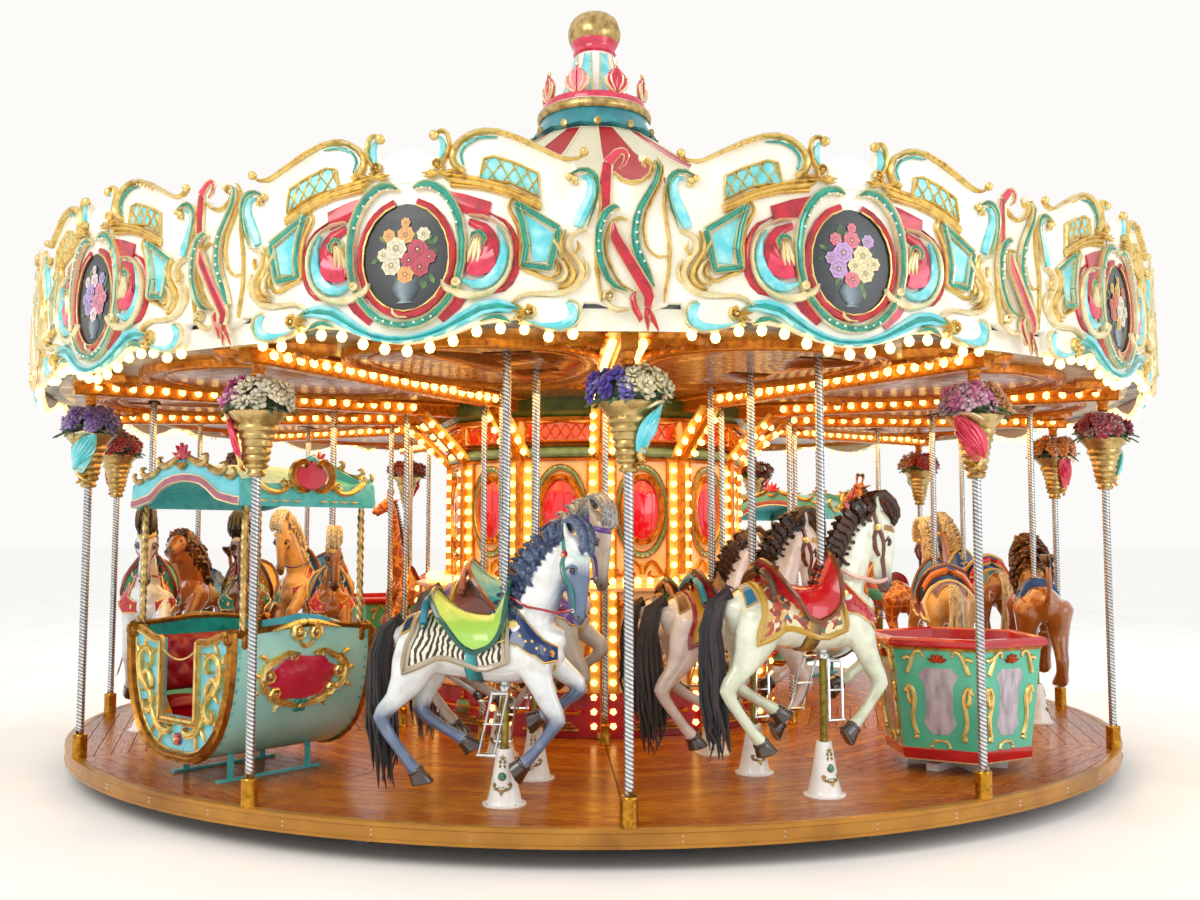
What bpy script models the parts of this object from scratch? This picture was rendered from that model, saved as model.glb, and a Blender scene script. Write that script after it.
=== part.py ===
# Fairground carousel: a turning platform and canopy with jumping animals, two gondolas and two spinning tubs.
# Metres, +Z up, origin on the ground under the axis. Angles are measured from the front (-Y) towards +X.

import math

import bmesh
import bpy
from mathutils import Matrix, Vector

# Driving dimensions: ground to deck, and the round plan
DECK_TOP = 0.24
DECK_THICK = 0.05
RIM_DROP = 0.11
DECK_RADIUS = 4.50
RIM_RADIUS = 4.56
SECTIONS = 12
SECTION_ANGLE = 360 / SECTIONS
ROUND_SIDES = 36
RING_SIDES = 24
FIT_GAP = 0.0003

# Fixed base and centre mast
BASE_HEIGHT = 0.08
BASE_RING = (3.70, 3.86)
SOLE_BEAM_REACH = 4.15
SOLE_BEAM_WIDTH = 0.12
HUB_RADIUS = 0.55
HUB_HEIGHT = 0.10
MAST_RADIUS = 0.14
MAST_SIDES = 16
BEARING_CLEARANCE = 0.0004

# Turning frame under the deck
FRAME_BEAM_DEPTH = 0.05
FRAME_RING = (4.20, 4.32)
FRAME_HUB_RADIUS = 0.50

# Heights above the deck top
POST_CIRCLE = 4.50
POST_RADIUS = 0.031
POST_FOOT_TOP = 0.17
VASE_BOTTOM = 2.00
VASE_RADIUS = 0.175
SWEEP_LIGHT_BOTTOM = 2.68
CEILING_BOTTOM = 2.79
CEILING_THICK = 0.02
SWEEP_DEPTH = 0.13
SWEEP_WIDTH = 0.07
RING_BEAM = (4.69, 4.7892)
RING_BEAM_TOP = 3.20
CEILING_RADIUS = 4.6895
BOARD_RADIUS = 4.85
BOARD_THICK = 0.06
EAVE_HEIGHT = 3.30
ROOF_TOP = 5.44

# Animals: rows, poles and sockets
ROWS = {"outer": 3.97, "middle": 3.20, "inner": 2.45}
ROW_SCALE = {"outer": 1.0, "middle": 1.0, "inner": 0.86}
BODY_HEIGHT = 1.0
STROKE = 0.30
POLE_RADIUS = 0.030
ROD_RADIUS = 0.024
ROD_OVERLAP = 0.045
SOCKET_HEIGHT = 0.335
SOCKET_TOP_RADIUS = 0.046
SOCKET_FOOT_RADIUS = 0.105
SOCKET_FLANGE_RADIUS = 0.135
SOCKET_FLANGE_THICK = 0.012
SOCKET_DEPTH = 0.02
POLE_TOP = 3.05
SLOT_HALF_TRAVEL = 0.16
SLOT_HALF_RADIAL = 0.05

# Each animal: name, kind, row, angle on the platform, height above the middle of its stroke at rest
ANIMALS = (
    ("horse_01", "horse", "outer", -10.4, -0.086),
    ("horse_02", "horse", "middle", -9.7, 0.080),
    ("horse_03", "horse", "inner", -19.0, -0.080),
    ("horse_04", "horse", "outer", 18.9, 0.085),
    ("horse_05", "horse", "middle", 17.6, 0.000),
    ("horse_06", "horse", "inner", 18.8, -0.020),
    ("lion_01", "lion", "outer", 75.3, 0.020),
    ("horse_07", "horse", "outer", 102.0, 0.050),
    ("horse_08", "horse", "middle", 84.0, -0.020),
    ("giraffe_01", "giraffe", "middle", 108.0, 0.000),
    ("horse_09", "horse", "outer", -75.0, 0.040),
    ("lion_02", "lion", "outer", -99.0, 0.060),
    ("horse_10", "horse", "middle", -84.0, 0.020),
    ("horse_11", "horse", "middle", -112.0, 0.060),
    ("horse_12", "horse", "inner", -77.0, 0.000),
    ("giraffe_02", "giraffe", "inner", -128.0, 0.000),
    ("horse_13", "horse", "outer", 165.0, -0.060),
    ("horse_14", "horse", "middle", 165.0, 0.080),
    ("horse_15", "horse", "outer", -165.0, 0.080),
    ("horse_16", "horse", "middle", -165.0, -0.060),
)

# Centre housing
DRUM_RADIUS = 1.66
DRUM_HEIGHT = 1.22
HOUSING_RADIUS = 1.37
HOUSING_WALL = 0.04
INNER_POST_CIRCLE = 1.94
INNER_POST_RADIUS = 0.028

# Gondola: its long axis is radial
GONDOLA_ANGLES = (-43.0, 137.0)
GONDOLA_INNER = 3.22
GONDOLA_OUTER = 4.27
GONDOLA_HALF_WIDTH = 0.66
GONDOLA_RIM = 0.98
GONDOLA_KEEL = 0.14
GONDOLA_WALL = 0.04
GONDOLA_CANOPY_BOTTOM = 1.82
GONDOLA_CANOPY_TOP = 2.10
RUNNER_OFFSET = 0.275

# Spinning tub
TUB_ANGLES = (41.15, 221.15)
TUB_CIRCLE = 3.75
TUB_FOOT_RADIUS = 0.50
TUB_RIM_RADIUS = 0.62
TUB_BOTTOM = 0.10
TUB_TOP = 0.93
TUB_TURN = 16.0
SPINDLE_RADIUS = 0.10
PEDESTAL_HEIGHT = 0.05
PLATE_STEP = 0.0001
SEAT_HEIGHT = 0.47


# Scene and materials

def clear_scene():
    for obj in list(bpy.data.objects):
        bpy.data.objects.remove(obj, do_unlink=True)


def finish(name, colour, roughness, metallic=0.0):
    """A plain material from an sRGB hex colour."""
    channels = [int(colour[i:i + 2], 16) / 255 for i in (0, 2, 4)]
    linear = [c / 12.92 if c <= 0.04045 else ((c + 0.055) / 1.055) ** 2.4 for c in channels]
    mat = bpy.data.materials.new(name)
    mat.use_nodes = True
    shader = mat.node_tree.nodes["Principled BSDF"]
    shader.inputs["Base Color"].default_value = (*linear, 1)
    shader.inputs["Roughness"].default_value = roughness
    shader.inputs["Metallic"].default_value = metallic
    mat.diffuse_color = (*linear, 1)
    return mat


# Mesh helpers

def new_object(name, mesh, mat=None, smooth=True):
    obj = bpy.data.objects.new(name, mesh)
    bpy.context.scene.collection.objects.link(obj)
    if mat:
        mesh.materials.clear()
        mesh.materials.append(mat)
    if smooth:
        mesh.shade_smooth()
        mesh.set_sharp_from_angle(angle=math.radians(35))
    return obj


def mesh_from(bm, name):
    bmesh.ops.recalc_face_normals(bm, faces=bm.faces)
    if bm.calc_volume(signed=True) < 0:
        bmesh.ops.reverse_faces(bm, faces=bm.faces)
    mesh = bpy.data.meshes.new(name)
    bm.to_mesh(mesh)
    bm.free()
    return mesh


def join_bmesh(target, part, matrix=None):
    """Adds a copy of one bmesh to another, moved by a matrix."""
    if matrix:
        part.transform(matrix)
    mesh = bpy.data.meshes.new("part")
    part.to_mesh(mesh)
    part.free()
    target.from_mesh(mesh)
    bpy.data.meshes.remove(mesh)


def place(radius, angle, height=0.0, turn=None):
    """The matrix of a spot on the platform, its +X along the direction of travel and -Y pointing outwards."""
    a = math.radians(angle)
    spot = Vector((radius * math.sin(a), -radius * math.cos(a), DECK_TOP + height))
    return Matrix.Translation(spot) @ Matrix.Rotation(math.radians(angle if turn is None else turn), 4, "Z")


def lathe(profile, sides):
    """Turns (radius, height) points about Z. A profile that starts and ends on the axis makes a solid of
    revolution, and any other profile is closed on itself and makes a ring."""
    solid = profile[0][0] == 0 and profile[-1][0] == 0
    bm = bmesh.new()
    rings = []
    for radius, height in profile:
        if radius == 0:
            rings.append([bm.verts.new((0, 0, height))])
            continue
        steps = [2 * math.pi * k / sides for k in range(sides)]
        rings.append([bm.verts.new((radius * math.sin(t), -radius * math.cos(t), height)) for t in steps])
    pairs = list(zip(rings, rings[1:])) if solid else list(zip(rings, rings[1:] + rings[:1]))
    for lower, upper in pairs:
        for k in range(sides):
            n = (k + 1) % sides
            if len(lower) == 1:
                bm.faces.new((lower[0], upper[n], upper[k]))
            elif len(upper) == 1:
                bm.faces.new((lower[k], lower[n], upper[0]))
            else:
                bm.faces.new((lower[k], lower[n], upper[n], upper[k]))
    return bm


def cylinder(radius, bottom, top, sides):
    return lathe([(0, bottom), (radius, bottom), (radius, top), (0, top)], sides)


def box(lo, hi):
    bm = bmesh.new()
    bmesh.ops.create_cube(bm, size=1)
    size = [b - a for a, b in zip(lo, hi)]
    middle = [(a + b) / 2 for a, b in zip(lo, hi)]
    bm.transform(Matrix.Translation(middle) @ Matrix.Diagonal((*size, 1)))
    return bm


def prism(outline, bottom, top):
    """A flat outline of (x, y) points raised from bottom to top."""
    bm = bmesh.new()
    low = [bm.verts.new((x, y, bottom)) for x, y in outline]
    high = [bm.verts.new((x, y, top)) for x, y in outline]
    bm.faces.new(low[::-1])
    bm.faces.new(high)
    for k in range(len(outline)):
        n = (k + 1) % len(outline)
        bm.faces.new((low[k], low[n], high[n], high[k]))
    return bm


def combine(base, others, operation):
    """Runs one exact boolean of a bmesh with a list of bmeshes and gives the result as a bmesh."""
    cutter_bm = bmesh.new()
    for other in others:
        join_bmesh(cutter_bm, other)
    host = new_object("host", mesh_from(base, "host"), smooth=False)
    tool = new_object("tool", mesh_from(cutter_bm, "tool"), smooth=False)
    boolean = host.modifiers.new("boolean", "BOOLEAN")
    boolean.operation = operation
    boolean.object = tool
    boolean.solver = "EXACT"
    boolean.use_self = True
    result = bpy.data.meshes.new_from_object(host.evaluated_get(bpy.context.evaluated_depsgraph_get()))
    bpy.data.objects.remove(host)
    bpy.data.objects.remove(tool)
    bm = bmesh.new()
    bm.from_mesh(result)
    bpy.data.meshes.remove(result)
    bmesh.ops.remove_doubles(bm, verts=bm.verts, dist=0.00002)
    return bm


def section_angles(offset=0.0):
    return [offset + SECTION_ANGLE * k for k in range(SECTIONS)]


# Fixed base, mast and the turning frame under the deck

def base_frame(mat):
    inner, outer = BASE_RING
    ring = lathe([(inner, 0), (outer, 0), (outer, BASE_HEIGHT), (inner, BASE_HEIGHT)], RING_SIDES)
    hub = cylinder(HUB_RADIUS, 0, HUB_HEIGHT, 16)
    beams = []
    for k in range(8):
        half = SOLE_BEAM_WIDTH / 2
        beam = box((HUB_RADIUS - 0.1, -half, 0), (SOLE_BEAM_REACH, half, BASE_HEIGHT - 0.01))
        beam.transform(Matrix.Rotation(math.radians(22.5 + 45 * k), 4, "Z"))
        beams.append(beam)
    body = combine(ring, [hub] + beams, "UNION")
    return new_object("base_frame", mesh_from(body, "base_frame"), mat)


def centre_mast(mat):
    top = DECK_TOP + CEILING_BOTTOM + SWEEP_DEPTH + 0.15
    body = cylinder(MAST_RADIUS, HUB_HEIGHT + FIT_GAP, top, MAST_SIDES)
    return new_object("centre_mast", mesh_from(body, "centre_mast"), mat)


def bearing_bore():
    """The circumradius whose flats clear the mast's corners by the bearing clearance."""
    return (MAST_RADIUS + BEARING_CLEARANCE) / math.cos(math.pi / MAST_SIDES)


def turntable_frame(mat):
    top = DECK_TOP - DECK_THICK - FIT_GAP
    bottom = top - FRAME_BEAM_DEPTH
    inner, outer = FRAME_RING
    ring = lathe([(inner, bottom), (outer, bottom), (outer, top), (inner, top)], RING_SIDES)
    hub_bottom = HUB_HEIGHT + FIT_GAP
    hub = lathe([(bearing_bore(), hub_bottom), (FRAME_HUB_RADIUS, hub_bottom), (FRAME_HUB_RADIUS, top),
                 (bearing_bore(), top)], MAST_SIDES)
    beams = []
    for angle in section_angles(15):
        beam = box((FRAME_HUB_RADIUS - 0.05, -0.04, bottom), (outer - 0.03, 0.04, top - 0.002))
        beam.transform(Matrix.Rotation(math.radians(angle), 4, "Z"))
        beams.append(beam)
    body = combine(ring, [hub] + beams, "UNION")
    return new_object("turntable_frame", mesh_from(body, "turntable_frame"), mat)


# Deck with its rim, the pole sockets and the tub pedestals

def socket():
    profile = [(0, -0.01), (SOCKET_FLANGE_RADIUS, -0.01), (SOCKET_FLANGE_RADIUS, SOCKET_FLANGE_THICK),
               (SOCKET_FOOT_RADIUS, SOCKET_FLANGE_THICK), (SOCKET_TOP_RADIUS, SOCKET_HEIGHT),
               (0, SOCKET_HEIGHT)]
    return lathe(profile, 8)


def deck(mat):
    bottom = DECK_TOP - DECK_THICK
    rim_bottom = DECK_TOP - RIM_DROP
    slab = lathe([(0.35, bottom), (DECK_RADIUS, bottom), (DECK_RADIUS, rim_bottom), (RIM_RADIUS, rim_bottom),
                  (RIM_RADIUS, DECK_TOP), (0.35, DECK_TOP)], ROUND_SIDES)
    raised = []
    bores = []
    for name, kind, row, angle, lift in ANIMALS:
        spot = place(ROWS[row], angle)
        part = socket()
        part.transform(spot)
        raised.append(part)
        bore = cylinder(ROD_RADIUS + FIT_GAP, -SOCKET_DEPTH, SOCKET_HEIGHT + 0.05, 6)
        bore.transform(spot)
        bores.append(bore)
    for angle in TUB_ANGLES:
        for k in range(3):
            plate = box((-0.34, -0.045, -0.01), (0.34, 0.045, PEDESTAL_HEIGHT - PLATE_STEP * k))
            plate.transform(place(TUB_CIRCLE, angle, 0, angle + 60 * k))
            raised.append(plate)
    body = combine(slab, raised, "UNION")
    return new_object("deck", mesh_from(combine(body, bores, "DIFFERENCE"), "deck"), mat)


# Rim posts, each with its foot collar and the ribbed vase

def post_mesh():
    top = SWEEP_LIGHT_BOTTOM - FIT_GAP
    foot = [(0, FIT_GAP), (0.055, FIT_GAP), (0.050, POST_FOOT_TOP), (POST_RADIUS, POST_FOOT_TOP + 0.01)]
    stem = [(POST_RADIUS, VASE_BOTTOM), (0.055, VASE_BOTTOM + 0.01), (0.055, 2.07), (0.075, 2.12)]
    bowl = [(0.105, 2.19), (VASE_RADIUS, 2.36), (VASE_RADIUS, 2.38), (POST_RADIUS + 0.004, 2.40)]
    return mesh_from(lathe(foot + stem + bowl + [(POST_RADIUS, top), (0, top)], 6), "rim_post")


def rim_posts(mat):
    mesh = post_mesh()
    for k, angle in enumerate(section_angles()):
        obj = new_object("rim_post_%02d" % (k + 1), mesh, mat)
        obj.matrix_world = place(POST_CIRCLE, angle)


# Canopy structure: sweeps, lighted battens and ceiling

def light_sweeps(mat):
    """The battens with lamps under the ceiling, their ring on the housing, knee braces and inner posts."""
    bottom = DECK_TOP + SWEEP_LIGHT_BOTTOM
    brace_top = SWEEP_LIGHT_BOTTOM + 0.01
    top = DECK_TOP + CEILING_BOTTOM - FIT_GAP
    ring = lathe([(1.30, bottom), (1.50, bottom), (1.50, top), (1.30, top)], SECTIONS)
    parts = []
    for angle in section_angles():
        batten = box((-0.06, -4.62, bottom), (0.06, -1.38, top - 0.001))
        batten.transform(Matrix.Rotation(math.radians(angle), 4, "Z"))
        parts.append(batten)
        post = cylinder(INNER_POST_RADIUS, FIT_GAP, SWEEP_LIGHT_BOTTOM + 0.02, 6)
        post.transform(place(INNER_POST_CIRCLE, angle))
        parts.append(post)
        outline = [(1.385, 2.20), (1.44, 2.20), (1.80, brace_top), (1.48, brace_top), (1.385, 2.42)]
        brace = prism(outline, -0.035, 0.035)
        brace.transform(Matrix.Rotation(math.radians(90), 4, "X"))
        brace.transform(place(0, angle - 90))
        parts.append(brace)
    return new_object("light_sweeps", mesh_from(combine(ring, parts, "UNION"), "light_sweeps"), mat)


def sweep_frame(mat):
    bottom = DECK_TOP + CEILING_BOTTOM + CEILING_THICK + FIT_GAP
    top = bottom + SWEEP_DEPTH
    ring_top = DECK_TOP + RING_BEAM_TOP
    ring = lathe([(RING_BEAM[0], bottom - 0.02), (RING_BEAM[1], bottom - 0.02), (RING_BEAM[1], ring_top),
                  (RING_BEAM[0], ring_top)], ROUND_SIDES)
    hub = lathe([(bearing_bore(), bottom), (0.40, bottom), (0.40, top), (bearing_bore(), top)], MAST_SIDES)
    beams = []
    for angle in section_angles():
        beam = box((-SWEEP_WIDTH / 2, -4.72, bottom), (SWEEP_WIDTH / 2, -0.32, top - 0.002))
        beam.transform(Matrix.Rotation(math.radians(angle), 4, "Z"))
        beams.append(beam)
    return new_object("sweep_frame", mesh_from(combine(ring, [hub] + beams, "UNION"), "sweep_frame"), mat)


def ceiling(mat):
    bottom = DECK_TOP + CEILING_BOTTOM
    top = bottom + CEILING_THICK
    plate = lathe([(0.30, bottom), (CEILING_RADIUS, bottom), (CEILING_RADIUS, top), (0.30, top)], ROUND_SIDES)
    slots = []
    for name, kind, row, angle, lift in ANIMALS:
        slot = box((-SLOT_HALF_TRAVEL, -SLOT_HALF_RADIAL, CEILING_BOTTOM - 0.05),
                   (SLOT_HALF_TRAVEL, SLOT_HALF_RADIAL, CEILING_BOTTOM + 0.10))
        slot.transform(place(ROWS[row], angle))
        slots.append(slot)
    return new_object("ceiling", mesh_from(combine(plate, slots, "DIFFERENCE"), "ceiling"), mat)


# Rounding boards: one curved plate for each section, with the narrow divider on its right

BOARD_TOP = ((-1.068, 3.46), (-1.00, 3.66), (-0.88, 3.72), (-0.56, 3.87), (-0.40, 3.895), (-0.24, 3.78),
             (-0.17, 3.90), (-0.10, 3.77), (0.0, 3.80), (0.10, 3.77), (0.17, 3.90), (0.24, 3.78),
             (0.40, 3.895), (0.56, 3.87), (0.88, 3.72), (1.00, 3.66), (1.068, 3.46), (1.12, 3.66),
             (1.19, 3.73), (1.27, 3.60), (1.38, 3.68), (1.47, 3.30))
BOARD_BOTTOM = ((-1.068, 2.90), (-1.00, 2.76), (-0.88, 2.76), (-0.56, 2.84), (-0.24, 2.72), (0.0, 2.70),
                (0.24, 2.72), (0.56, 2.84), (0.88, 2.76), (1.00, 2.76), (1.068, 2.90), (1.27, 2.82),
                (1.38, 2.77), (1.47, 2.92))


def height_at(outline, x):
    for (x0, z0), (x1, z1) in zip(outline, outline[1:]):
        if x0 <= x <= x1:
            return z0 + (z1 - z0) * (x - x0) / (x1 - x0)
    raise ValueError(x)


def board_mesh():
    """Columns from the lower to the upper outline, bent round the canopy's circle."""
    columns = sorted({x for x, z in BOARD_TOP} | {x for x, z in BOARD_BOTTOM})
    bm = bmesh.new()
    rows = []
    for x in columns:
        turn = x / BOARD_RADIUS
        low, high = height_at(BOARD_BOTTOM, x), height_at(BOARD_TOP, x)
        corners = ((BOARD_RADIUS, low), (BOARD_RADIUS, high), (BOARD_RADIUS - BOARD_THICK, high),
                   (BOARD_RADIUS - BOARD_THICK, low))
        rows.append([bm.verts.new((r * math.sin(turn), -r * math.cos(turn), z)) for r, z in corners])
    for left, right in zip(rows, rows[1:]):
        for k in range(4):
            n = (k + 1) % 4
            bm.faces.new((left[k], right[k], right[n], left[n]))
    bm.faces.new(rows[0])
    bm.faces.new(rows[-1][::-1])
    return mesh_from(bm, "rounding_board")


def rounding_boards(mat):
    mesh = board_mesh()
    for k, angle in enumerate(section_angles(15)):
        obj = new_object("rounding_board_%02d" % (k + 1), mesh, mat)
        obj.matrix_world = place(0, angle)


# Roof and cupola

ROOF_PROFILE = ((0.56, ROOF_TOP), (1.20, 4.98), (2.10, 4.44), (3.30, 3.85), (4.77, EAVE_HEIGHT))
ROOF_SKIN = 0.03


def roof(mat):
    foot = RING_BEAM_TOP + FIT_GAP
    outer = list(ROOF_PROFILE) + [(4.77, foot)]
    inner = [(4.71, foot), (4.71, EAVE_HEIGHT - ROOF_SKIN)]
    inner += [(r, z - ROOF_SKIN) for r, z in ROOF_PROFILE[-2:0:-1]]
    mouth = ROOF_PROFILE[0][0] - 0.04
    inner += [(mouth, ROOF_TOP - ROOF_SKIN), (mouth, ROOF_TOP)]
    body = lathe([(r, z + DECK_TOP) for r, z in outer + inner], 24)
    return new_object("roof", mesh_from(body, "roof"), mat)


CUPOLA_PROFILE = ((0, ROOF_TOP + FIT_GAP), (0.555, ROOF_TOP + FIT_GAP), (0.600, 5.46), (0.53, 5.64),
                  (0.565, 5.685), (0.53, 5.735), (0.512, 5.74), (0.512, 5.81), (0.36, 5.82), (0.30, 5.95),
                  (0.235, 6.15), (0.195, 6.34), (0.20, 6.39), (0.245, 6.46), (0.262, 6.56), (0.235, 6.66),
                  (0.15, 6.74), (0, 6.765))
CREST_OUTLINE = ((-0.045, 5.80), (0.045, 5.80), (0.13, 5.92), (0.06, 6.0), (0, 6.10), (-0.06, 6.0),
                 (-0.13, 5.92))


def cupola(mat):
    body = lathe([(r, z + DECK_TOP) for r, z in CUPOLA_PROFILE], 16)
    crests = []
    for k in range(8):
        crest = prism(CREST_OUTLINE, -0.009, 0.009)
        crest.transform(Matrix.Rotation(math.radians(90), 4, "X"))
        crest.transform(place(0.49, 22.5 + 45 * k))
        crests.append(crest)
    return new_object("cupola", mesh_from(combine(body, crests, "UNION"), "cupola"), mat)


# Centre housing, a hollow twelve-sided drum with a narrower upper storey

def housing(mat):
    top = SWEEP_LIGHT_BOTTOM - FIT_GAP
    outer = [(DRUM_RADIUS, FIT_GAP), (DRUM_RADIUS, DRUM_HEIGHT - 0.06), (DRUM_RADIUS - 0.04, DRUM_HEIGHT),
             (HOUSING_RADIUS, DRUM_HEIGHT + 0.03), (HOUSING_RADIUS, top)]
    inner = [(HOUSING_RADIUS - HOUSING_WALL, top), (HOUSING_RADIUS - HOUSING_WALL, DRUM_HEIGHT - 0.01),
             (DRUM_RADIUS - HOUSING_WALL, DRUM_HEIGHT - 0.10), (DRUM_RADIUS - HOUSING_WALL, FIT_GAP)]
    body = lathe([(r, z + DECK_TOP) for r, z in outer + inner], SECTIONS)
    return new_object("housing", mesh_from(body, "housing"), mat)


# Gondolas: a U-shaped hull on runners under a canopy on four twisted posts

def hull_outline(shrink, rim):
    """The U of the hull across the direction of travel, from rim to rim."""
    wide = GONDOLA_HALF_WIDTH - shrink
    keel = GONDOLA_KEEL + shrink
    points = [(wide, rim), (wide * 0.99, 0.78), (wide * 0.93, 0.56), (wide * 0.78, 0.34)]
    points += [(wide * 0.50, keel + 0.05), (wide * 0.22, keel)]
    return points + [(-x, z) for x, z in reversed(points)]


def stand_up(bm, angle):
    """Stands a prism of (travel, height) points upright, its length along the radius."""
    bm.transform(Matrix.Rotation(math.radians(90), 4, "X"))
    bm.transform(Matrix.Translation((0, 0, DECK_TOP)))
    bm.transform(Matrix.Rotation(math.radians(angle), 4, "Z"))
    return bm


def gondola_frame(side):
    """One side's bench, runner, two runner legs and two canopy posts."""
    parts = []
    outline = [(0.30, 0.20), (0.61, 0.36), (0.61, 0.50), (0.30, 0.50)]
    parts.append(prism([(side * x, z) for x, z in outline], GONDOLA_INNER + 0.02, GONDOLA_OUTER - 0.02))
    foot = side * RUNNER_OFFSET
    runner = [(foot - 0.02, FIT_GAP), (foot + 0.02, FIT_GAP), (foot + 0.02, 0.03), (foot - 0.02, 0.03)]
    parts.append(prism(runner, GONDOLA_INNER + 0.12, GONDOLA_OUTER - 0.12))
    leg = [(foot - 0.015, 0.02), (foot + 0.015, 0.02), (foot + 0.015, 0.26), (foot - 0.015, 0.26)]
    for near in (GONDOLA_INNER + 0.2, GONDOLA_OUTER - 0.24):
        parts.append(prism(leg, near, near + 0.04))
    for radius in (GONDOLA_INNER + 0.06, GONDOLA_OUTER - 0.06):
        post = cylinder(0.022, 0.80, GONDOLA_CANOPY_BOTTOM - FIT_GAP, 6)
        post.transform(Matrix.Translation((side * (GONDOLA_HALF_WIDTH - 0.03), 0, radius))
                       @ Matrix.Rotation(math.radians(-90), 4, "X"))
        parts.append(post)
    return parts


def gondola_hull(name, angle, mat):
    body = prism(hull_outline(0, GONDOLA_RIM), GONDOLA_INNER, GONDOLA_OUTER)
    above = GONDOLA_RIM + 0.2
    well = hull_outline(GONDOLA_WALL, above)
    inside = prism(well, GONDOLA_INNER + GONDOLA_WALL, GONDOLA_OUTER - GONDOLA_WALL)
    entrance = [(-0.20, 0.42), (0.20, 0.42), (0.20, above), (-0.20, above)]
    doorway = prism(entrance, GONDOLA_OUTER - 0.2, GONDOLA_OUTER + 0.1)
    shell = combine(body, [inside], "DIFFERENCE")
    shell = combine(shell, [doorway], "DIFFERENCE")
    hull = combine(shell, gondola_frame(-1) + gondola_frame(1), "UNION")
    stand_up(hull, angle)
    return new_object(name, mesh_from(hull, name), mat)


def gondola_canopy(name, angle, mat):
    wide = GONDOLA_HALF_WIDTH + 0.02
    low, high = GONDOLA_CANOPY_BOTTOM, GONDOLA_CANOPY_TOP
    right = [(wide, low), (wide, low + 0.14), (0.45, high - 0.03), (0.20, high + 0.06)]
    body = prism(right + [(-x, z) for x, z in reversed(right)], GONDOLA_INNER - 0.02, GONDOLA_OUTER + 0.02)
    right = [(wide - 0.12, low - 0.05), (wide - 0.12, low + 0.10), (0.18, high)]
    void = prism(right + [(-x, z) for x, z in reversed(right)], GONDOLA_INNER + 0.11, GONDOLA_OUTER - 0.11)
    shell = combine(body, [void], "DIFFERENCE")
    stand_up(shell, angle)
    return new_object(name, mesh_from(shell, name), mat)


# Spinning tubs: a flared six-sided tub on a short spindle

def tub_mesh():
    spindle_foot = PEDESTAL_HEIGHT + FIT_GAP
    rim = TUB_RIM_RADIUS + 0.01
    floor = TUB_BOTTOM + 0.04
    profile = [(0, spindle_foot), (SPINDLE_RADIUS, spindle_foot), (SPINDLE_RADIUS, TUB_BOTTOM),
               (TUB_FOOT_RADIUS, TUB_BOTTOM), (TUB_RIM_RADIUS - 0.03, TUB_TOP - 0.06), (rim, TUB_TOP - 0.05),
               (rim, TUB_TOP), (TUB_RIM_RADIUS - 0.05, TUB_TOP), (TUB_RIM_RADIUS - 0.16, SEAT_HEIGHT),
               (0.24, SEAT_HEIGHT), (0.24, floor), (0, floor)]
    return mesh_from(lathe(profile, 6), "tub")


def tubs(mat):
    mesh = tub_mesh()
    for name, angle in zip(("tub_a", "tub_b"), TUB_ANGLES):
        obj = new_object(name, mesh, mat, smooth=False)
        obj.matrix_world = place(TUB_CIRCLE, angle, 0, angle + TUB_TURN)


# Animals: chains of round stations, +X forwards, blended into one skin

HORSE_CHAINS = (
    ((-0.62, 0, 0.06, 0.10), (-0.54, 0, 0.05, 0.185), (-0.38, 0, 0.03, 0.20), (-0.10, 0, -0.01, 0.20),
     (0.10, 0, 0.0, 0.205), (0.24, 0, 0.05, 0.17), (0.31, 0, 0.06, 0.09)),
    ((0.12, 0, 0.10, 0.15), (0.20, 0, 0.28, 0.13), (0.27, 0, 0.45, 0.11), (0.36, 0, 0.60, 0.095),
     (0.45, 0, 0.66, 0.075)),
    ((0.42, 0, 0.66, 0.07), (0.46, 0, 0.56, 0.085), (0.48, 0, 0.42, 0.07), (0.475, 0, 0.28, 0.052),
     (0.46, 0, 0.18, 0.045)),
    ((0.18, -0.09, -0.05, 0.11), (0.26, -0.10, -0.22, 0.075), (0.34, -0.10, -0.38, 0.05),
     (0.24, -0.10, -0.56, 0.034), (0.16, -0.10, -0.64, 0.045)),
    ((0.18, 0.09, -0.03, 0.11), (0.32, 0.10, -0.14, 0.075), (0.43, 0.10, -0.22, 0.05),
     (0.34, 0.10, -0.38, 0.034), (0.24, 0.10, -0.42, 0.045)),
    ((-0.52, -0.09, 0.0, 0.14), (-0.60, -0.10, -0.20, 0.10), (-0.73, -0.10, -0.37, 0.05),
     (-0.60, -0.10, -0.58, 0.036), (-0.50, -0.10, -0.70, 0.050)),
    ((-0.48, 0.09, 0.0, 0.14), (-0.50, 0.10, -0.20, 0.10), (-0.56, 0.10, -0.35, 0.05),
     (-0.40, 0.10, -0.48, 0.036), (-0.28, 0.10, -0.56, 0.050)),
    ((-0.64, 0, 0.12, 0.035), (-0.76, 0, 0.02, 0.06), (-0.80, 0, -0.35, 0.07), (-0.78, 0, -0.78, 0.035)),
)
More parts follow.
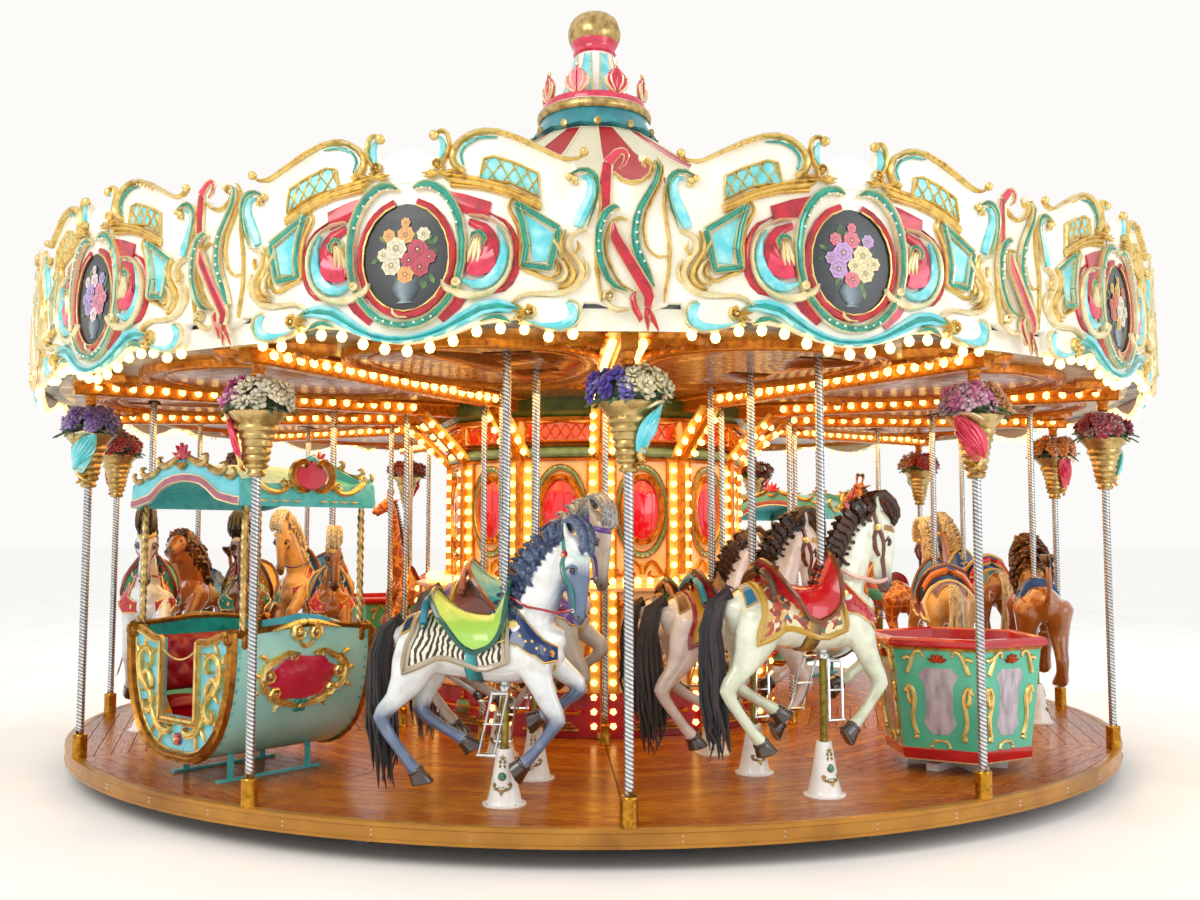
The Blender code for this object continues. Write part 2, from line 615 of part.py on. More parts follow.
LION_CHAINS = (
    ((-0.56, 0, 0.02, 0.12), (-0.42, 0, 0.03, 0.17), (-0.10, 0, -0.02, 0.17), (0.15, 0, 0.04, 0.19),
     (0.28, 0, 0.10, 0.14)),
    ((0.14, 0, 0.12, 0.20), (0.26, 0, 0.32, 0.22), (0.36, 0, 0.46, 0.19), (0.46, 0, 0.46, 0.12),
     (0.56, 0, 0.41, 0.075)),
    ((0.16, -0.10, -0.02, 0.11), (0.22, -0.11, -0.28, 0.065), (0.30, -0.11, -0.52, 0.05),
     (0.38, -0.11, -0.58, 0.055)),
    ((0.20, 0.10, -0.02, 0.11), (0.36, 0.11, -0.20, 0.065), (0.50, 0.11, -0.30, 0.05),
     (0.56, 0.11, -0.36, 0.055)),
    ((-0.46, -0.09, -0.02, 0.13), (-0.44, -0.10, -0.26, 0.08), (-0.58, -0.10, -0.44, 0.05),
     (-0.48, -0.10, -0.60, 0.055)),
    ((-0.46, 0.09, -0.02, 0.13), (-0.36, 0.10, -0.26, 0.08), (-0.50, 0.10, -0.42, 0.05),
     (-0.38, 0.10, -0.56, 0.055)),
    ((-0.56, 0, 0.06, 0.04), (-0.72, 0, 0.10, 0.035), (-0.80, 0, 0.30, 0.035), (-0.70, 0, 0.42, 0.06)),
)
GIRAFFE_CHAINS = (
    ((-0.48, 0, -0.04, 0.12), (-0.36, 0, 0.0, 0.17), (-0.05, 0, 0.03, 0.18), (0.18, 0, 0.10, 0.17)),
    ((0.12, 0, 0.14, 0.16), (0.22, 0, 0.42, 0.11), (0.28, 0, 0.72, 0.085), (0.32, 0, 1.02, 0.075),
     (0.36, 0, 1.12, 0.08)),
    ((0.36, 0, 1.12, 0.08), (0.46, 0, 1.10, 0.07), (0.60, 0, 1.02, 0.045)),
    ((0.36, -0.03, 1.10, 0.05), (0.33, -0.05, 1.20, 0.04), (0.31, -0.06, 1.28, 0.035)),
    ((0.36, 0.03, 1.10, 0.05), (0.33, 0.05, 1.20, 0.04), (0.31, 0.06, 1.28, 0.035)),
    ((0.14, -0.09, 0.0, 0.10), (0.24, -0.10, -0.24, 0.06), (0.30, -0.10, -0.42, 0.045),
     (0.18, -0.10, -0.66, 0.045)),
    ((0.14, 0.09, 0.0, 0.10), (0.32, 0.10, -0.18, 0.06), (0.42, 0.10, -0.30, 0.045),
     (0.32, 0.10, -0.50, 0.045)),
    ((-0.40, -0.09, -0.04, 0.12), (-0.44, -0.10, -0.26, 0.07), (-0.56, -0.10, -0.42, 0.045),
     (-0.44, -0.10, -0.68, 0.045)),
    ((-0.40, 0.09, -0.04, 0.12), (-0.36, 0.10, -0.26, 0.07), (-0.46, 0.10, -0.40, 0.045),
     (-0.32, 0.10, -0.62, 0.045)),
    ((-0.48, 0, 0.04, 0.05), (-0.58, 0, -0.10, 0.035), (-0.60, 0, -0.34, 0.045)),
)
SKIN_VOXEL = 0.032
SKIN_TRIANGLES = {"horse": 270, "lion": 240, "giraffe": 250}


def chain_bmesh(stations, sides=8):
    """A closed tube through round stations, with a rounded cap past each end."""
    bm = bmesh.new()
    centres = [Vector(s[:3]) for s in stations]
    rings = []
    for k, station in enumerate(stations):
        ahead = centres[min(k + 1, len(centres) - 1)] - centres[max(k - 1, 0)]
        turn = ahead.to_track_quat("Z", "Y").to_matrix().to_4x4()
        spot = Matrix.Translation(centres[k]) @ turn
        steps = [2 * math.pi * i / sides for i in range(sides)]
        around = [Vector((math.cos(t), math.sin(t), 0)) * station[3] for t in steps]
        rings.append([bm.verts.new(spot @ point) for point in around])
    for lower, upper in zip(rings, rings[1:]):
        for i in range(sides):
            n = (i + 1) % sides
            bm.faces.new((lower[i], lower[n], upper[n], upper[i]))
    for ring, centre, beyond, radius in ((rings[0][::-1], centres[0], centres[1], stations[0][3]),
                                         (rings[-1], centres[-1], centres[-2], stations[-1][3])):
        tip = bm.verts.new(centre + (centre - beyond).normalized() * radius * 0.7)
        for i in range(sides):
            bm.faces.new((ring[i], ring[(i + 1) % sides], tip))
    return bm


def largest_shell(bm):
    """Keeps the shell with the most corners and deletes the crumbs that melting leaves inside it."""
    shells = []
    waiting = set(bm.verts)
    while waiting:
        reached = [waiting.pop()]
        for vert in reached:
            for edge in vert.link_edges:
                other = edge.other_vert(vert)
                if other in waiting:
                    waiting.remove(other)
                    reached.append(other)
        shells.append(reached)
    shells.sort(key=len)
    for crumb in shells[:-1]:
        bmesh.ops.delete(bm, geom=crumb, context="VERTS")
    return bm


def blended_skin(chains, triangles, scale):
    """Melts overlapping chains into one skin and thins it to about the given number of triangles."""
    lumps = bmesh.new()
    for stations in chains:
        join_bmesh(lumps, chain_bmesh(stations))
    obj = new_object("lumps", mesh_from(lumps, "lumps"), smooth=False)
    melt = obj.modifiers.new("melt", "REMESH")
    melt.mode = "VOXEL"
    melt.voxel_size = SKIN_VOXEL
    melted = obj.evaluated_get(bpy.context.evaluated_depsgraph_get()).data
    count = sum(len(p.vertices) - 2 for p in melted.polygons)
    thin = obj.modifiers.new("thin", "DECIMATE")
    thin.ratio = triangles / count
    thin.use_collapse_triangulate = True
    skin = bpy.data.meshes.new_from_object(obj.evaluated_get(bpy.context.evaluated_depsgraph_get()))
    bpy.data.objects.remove(obj)
    skin.transform(Matrix.Scale(scale, 4))
    bm = bmesh.new()
    bm.from_mesh(skin)
    bpy.data.meshes.remove(skin)
    return largest_shell(bm)


def pole():
    """The pole above the body and the rod below it, as one turned bar about the body's middle."""
    foot = SOCKET_HEIGHT - STROKE / 2 - ROD_OVERLAP - BODY_HEIGHT
    head = POLE_TOP - BODY_HEIGHT
    profile = [(0, foot), (ROD_RADIUS, foot), (ROD_RADIUS, -0.05), (POLE_RADIUS, -0.04), (POLE_RADIUS, head),
               (0, head)]
    return lathe(profile, 6)


def animals(coats):
    chains = {"horse": HORSE_CHAINS, "lion": LION_CHAINS, "giraffe": GIRAFFE_CHAINS}
    made = {}
    for name, kind, row, angle, lift in ANIMALS:
        scale = ROW_SCALE[row]
        if (kind, scale) not in made:
            skin = blended_skin(chains[kind], SKIN_TRIANGLES[kind], scale)
            made[kind, scale] = mesh_from(combine(skin, [pole()], "UNION"), kind)
        obj = new_object(name, made[kind, scale].copy(), coats[kind])
        obj.matrix_world = place(ROWS[row], angle, BODY_HEIGHT + lift)


def main():
    clear_scene()
    steel = finish("galvanised_steel", "8a8f93", 0.45, 0.9)
    wood = finish("varnished_wood", "b5763a", 0.25)
    silver = finish("twisted_silver_tube", "d8dade", 0.18, 1.0)
    gold = finish("gold_paint", "b8924a", 0.30, 0.8)
    white = finish("gloss_white_paint", "f4f2ea", 0.20)
    canvas = finish("red_canvas", "b01c2a", 0.55)
    peach = finish("peach_paint", "f0c49a", 0.35)
    bronze = finish("bronze_gold_panel", "a8691f", 0.25, 0.6)
    hull_blue = finish("gondola_blue_paint", "63b5b0", 0.25)
    tub_green = finish("tub_green_paint", "55bfa2", 0.25)
    teal = finish("cupola_teal_paint", "1f9a8f", 0.25)
    coats = {"horse": finish("white_animal_paint", "e9e6da", 0.2),
             "lion": finish("lion_paint", "9a5a2a", 0.3),
             "giraffe": finish("giraffe_paint", "c87a30", 0.3)}
    base_frame(steel)
    centre_mast(steel)
    turntable_frame(steel)
    deck(wood)
    rim_posts(silver)
    light_sweeps(gold)
    sweep_frame(steel)
    ceiling(bronze)
    rounding_boards(white)
    roof(canvas)
    cupola(teal)
    housing(peach)
    for letter, angle in zip("ab", GONDOLA_ANGLES):
        gondola_hull("gondola_%s_hull" % letter, angle, hull_blue)
        gondola_canopy("gondola_%s_canopy" % letter, angle, hull_blue)
    tubs(tub_green)
    animals(coats)


main()
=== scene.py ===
# Fairground carousel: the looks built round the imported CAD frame.
# Metres, +Z up. Angles run from the front (-Y) towards +X, and heights called "above deck" start at DECK.

import math
import random

import bmesh
import bpy
import numpy as np
from mathutils import Matrix, Vector
from mathutils.bvhtree import BVHTree


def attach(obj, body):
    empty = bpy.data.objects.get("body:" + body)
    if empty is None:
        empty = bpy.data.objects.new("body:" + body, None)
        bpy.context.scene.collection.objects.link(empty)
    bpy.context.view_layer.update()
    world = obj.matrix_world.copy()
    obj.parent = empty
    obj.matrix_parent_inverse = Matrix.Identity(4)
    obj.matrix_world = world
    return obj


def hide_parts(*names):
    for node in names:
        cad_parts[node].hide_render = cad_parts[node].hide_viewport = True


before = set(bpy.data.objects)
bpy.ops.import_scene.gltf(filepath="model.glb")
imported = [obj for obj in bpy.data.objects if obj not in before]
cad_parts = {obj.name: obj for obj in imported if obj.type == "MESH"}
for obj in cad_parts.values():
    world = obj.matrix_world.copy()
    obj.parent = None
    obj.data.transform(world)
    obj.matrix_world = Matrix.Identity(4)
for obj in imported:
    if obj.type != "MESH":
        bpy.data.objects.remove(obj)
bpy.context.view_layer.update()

# Sizes that the CAD source also has
DECK = 0.24
BOARD_R = 4.85
POST_R = 4.50
BAY = 30
ROWS = {"outer": 3.97, "middle": 3.20, "inner": 2.45}
POLE_TOP = 3.05
BODY_HEIGHT = 1.0
rng = random.Random(7)


# Camera, taken from the photograph: 1200 x 900, f = 34.8 mm on a 36 mm sensor

cam = bpy.data.objects.new("camera", bpy.data.cameras.new("camera"))
bpy.context.scene.collection.objects.link(cam)
bpy.context.scene.camera = cam
cam.data.lens = 34.785
cam.data.sensor_width = 36
cam.data.clip_end = 200
cam.location = (-0.479, -11.110, 1.860)
cam.rotation_euler = (math.radians(94.273), 0, math.radians(-2.731))


# Colour and node helpers

def linear(colour):
    """sRGB hex to linear red, green, blue, alpha."""
    channels = [int(colour[i:i + 2], 16) / 255 for i in (0, 2, 4)]
    return tuple(c / 12.92 if c <= 0.04045 else ((c + 0.055) / 1.055) ** 2.4 for c in channels) + (1.0,)


def add(tree, kind, inputs=None, **settings):
    """Adds one node: its settings, then its inputs by name or number, each a value or an output to link."""
    made = tree.nodes.new(kind)
    for key, value in settings.items():
        setattr(made, key, value)
    for key, value in (inputs or {}).items():
        if isinstance(value, bpy.types.NodeSocket):
            tree.links.new(value, made.inputs[key])
        else:
            made.inputs[key].default_value = value
    return made


def surface(name, base, second, rough, metallic=0.0, grain=40.0, stretch=(1, 1, 1), relief=0.0, coat=0.0, share=(0.4, 0.7),
            source="Object", attribute=None, ior=1.5, sheen=0.0):
    """A finish of two tones mottled at a real size. grain is the mottle in mm, relief its bump in mm, rough the
    lowest and highest roughness, and attribute a painted colour that takes the place of the base tone."""
    mat = bpy.data.materials.new(name)
    mat.use_nodes = True
    tree = mat.node_tree
    shader = tree.nodes["Principled BSDF"]
    where = add(tree, "ShaderNodeTexCoord").outputs[source]
    turned = add(tree, "ShaderNodeMapping", {"Vector": where, "Scale": stretch}).outputs[0]
    mottle = add(tree, "ShaderNodeTexNoise", {"Vector": turned, "Scale": 1000 / grain, "Detail": 4.0}).outputs[0]
    tone = add(tree, "ShaderNodeMapRange", {0: mottle, 1: share[0], 2: share[1]}).outputs[0]
    first = linear(base)
    if attribute:
        first = add(tree, "ShaderNodeVertexColor", layer_name=attribute).outputs[0]
        tint = add(tree, "ShaderNodeMix", {0: 1.0, 6: first, 7: linear(second)}, data_type="RGBA",
                   blend_type="MULTIPLY").outputs[2]
    else:
        tint = linear(second)
    colour = add(tree, "ShaderNodeMix", {0: tone, 6: first, 7: tint}, data_type="RGBA").outputs[2]
    tree.links.new(colour, shader.inputs["Base Color"])
    gloss = add(tree, "ShaderNodeMapRange", {0: mottle, 1: 0.3, 2: 0.7, 3: rough[0], 4: rough[1]}).outputs[0]
    tree.links.new(gloss, shader.inputs["Roughness"])
    shader.inputs["Metallic"].default_value = metallic
    if not metallic:
        shader.inputs["IOR"].default_value = ior
    shader.inputs["Coat Weight"].default_value = coat
    shader.inputs["Coat Roughness"].default_value = 0.06
    shader.inputs["Sheen Weight"].default_value = sheen
    if relief:
        bump = add(tree, "ShaderNodeBump", {"Height": mottle, "Strength": 1.0, "Distance": relief / 1000})
        tree.links.new(bump.outputs[0], shader.inputs["Normal"])
    return mat


# Finishes

# Gel-coated glass fibre boards, sprayed warm white: faint cream mottling, wet gloss
ivory = surface("gelcoat_ivory", "fbf8ee", "efe8d2", (0.18, 0.3), grain=180, coat=0.4)
# Gold bronze paint over a dark glaze, rubbed back: bright crests, brown in patches
gold = surface("rubbed_gold_bronze_paint", "ecd084", "b4863a", (0.2, 0.4), metallic=0.75, grain=60, relief=0.3,
               share=(0.48, 0.82))
# Paler champagne gold on the hooks and cream volutes
pale_gold = surface("champagne_gold_paint", "f4e8be", "dcbf78", (0.2, 0.4), metallic=0.5, grain=80, relief=0.3, share=(0.45, 0.8))
# Pearl teal lacquer, a little darker in patches
teal = surface("pearl_teal_lacquer", "22a596", "0f7d78", (0.16, 0.3), metallic=0.25, grain=60, coat=0.6)
# Bright turquoise lacquer that fades to pale cyan
cyan = surface("pale_turquoise_lacquer", "5fd0dc", "a9e9ee", (0.16, 0.28), metallic=0.1, grain=90, coat=0.6)
# Candy crimson over silver: deep red with pink bloom
crimson = surface("candy_crimson_lacquer", "c8102e", "8e0a22", (0.14, 0.26), metallic=0.15, grain=70, coat=0.8)
pink = surface("candy_pink_lacquer", "e0385a", "c01838", (0.14, 0.26), metallic=0.1, grain=60, coat=0.8)
pearl = surface("pearl_bead_enamel", "f4fbf8", "cfe8e2", (0.1, 0.2), metallic=0.1, grain=20, coat=0.6)
# Oil colours on a primed panel under varnish; the colours ride on the vertices
canvas_paint = surface("varnished_oil_painting", "ffffff", "d8cfc0", (0.25, 0.45), grain=6, relief=0.25, coat=0.3,
                       attribute="paint")


# Mesh helpers

def spline(points, steps=4, closed=False):
    """A Catmull-Rom curve through control points; whatever numbers follow the place are blended with it."""
    p = np.array(points, float)
    n = len(p)
    out = []
    for k in range(n if closed else n - 1):
        a, b, c, d = (p[(k + j) % n] if closed else p[min(max(k + j, 0), n - 1)] for j in (-1, 0, 1, 2))
        for t in np.arange(steps) / steps:
            out.append(0.5 * (2 * b + (c - a) * t + (2 * a - 5 * b + 4 * c - d) * t ** 2 + (3 * b - a - 3 * c + d) * t ** 3))
    if not closed:
        out.append(p[-1])
    return np.array(out)


def lean(line, slack):
    """Drops the stations of a curve that lie within `slack` of the chord between their neighbours."""
    keep = [0]
    for k in range(1, len(line) - 1):
        start, chord = line[keep[-1]], line[k + 1] - line[keep[-1]]
        along = np.dot(line[k] - start, chord) / (np.dot(chord, chord) + 1e-12)
        if np.linalg.norm(line[k] - start - chord * along) > slack:
            keep.append(k)
    return line[keep + [len(line) - 1]]


class Carving:
    """Collects closed shells of several finishes, each laid in (u, v, d) and bent into place by `lay`."""

    def __init__(self, lay=None):
        self.lay = lay or (lambda p: p)
        self.points, self.faces, self.marks, self.finishes, self.paint = [], [], [], [], []
        self.ink = (1, 1, 1, 1)

    def shell(self, points, faces, finishes, paint=None):
        base = len(self.points)
        placed = self.lay(np.array(points, float))
        self.points.extend(placed.tolist())
        self.paint.extend(paint or [self.ink] * len(placed))
        for k, face in enumerate(faces):
            mat = finishes[k] if isinstance(finishes, list) else finishes
            if mat not in self.finishes:
                self.finishes.append(mat)
            self.faces.append([base + i for i in face])
            self.marks.append(self.finishes.index(mat))

    def rails(self, rows, finishes, closed=False, caps=True, paint=None):
        """Skins equal rows of points; each row is a closed ring. finishes names one per ring side."""
        rows = [np.array(row, float) for row in rows]
        n = len(rows[0])
        points = np.concatenate(rows)
        faces, marks = [], []
        last = len(rows) if closed else len(rows) - 1
        for k in range(last):
            a, b = k * n, ((k + 1) % len(rows)) * n
            for i in range(n):
                j = (i + 1) % n
                faces.append((a + i, a + j, b + j, b + i))
                marks.append(finishes[i] if isinstance(finishes, list) else finishes)
        if caps and not closed:
            edge = finishes[0] if isinstance(finishes, list) else finishes
            faces += [list(range(n))[::-1], [(len(rows) - 1) * n + i for i in range(n)]]
            marks += [edge, edge]
        self.shell(points, faces, marks, paint)

    def scroll(self, path, base, rise, finish_, edge=None, bead=0.006, steps=3, closed=False, crown=1.0):
        """A crowned band along (u, v, half width); with an edge finish it has a raised bead on both sides."""
        line = spline(path, steps, closed)
        if not closed:
            line = lean(line, 0.05 * max(line[:, 2]))
        ahead = np.roll(line, -1, 0) - np.roll(line, 1, 0)
        if not closed:
            ahead[0], ahead[-1] = line[1] - line[0], line[-1] - line[-2]
        side = np.stack([-ahead[:, 1], ahead[:, 0]], 1)
        side /= np.linalg.norm(side, axis=1)[:, None] + 1e-9
        rows = []
        for (u, v, w), s in zip(line, side):
            if edge:
                b = min(bead, w * 0.45)
                cut = [(-w, 0), (-w + 0.4 * b, rise * 0.97), (-w + 1.6 * b, rise * 0.55), (0, rise * crown * 0.9),
                       (w - 1.6 * b, rise * 0.55), (w - 0.4 * b, rise * 0.97), (w, 0)]
            else:
                cut = [(-w, 0), (-w * 0.8, rise * 0.6), (0, rise), (w * 0.8, rise * 0.6), (w, 0)]
            rows.append([(u + s[0] * x, v + s[1] * x, base + d) for x, d in cut])
        marks = [edge, edge, finish_, finish_, edge, edge, edge] if edge else finish_
        self.rails(rows, marks, closed)

    def between(self, rail_a, rail_b, base, rise, finish_, columns=3, steps=3, hollow=0.0):
        """A pillow between two rails of (u, v), walled down to the base."""
        a, b = spline(rail_a, steps), spline(rail_b, steps)
        if len(a) != len(b):
            t = np.linspace(0, len(b) - 1, len(a))
            b = np.stack([np.interp(t, range(len(b)), b[:, k]) for k in range(2)], 1)
        rows = []
        for p, q in zip(a, b):
            row = [(p[0], p[1], base)]
            for k in range(columns + 1):
                t = k / columns
                lift = rise * (1 - hollow * (1 - (2 * t - 1) ** 2)) if hollow else rise * (0.55 + 0.45 * (1 - (2 * t - 1) ** 2))
                row.append((p[0] + (q[0] - p[0]) * t, p[1] + (q[1] - p[1]) * t, base + lift))
            row.append((q[0], q[1], base))
            rows.append(row)
        self.rails(rows, finish_)

    def bead(self, path, base, finish_, steps=3, closed=False, sides=6, squash=1.0):
        """A round rod along (u, v, radius), lying on the base."""
        line = spline(path, steps, closed)
        if not closed:
            line = lean(line, 0.08 * max(line[:, 2]))
        ahead = np.roll(line, -1, 0) - np.roll(line, 1, 0)
        if not closed:
            ahead[0], ahead[-1] = line[1] - line[0], line[-1] - line[-2]
        side = np.stack([-ahead[:, 1], ahead[:, 0]], 1)
        side /= np.linalg.norm(side, axis=1)[:, None] + 1e-9
        turns = [2 * math.pi * k / sides for k in range(sides)]
        rows = [[(u + s[0] * r * math.cos(t), v + s[1] * r * math.cos(t), base + r * squash * math.sin(t)) for t in turns]
                for (u, v, r), s in zip(line, side)]
        self.rails(rows, finish_, closed)

    def volute(self, u, v, radius, start, turns, base, finish_, width=0.3, rise=0.02, way=1, knob=True):
        """A spiral scroll end that winds inwards round (u, v), with a round eye."""
        path = []
        count = max(4, int(abs(turns) * 7))
        for k in range(count + 1):
            t = k / count
            r = radius * (1 - 0.72 * t)
            a = math.radians(start) + way * 2 * math.pi * turns * t
            path.append((u + r * math.cos(a), v + r * math.sin(a), radius * width * (1 - 0.5 * t)))
        self.scroll(path, base, rise, finish_, steps=1)
        if knob:
            self.ball(u, v, base + rise * 0.7, radius * 0.3, finish_, 3, 6)

    def ball(self, u, v, d, radius, finish_, rings=4, sides=8, squash=1.0):
        points = [(u, v, d - radius * squash)]
        for k in range(1, rings):
            a = math.pi * k / rings
            points += [(u + radius * math.sin(a) * math.cos(b), v + radius * math.sin(a) * math.sin(b),
                        d - radius * squash * math.cos(a)) for b in np.arange(sides) * 2 * math.pi / sides]
        points.append((u, v, d + radius * squash))
        faces = [(0, 1 + (i + 1) % sides, 1 + i) for i in range(sides)]
        for k in range(rings - 2):
            for i in range(sides):
                j = (i + 1) % sides
                a = 1 + k * sides
                faces.append((a + i, a + j, a + sides + j, a + sides + i))
        top = 1 + (rings - 2) * sides
        faces += [(top + i, top + (i + 1) % sides, len(points) - 1) for i in range(sides)]
        self.shell(points, faces, finish_)

    def plate(self, outline, base, rise, finish_, bevel=0.004, steps=1):
        """A flat plate with a chamfered border round a closed (u, v) outline."""
        line = spline(outline, steps, True)[:, :2]
        ahead = np.roll(line, -1, 0) - np.roll(line, 1, 0)
        inward = np.stack([-ahead[:, 1], ahead[:, 0]], 1)
        inward /= np.linalg.norm(inward, axis=1)[:, None] + 1e-9
        area = np.sum(line[:, 0] * np.roll(line[:, 1], -1) - np.roll(line[:, 0], -1) * line[:, 1])
        inner = line + inward * bevel * (1 if area > 0 else -1)
        n = len(line)
        points = [(u, v, base) for u, v in line] + [(u, v, base + rise * 0.6) for u, v in line]
        points += [(u, v, base + rise) for u, v in inner]
        faces = [list(range(n))[::-1], [2 * n + i for i in range(n)]]
        for k in (0, n):
            faces += [(k + i, k + (i + 1) % n, k + n + (i + 1) % n, k + n + i) for i in range(n)]
        self.shell(points, faces, finish_)

    def mesh(self, name, smooth=40, triangulate=False):
        mesh = bpy.data.meshes.new(name)
        mesh.from_pydata(self.points, [], self.faces)
        for mat in self.finishes:
            mesh.materials.append(mat)
        mesh.polygons.foreach_set("material_index", self.marks)
        layer = mesh.color_attributes.new("paint", "FLOAT_COLOR", "POINT")
        layer.data.foreach_set("color", np.array(self.paint, np.float32).ravel())
        bm = bmesh.new()
        bm.from_mesh(mesh)
        bmesh.ops.recalc_face_normals(bm, faces=bm.faces)
        bm.to_mesh(mesh)
        bm.free()
        mesh.shade_smooth()
        mesh.set_sharp_from_angle(angle=math.radians(smooth))
        return mesh


def thinned(mesh, share, smooth=35):
    """The mesh with its flattest edges collapsed until `share` of its triangles are left."""
    obj = bpy.data.objects.new("thinned", mesh)
    bpy.context.scene.collection.objects.link(obj)
    obj.modifiers.new("thin", "DECIMATE").ratio = share
    less = bpy.data.meshes.new_from_object(obj.evaluated_get(bpy.context.evaluated_depsgraph_get()))
    bpy.data.objects.remove(obj)
    less.shade_smooth()
    less.set_sharp_from_angle(angle=math.radians(smooth))
    return less


def show(name, mesh, body="platform", where=None, replaces=()):
    """Links a finished mesh, moves its points to their place and lets it ride on a body."""
    if where is not None:
        mesh = mesh.copy()
        mesh.transform(where)
        if where.determinant() < 0:
            mesh.flip_normals()
    mesh.name = name
    obj = bpy.data.objects.new(name, mesh)
    bpy.context.scene.collection.objects.link(obj)
    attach(obj, body)
    if replaces:
        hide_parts(*replaces)
    return obj


def spot(radius, angle, height=0.0, turn=None):
    """A place on the platform with +X along the travel and -Y outwards; height is above the deck."""
    a = math.radians(angle)
    turned = Matrix.Rotation(math.radians(angle if turn is None else turn), 4, "Z")
    return Matrix.Translation((radius * math.sin(a), -radius * math.cos(a), DECK + height)) @ turned


def on_drum(radius, lean=0.0):
    """Bends (along, height above deck, proud) round a drum, its middle at the front."""
    def lay(p):
        turn = p[:, 0] / radius
        r = radius + p[:, 2] + lean * p[:, 1]
        return np.stack([r * np.sin(turn), -r * np.cos(turn), p[:, 1] + DECK], 1)
    return lay


def turned_rows(profile, sides):
    """Rows of points for a solid turned about Z from (radius, height), for Carving.rails."""
    steps = np.arange(sides) * 2 * math.pi / sides
    return [[(r * math.sin(t), -r * math.cos(t), z) for t in steps] for r, z in profile]


def ring_about(angle):
    return Matrix.Rotation(math.radians(angle), 4, "Z")

def glowing(name, base, colour, strength):
    """A lit glass: its own colour and the light it gives off."""
    mat = bpy.data.materials.new(name)
    mat.use_nodes = True
    shader = mat.node_tree.nodes["Principled BSDF"]
    shader.inputs["Base Color"].default_value = linear(base)
    shader.inputs["Emission Color"].default_value = linear(colour)
    shader.inputs["Emission Strength"].default_value = strength
    shader.inputs["Roughness"].default_value = 0.25
    mat.cycles.emission_sampling = "NONE"
    return mat


# Frosted glass of lit carnival lamps: a cream-yellow glow
lamp_glass = glowing("lit_frosted_glass", "fff0c8", "ffd877", 3.2)
# Porcelain holders, lit through by their lamp
porcelain = glowing("lit_porcelain", "fff6e2", "ffc870", 0.6)
# Silver-plated brass tube pressed into ribs: mirror bright crests, with painted shade in the grooves that rides on the
# vertices
silver_tube = surface("silver_plated_tube", "f8f8fa", "d8dae0", (0.14, 0.26), metallic=0.9, grain=30, attribute="paint")
# Chromed steel of cranks and foot rests
chrome = surface("chrome_plate", "e6e8ec", "c8ccd2", (0.05, 0.14), metallic=1.0, grain=60)
# Lacquered brass of the post feet: deep yellow with brown tarnish near the deck
brass = surface("lacquered_brass", "c8902c", "94641c", (0.16, 0.32), metallic=0.9, grain=30)
# Olive brass of the lower rods, dulled by grease
rod_brass = surface("greased_brass_rod", "9a8a3c", "6a5c22", (0.25, 0.45), metallic=0.85, grain=35)
# Amber bronze mirror panels of the ceiling: lamps smear in them
bronze_panel = surface("amber_bronze_panel", "b4882e", "7a5418", (0.2, 0.36), metallic=0.55, grain=260, share=(0.35, 0.75))
# Brown bronze of the ceiling's ovals, streaked darker
brown_bronze = surface("streaked_brown_bronze", "a8601c", "5c2c0a", (0.14, 0.34), metallic=0.6, grain=120, stretch=(1, 3, 1))
# Burnt orange gilding of the inner beams and frames
amber_gilt = surface("burnt_orange_gilding", "e08a1e", "9a4c08", (0.2, 0.4), metallic=0.45, grain=40, relief=0.4)
# Cream-yellow boards behind the rows of lamps: their warm yellow is painted lamplight, the glow of the bulbs on the
# batten sides
painted_lamplight_board = surface("cream_board_painted_lamplight", "f8d070", "e2a83c", (0.3, 0.45), grain=120, coat=0.2)
# Peach stove enamel of the centre housing, cleaner high up
peach = surface("peach_stove_enamel", "fbd9ab", "f2bf84", (0.22, 0.36), grain=300, coat=0.3)
plinth_red = surface("deep_red_stove_enamel", "b80c1c", "8a0612", (0.18, 0.32), grain=160, coat=0.5)
# Red mirror glass of the housing's ovals
red_mirror = surface("red_mirror_glass", "e0122c", "c80a3a", (0.05, 0.12), grain=200, coat=1.0)
sage = surface("sage_green_enamel", "7f9d78", "55765a", (0.22, 0.36), grain=80, coat=0.3)
moss = surface("moss_green_enamel", "4f6a2c", "35501e", (0.25, 0.4), grain=120, coat=0.3)
# Painted shadow: near-black, for the ring inside each socket's bore and for the slot cutters
shadow = surface("painted_shadow_black", "1c1410", "0e0a08", (0.6, 0.8), grain=50)
# Red and cream PVC canvas of the roof: soft sheen, fine dirt
red_canvas = surface("red_pvc_canvas", "b3121f", "a21019", (0.38, 0.55), grain=400, relief=0.5, share=(0.4, 0.9))
cream_canvas = surface("cream_pvc_canvas", "e0dabc", "d2cbaa", (0.4, 0.55), grain=400, relief=0.5, share=(0.4, 0.9))
cupola_teal = surface("teal_gelcoat", "128a94", "0d6d78", (0.18, 0.3), grain=150, coat=0.5)
antique_gold = surface("antique_gold_leaf", "d0b478", "94783e", (0.22, 0.38), metallic=0.75, grain=70)
white_enamel = surface("white_stove_enamel", "f5f4f0", "e2e0d8", (0.2, 0.34), grain=120, coat=0.4)
green_gem = surface("green_glass_gem", "0e8a63", "076046", (0.06, 0.14), grain=20, coat=0.8)
# Dyed silk petals and leaves of the bouquets; their colours ride on the vertices
silk = surface("dyed_silk_petals", "ffffff", "b8aca4", (0.55, 0.75), grain=14, relief=0.6, attribute="paint", sheen=0.3)
# Varnished amber planks: streaks run along each plank, whose own tone rides on the vertices
plank_wood = surface("varnished_amber_planks", "ffffff", "a86a34", (0.16, 0.3), grain=160, stretch=(1, 14, 1), relief=0.25, ior=1.25,
                     share=(0.35, 0.65), source="UV", attribute="paint")
# Brown-gold painted rim of the deck, scuffed
rim_bronze = surface("brown_gold_rim_paint", "b8802e", "94621e", (0.26, 0.42), metallic=0.35, grain=420)
underside = surface("dark_stained_plywood", "4a3524", "2f2116", (0.5, 0.7), grain=60, stretch=(6, 1, 1))
# Galvanised frame, dulled by road dirt
frame_steel = surface("galvanised_frame_steel", "8f9498", "64696c", (0.4, 0.6), metallic=0.6, grain=90)


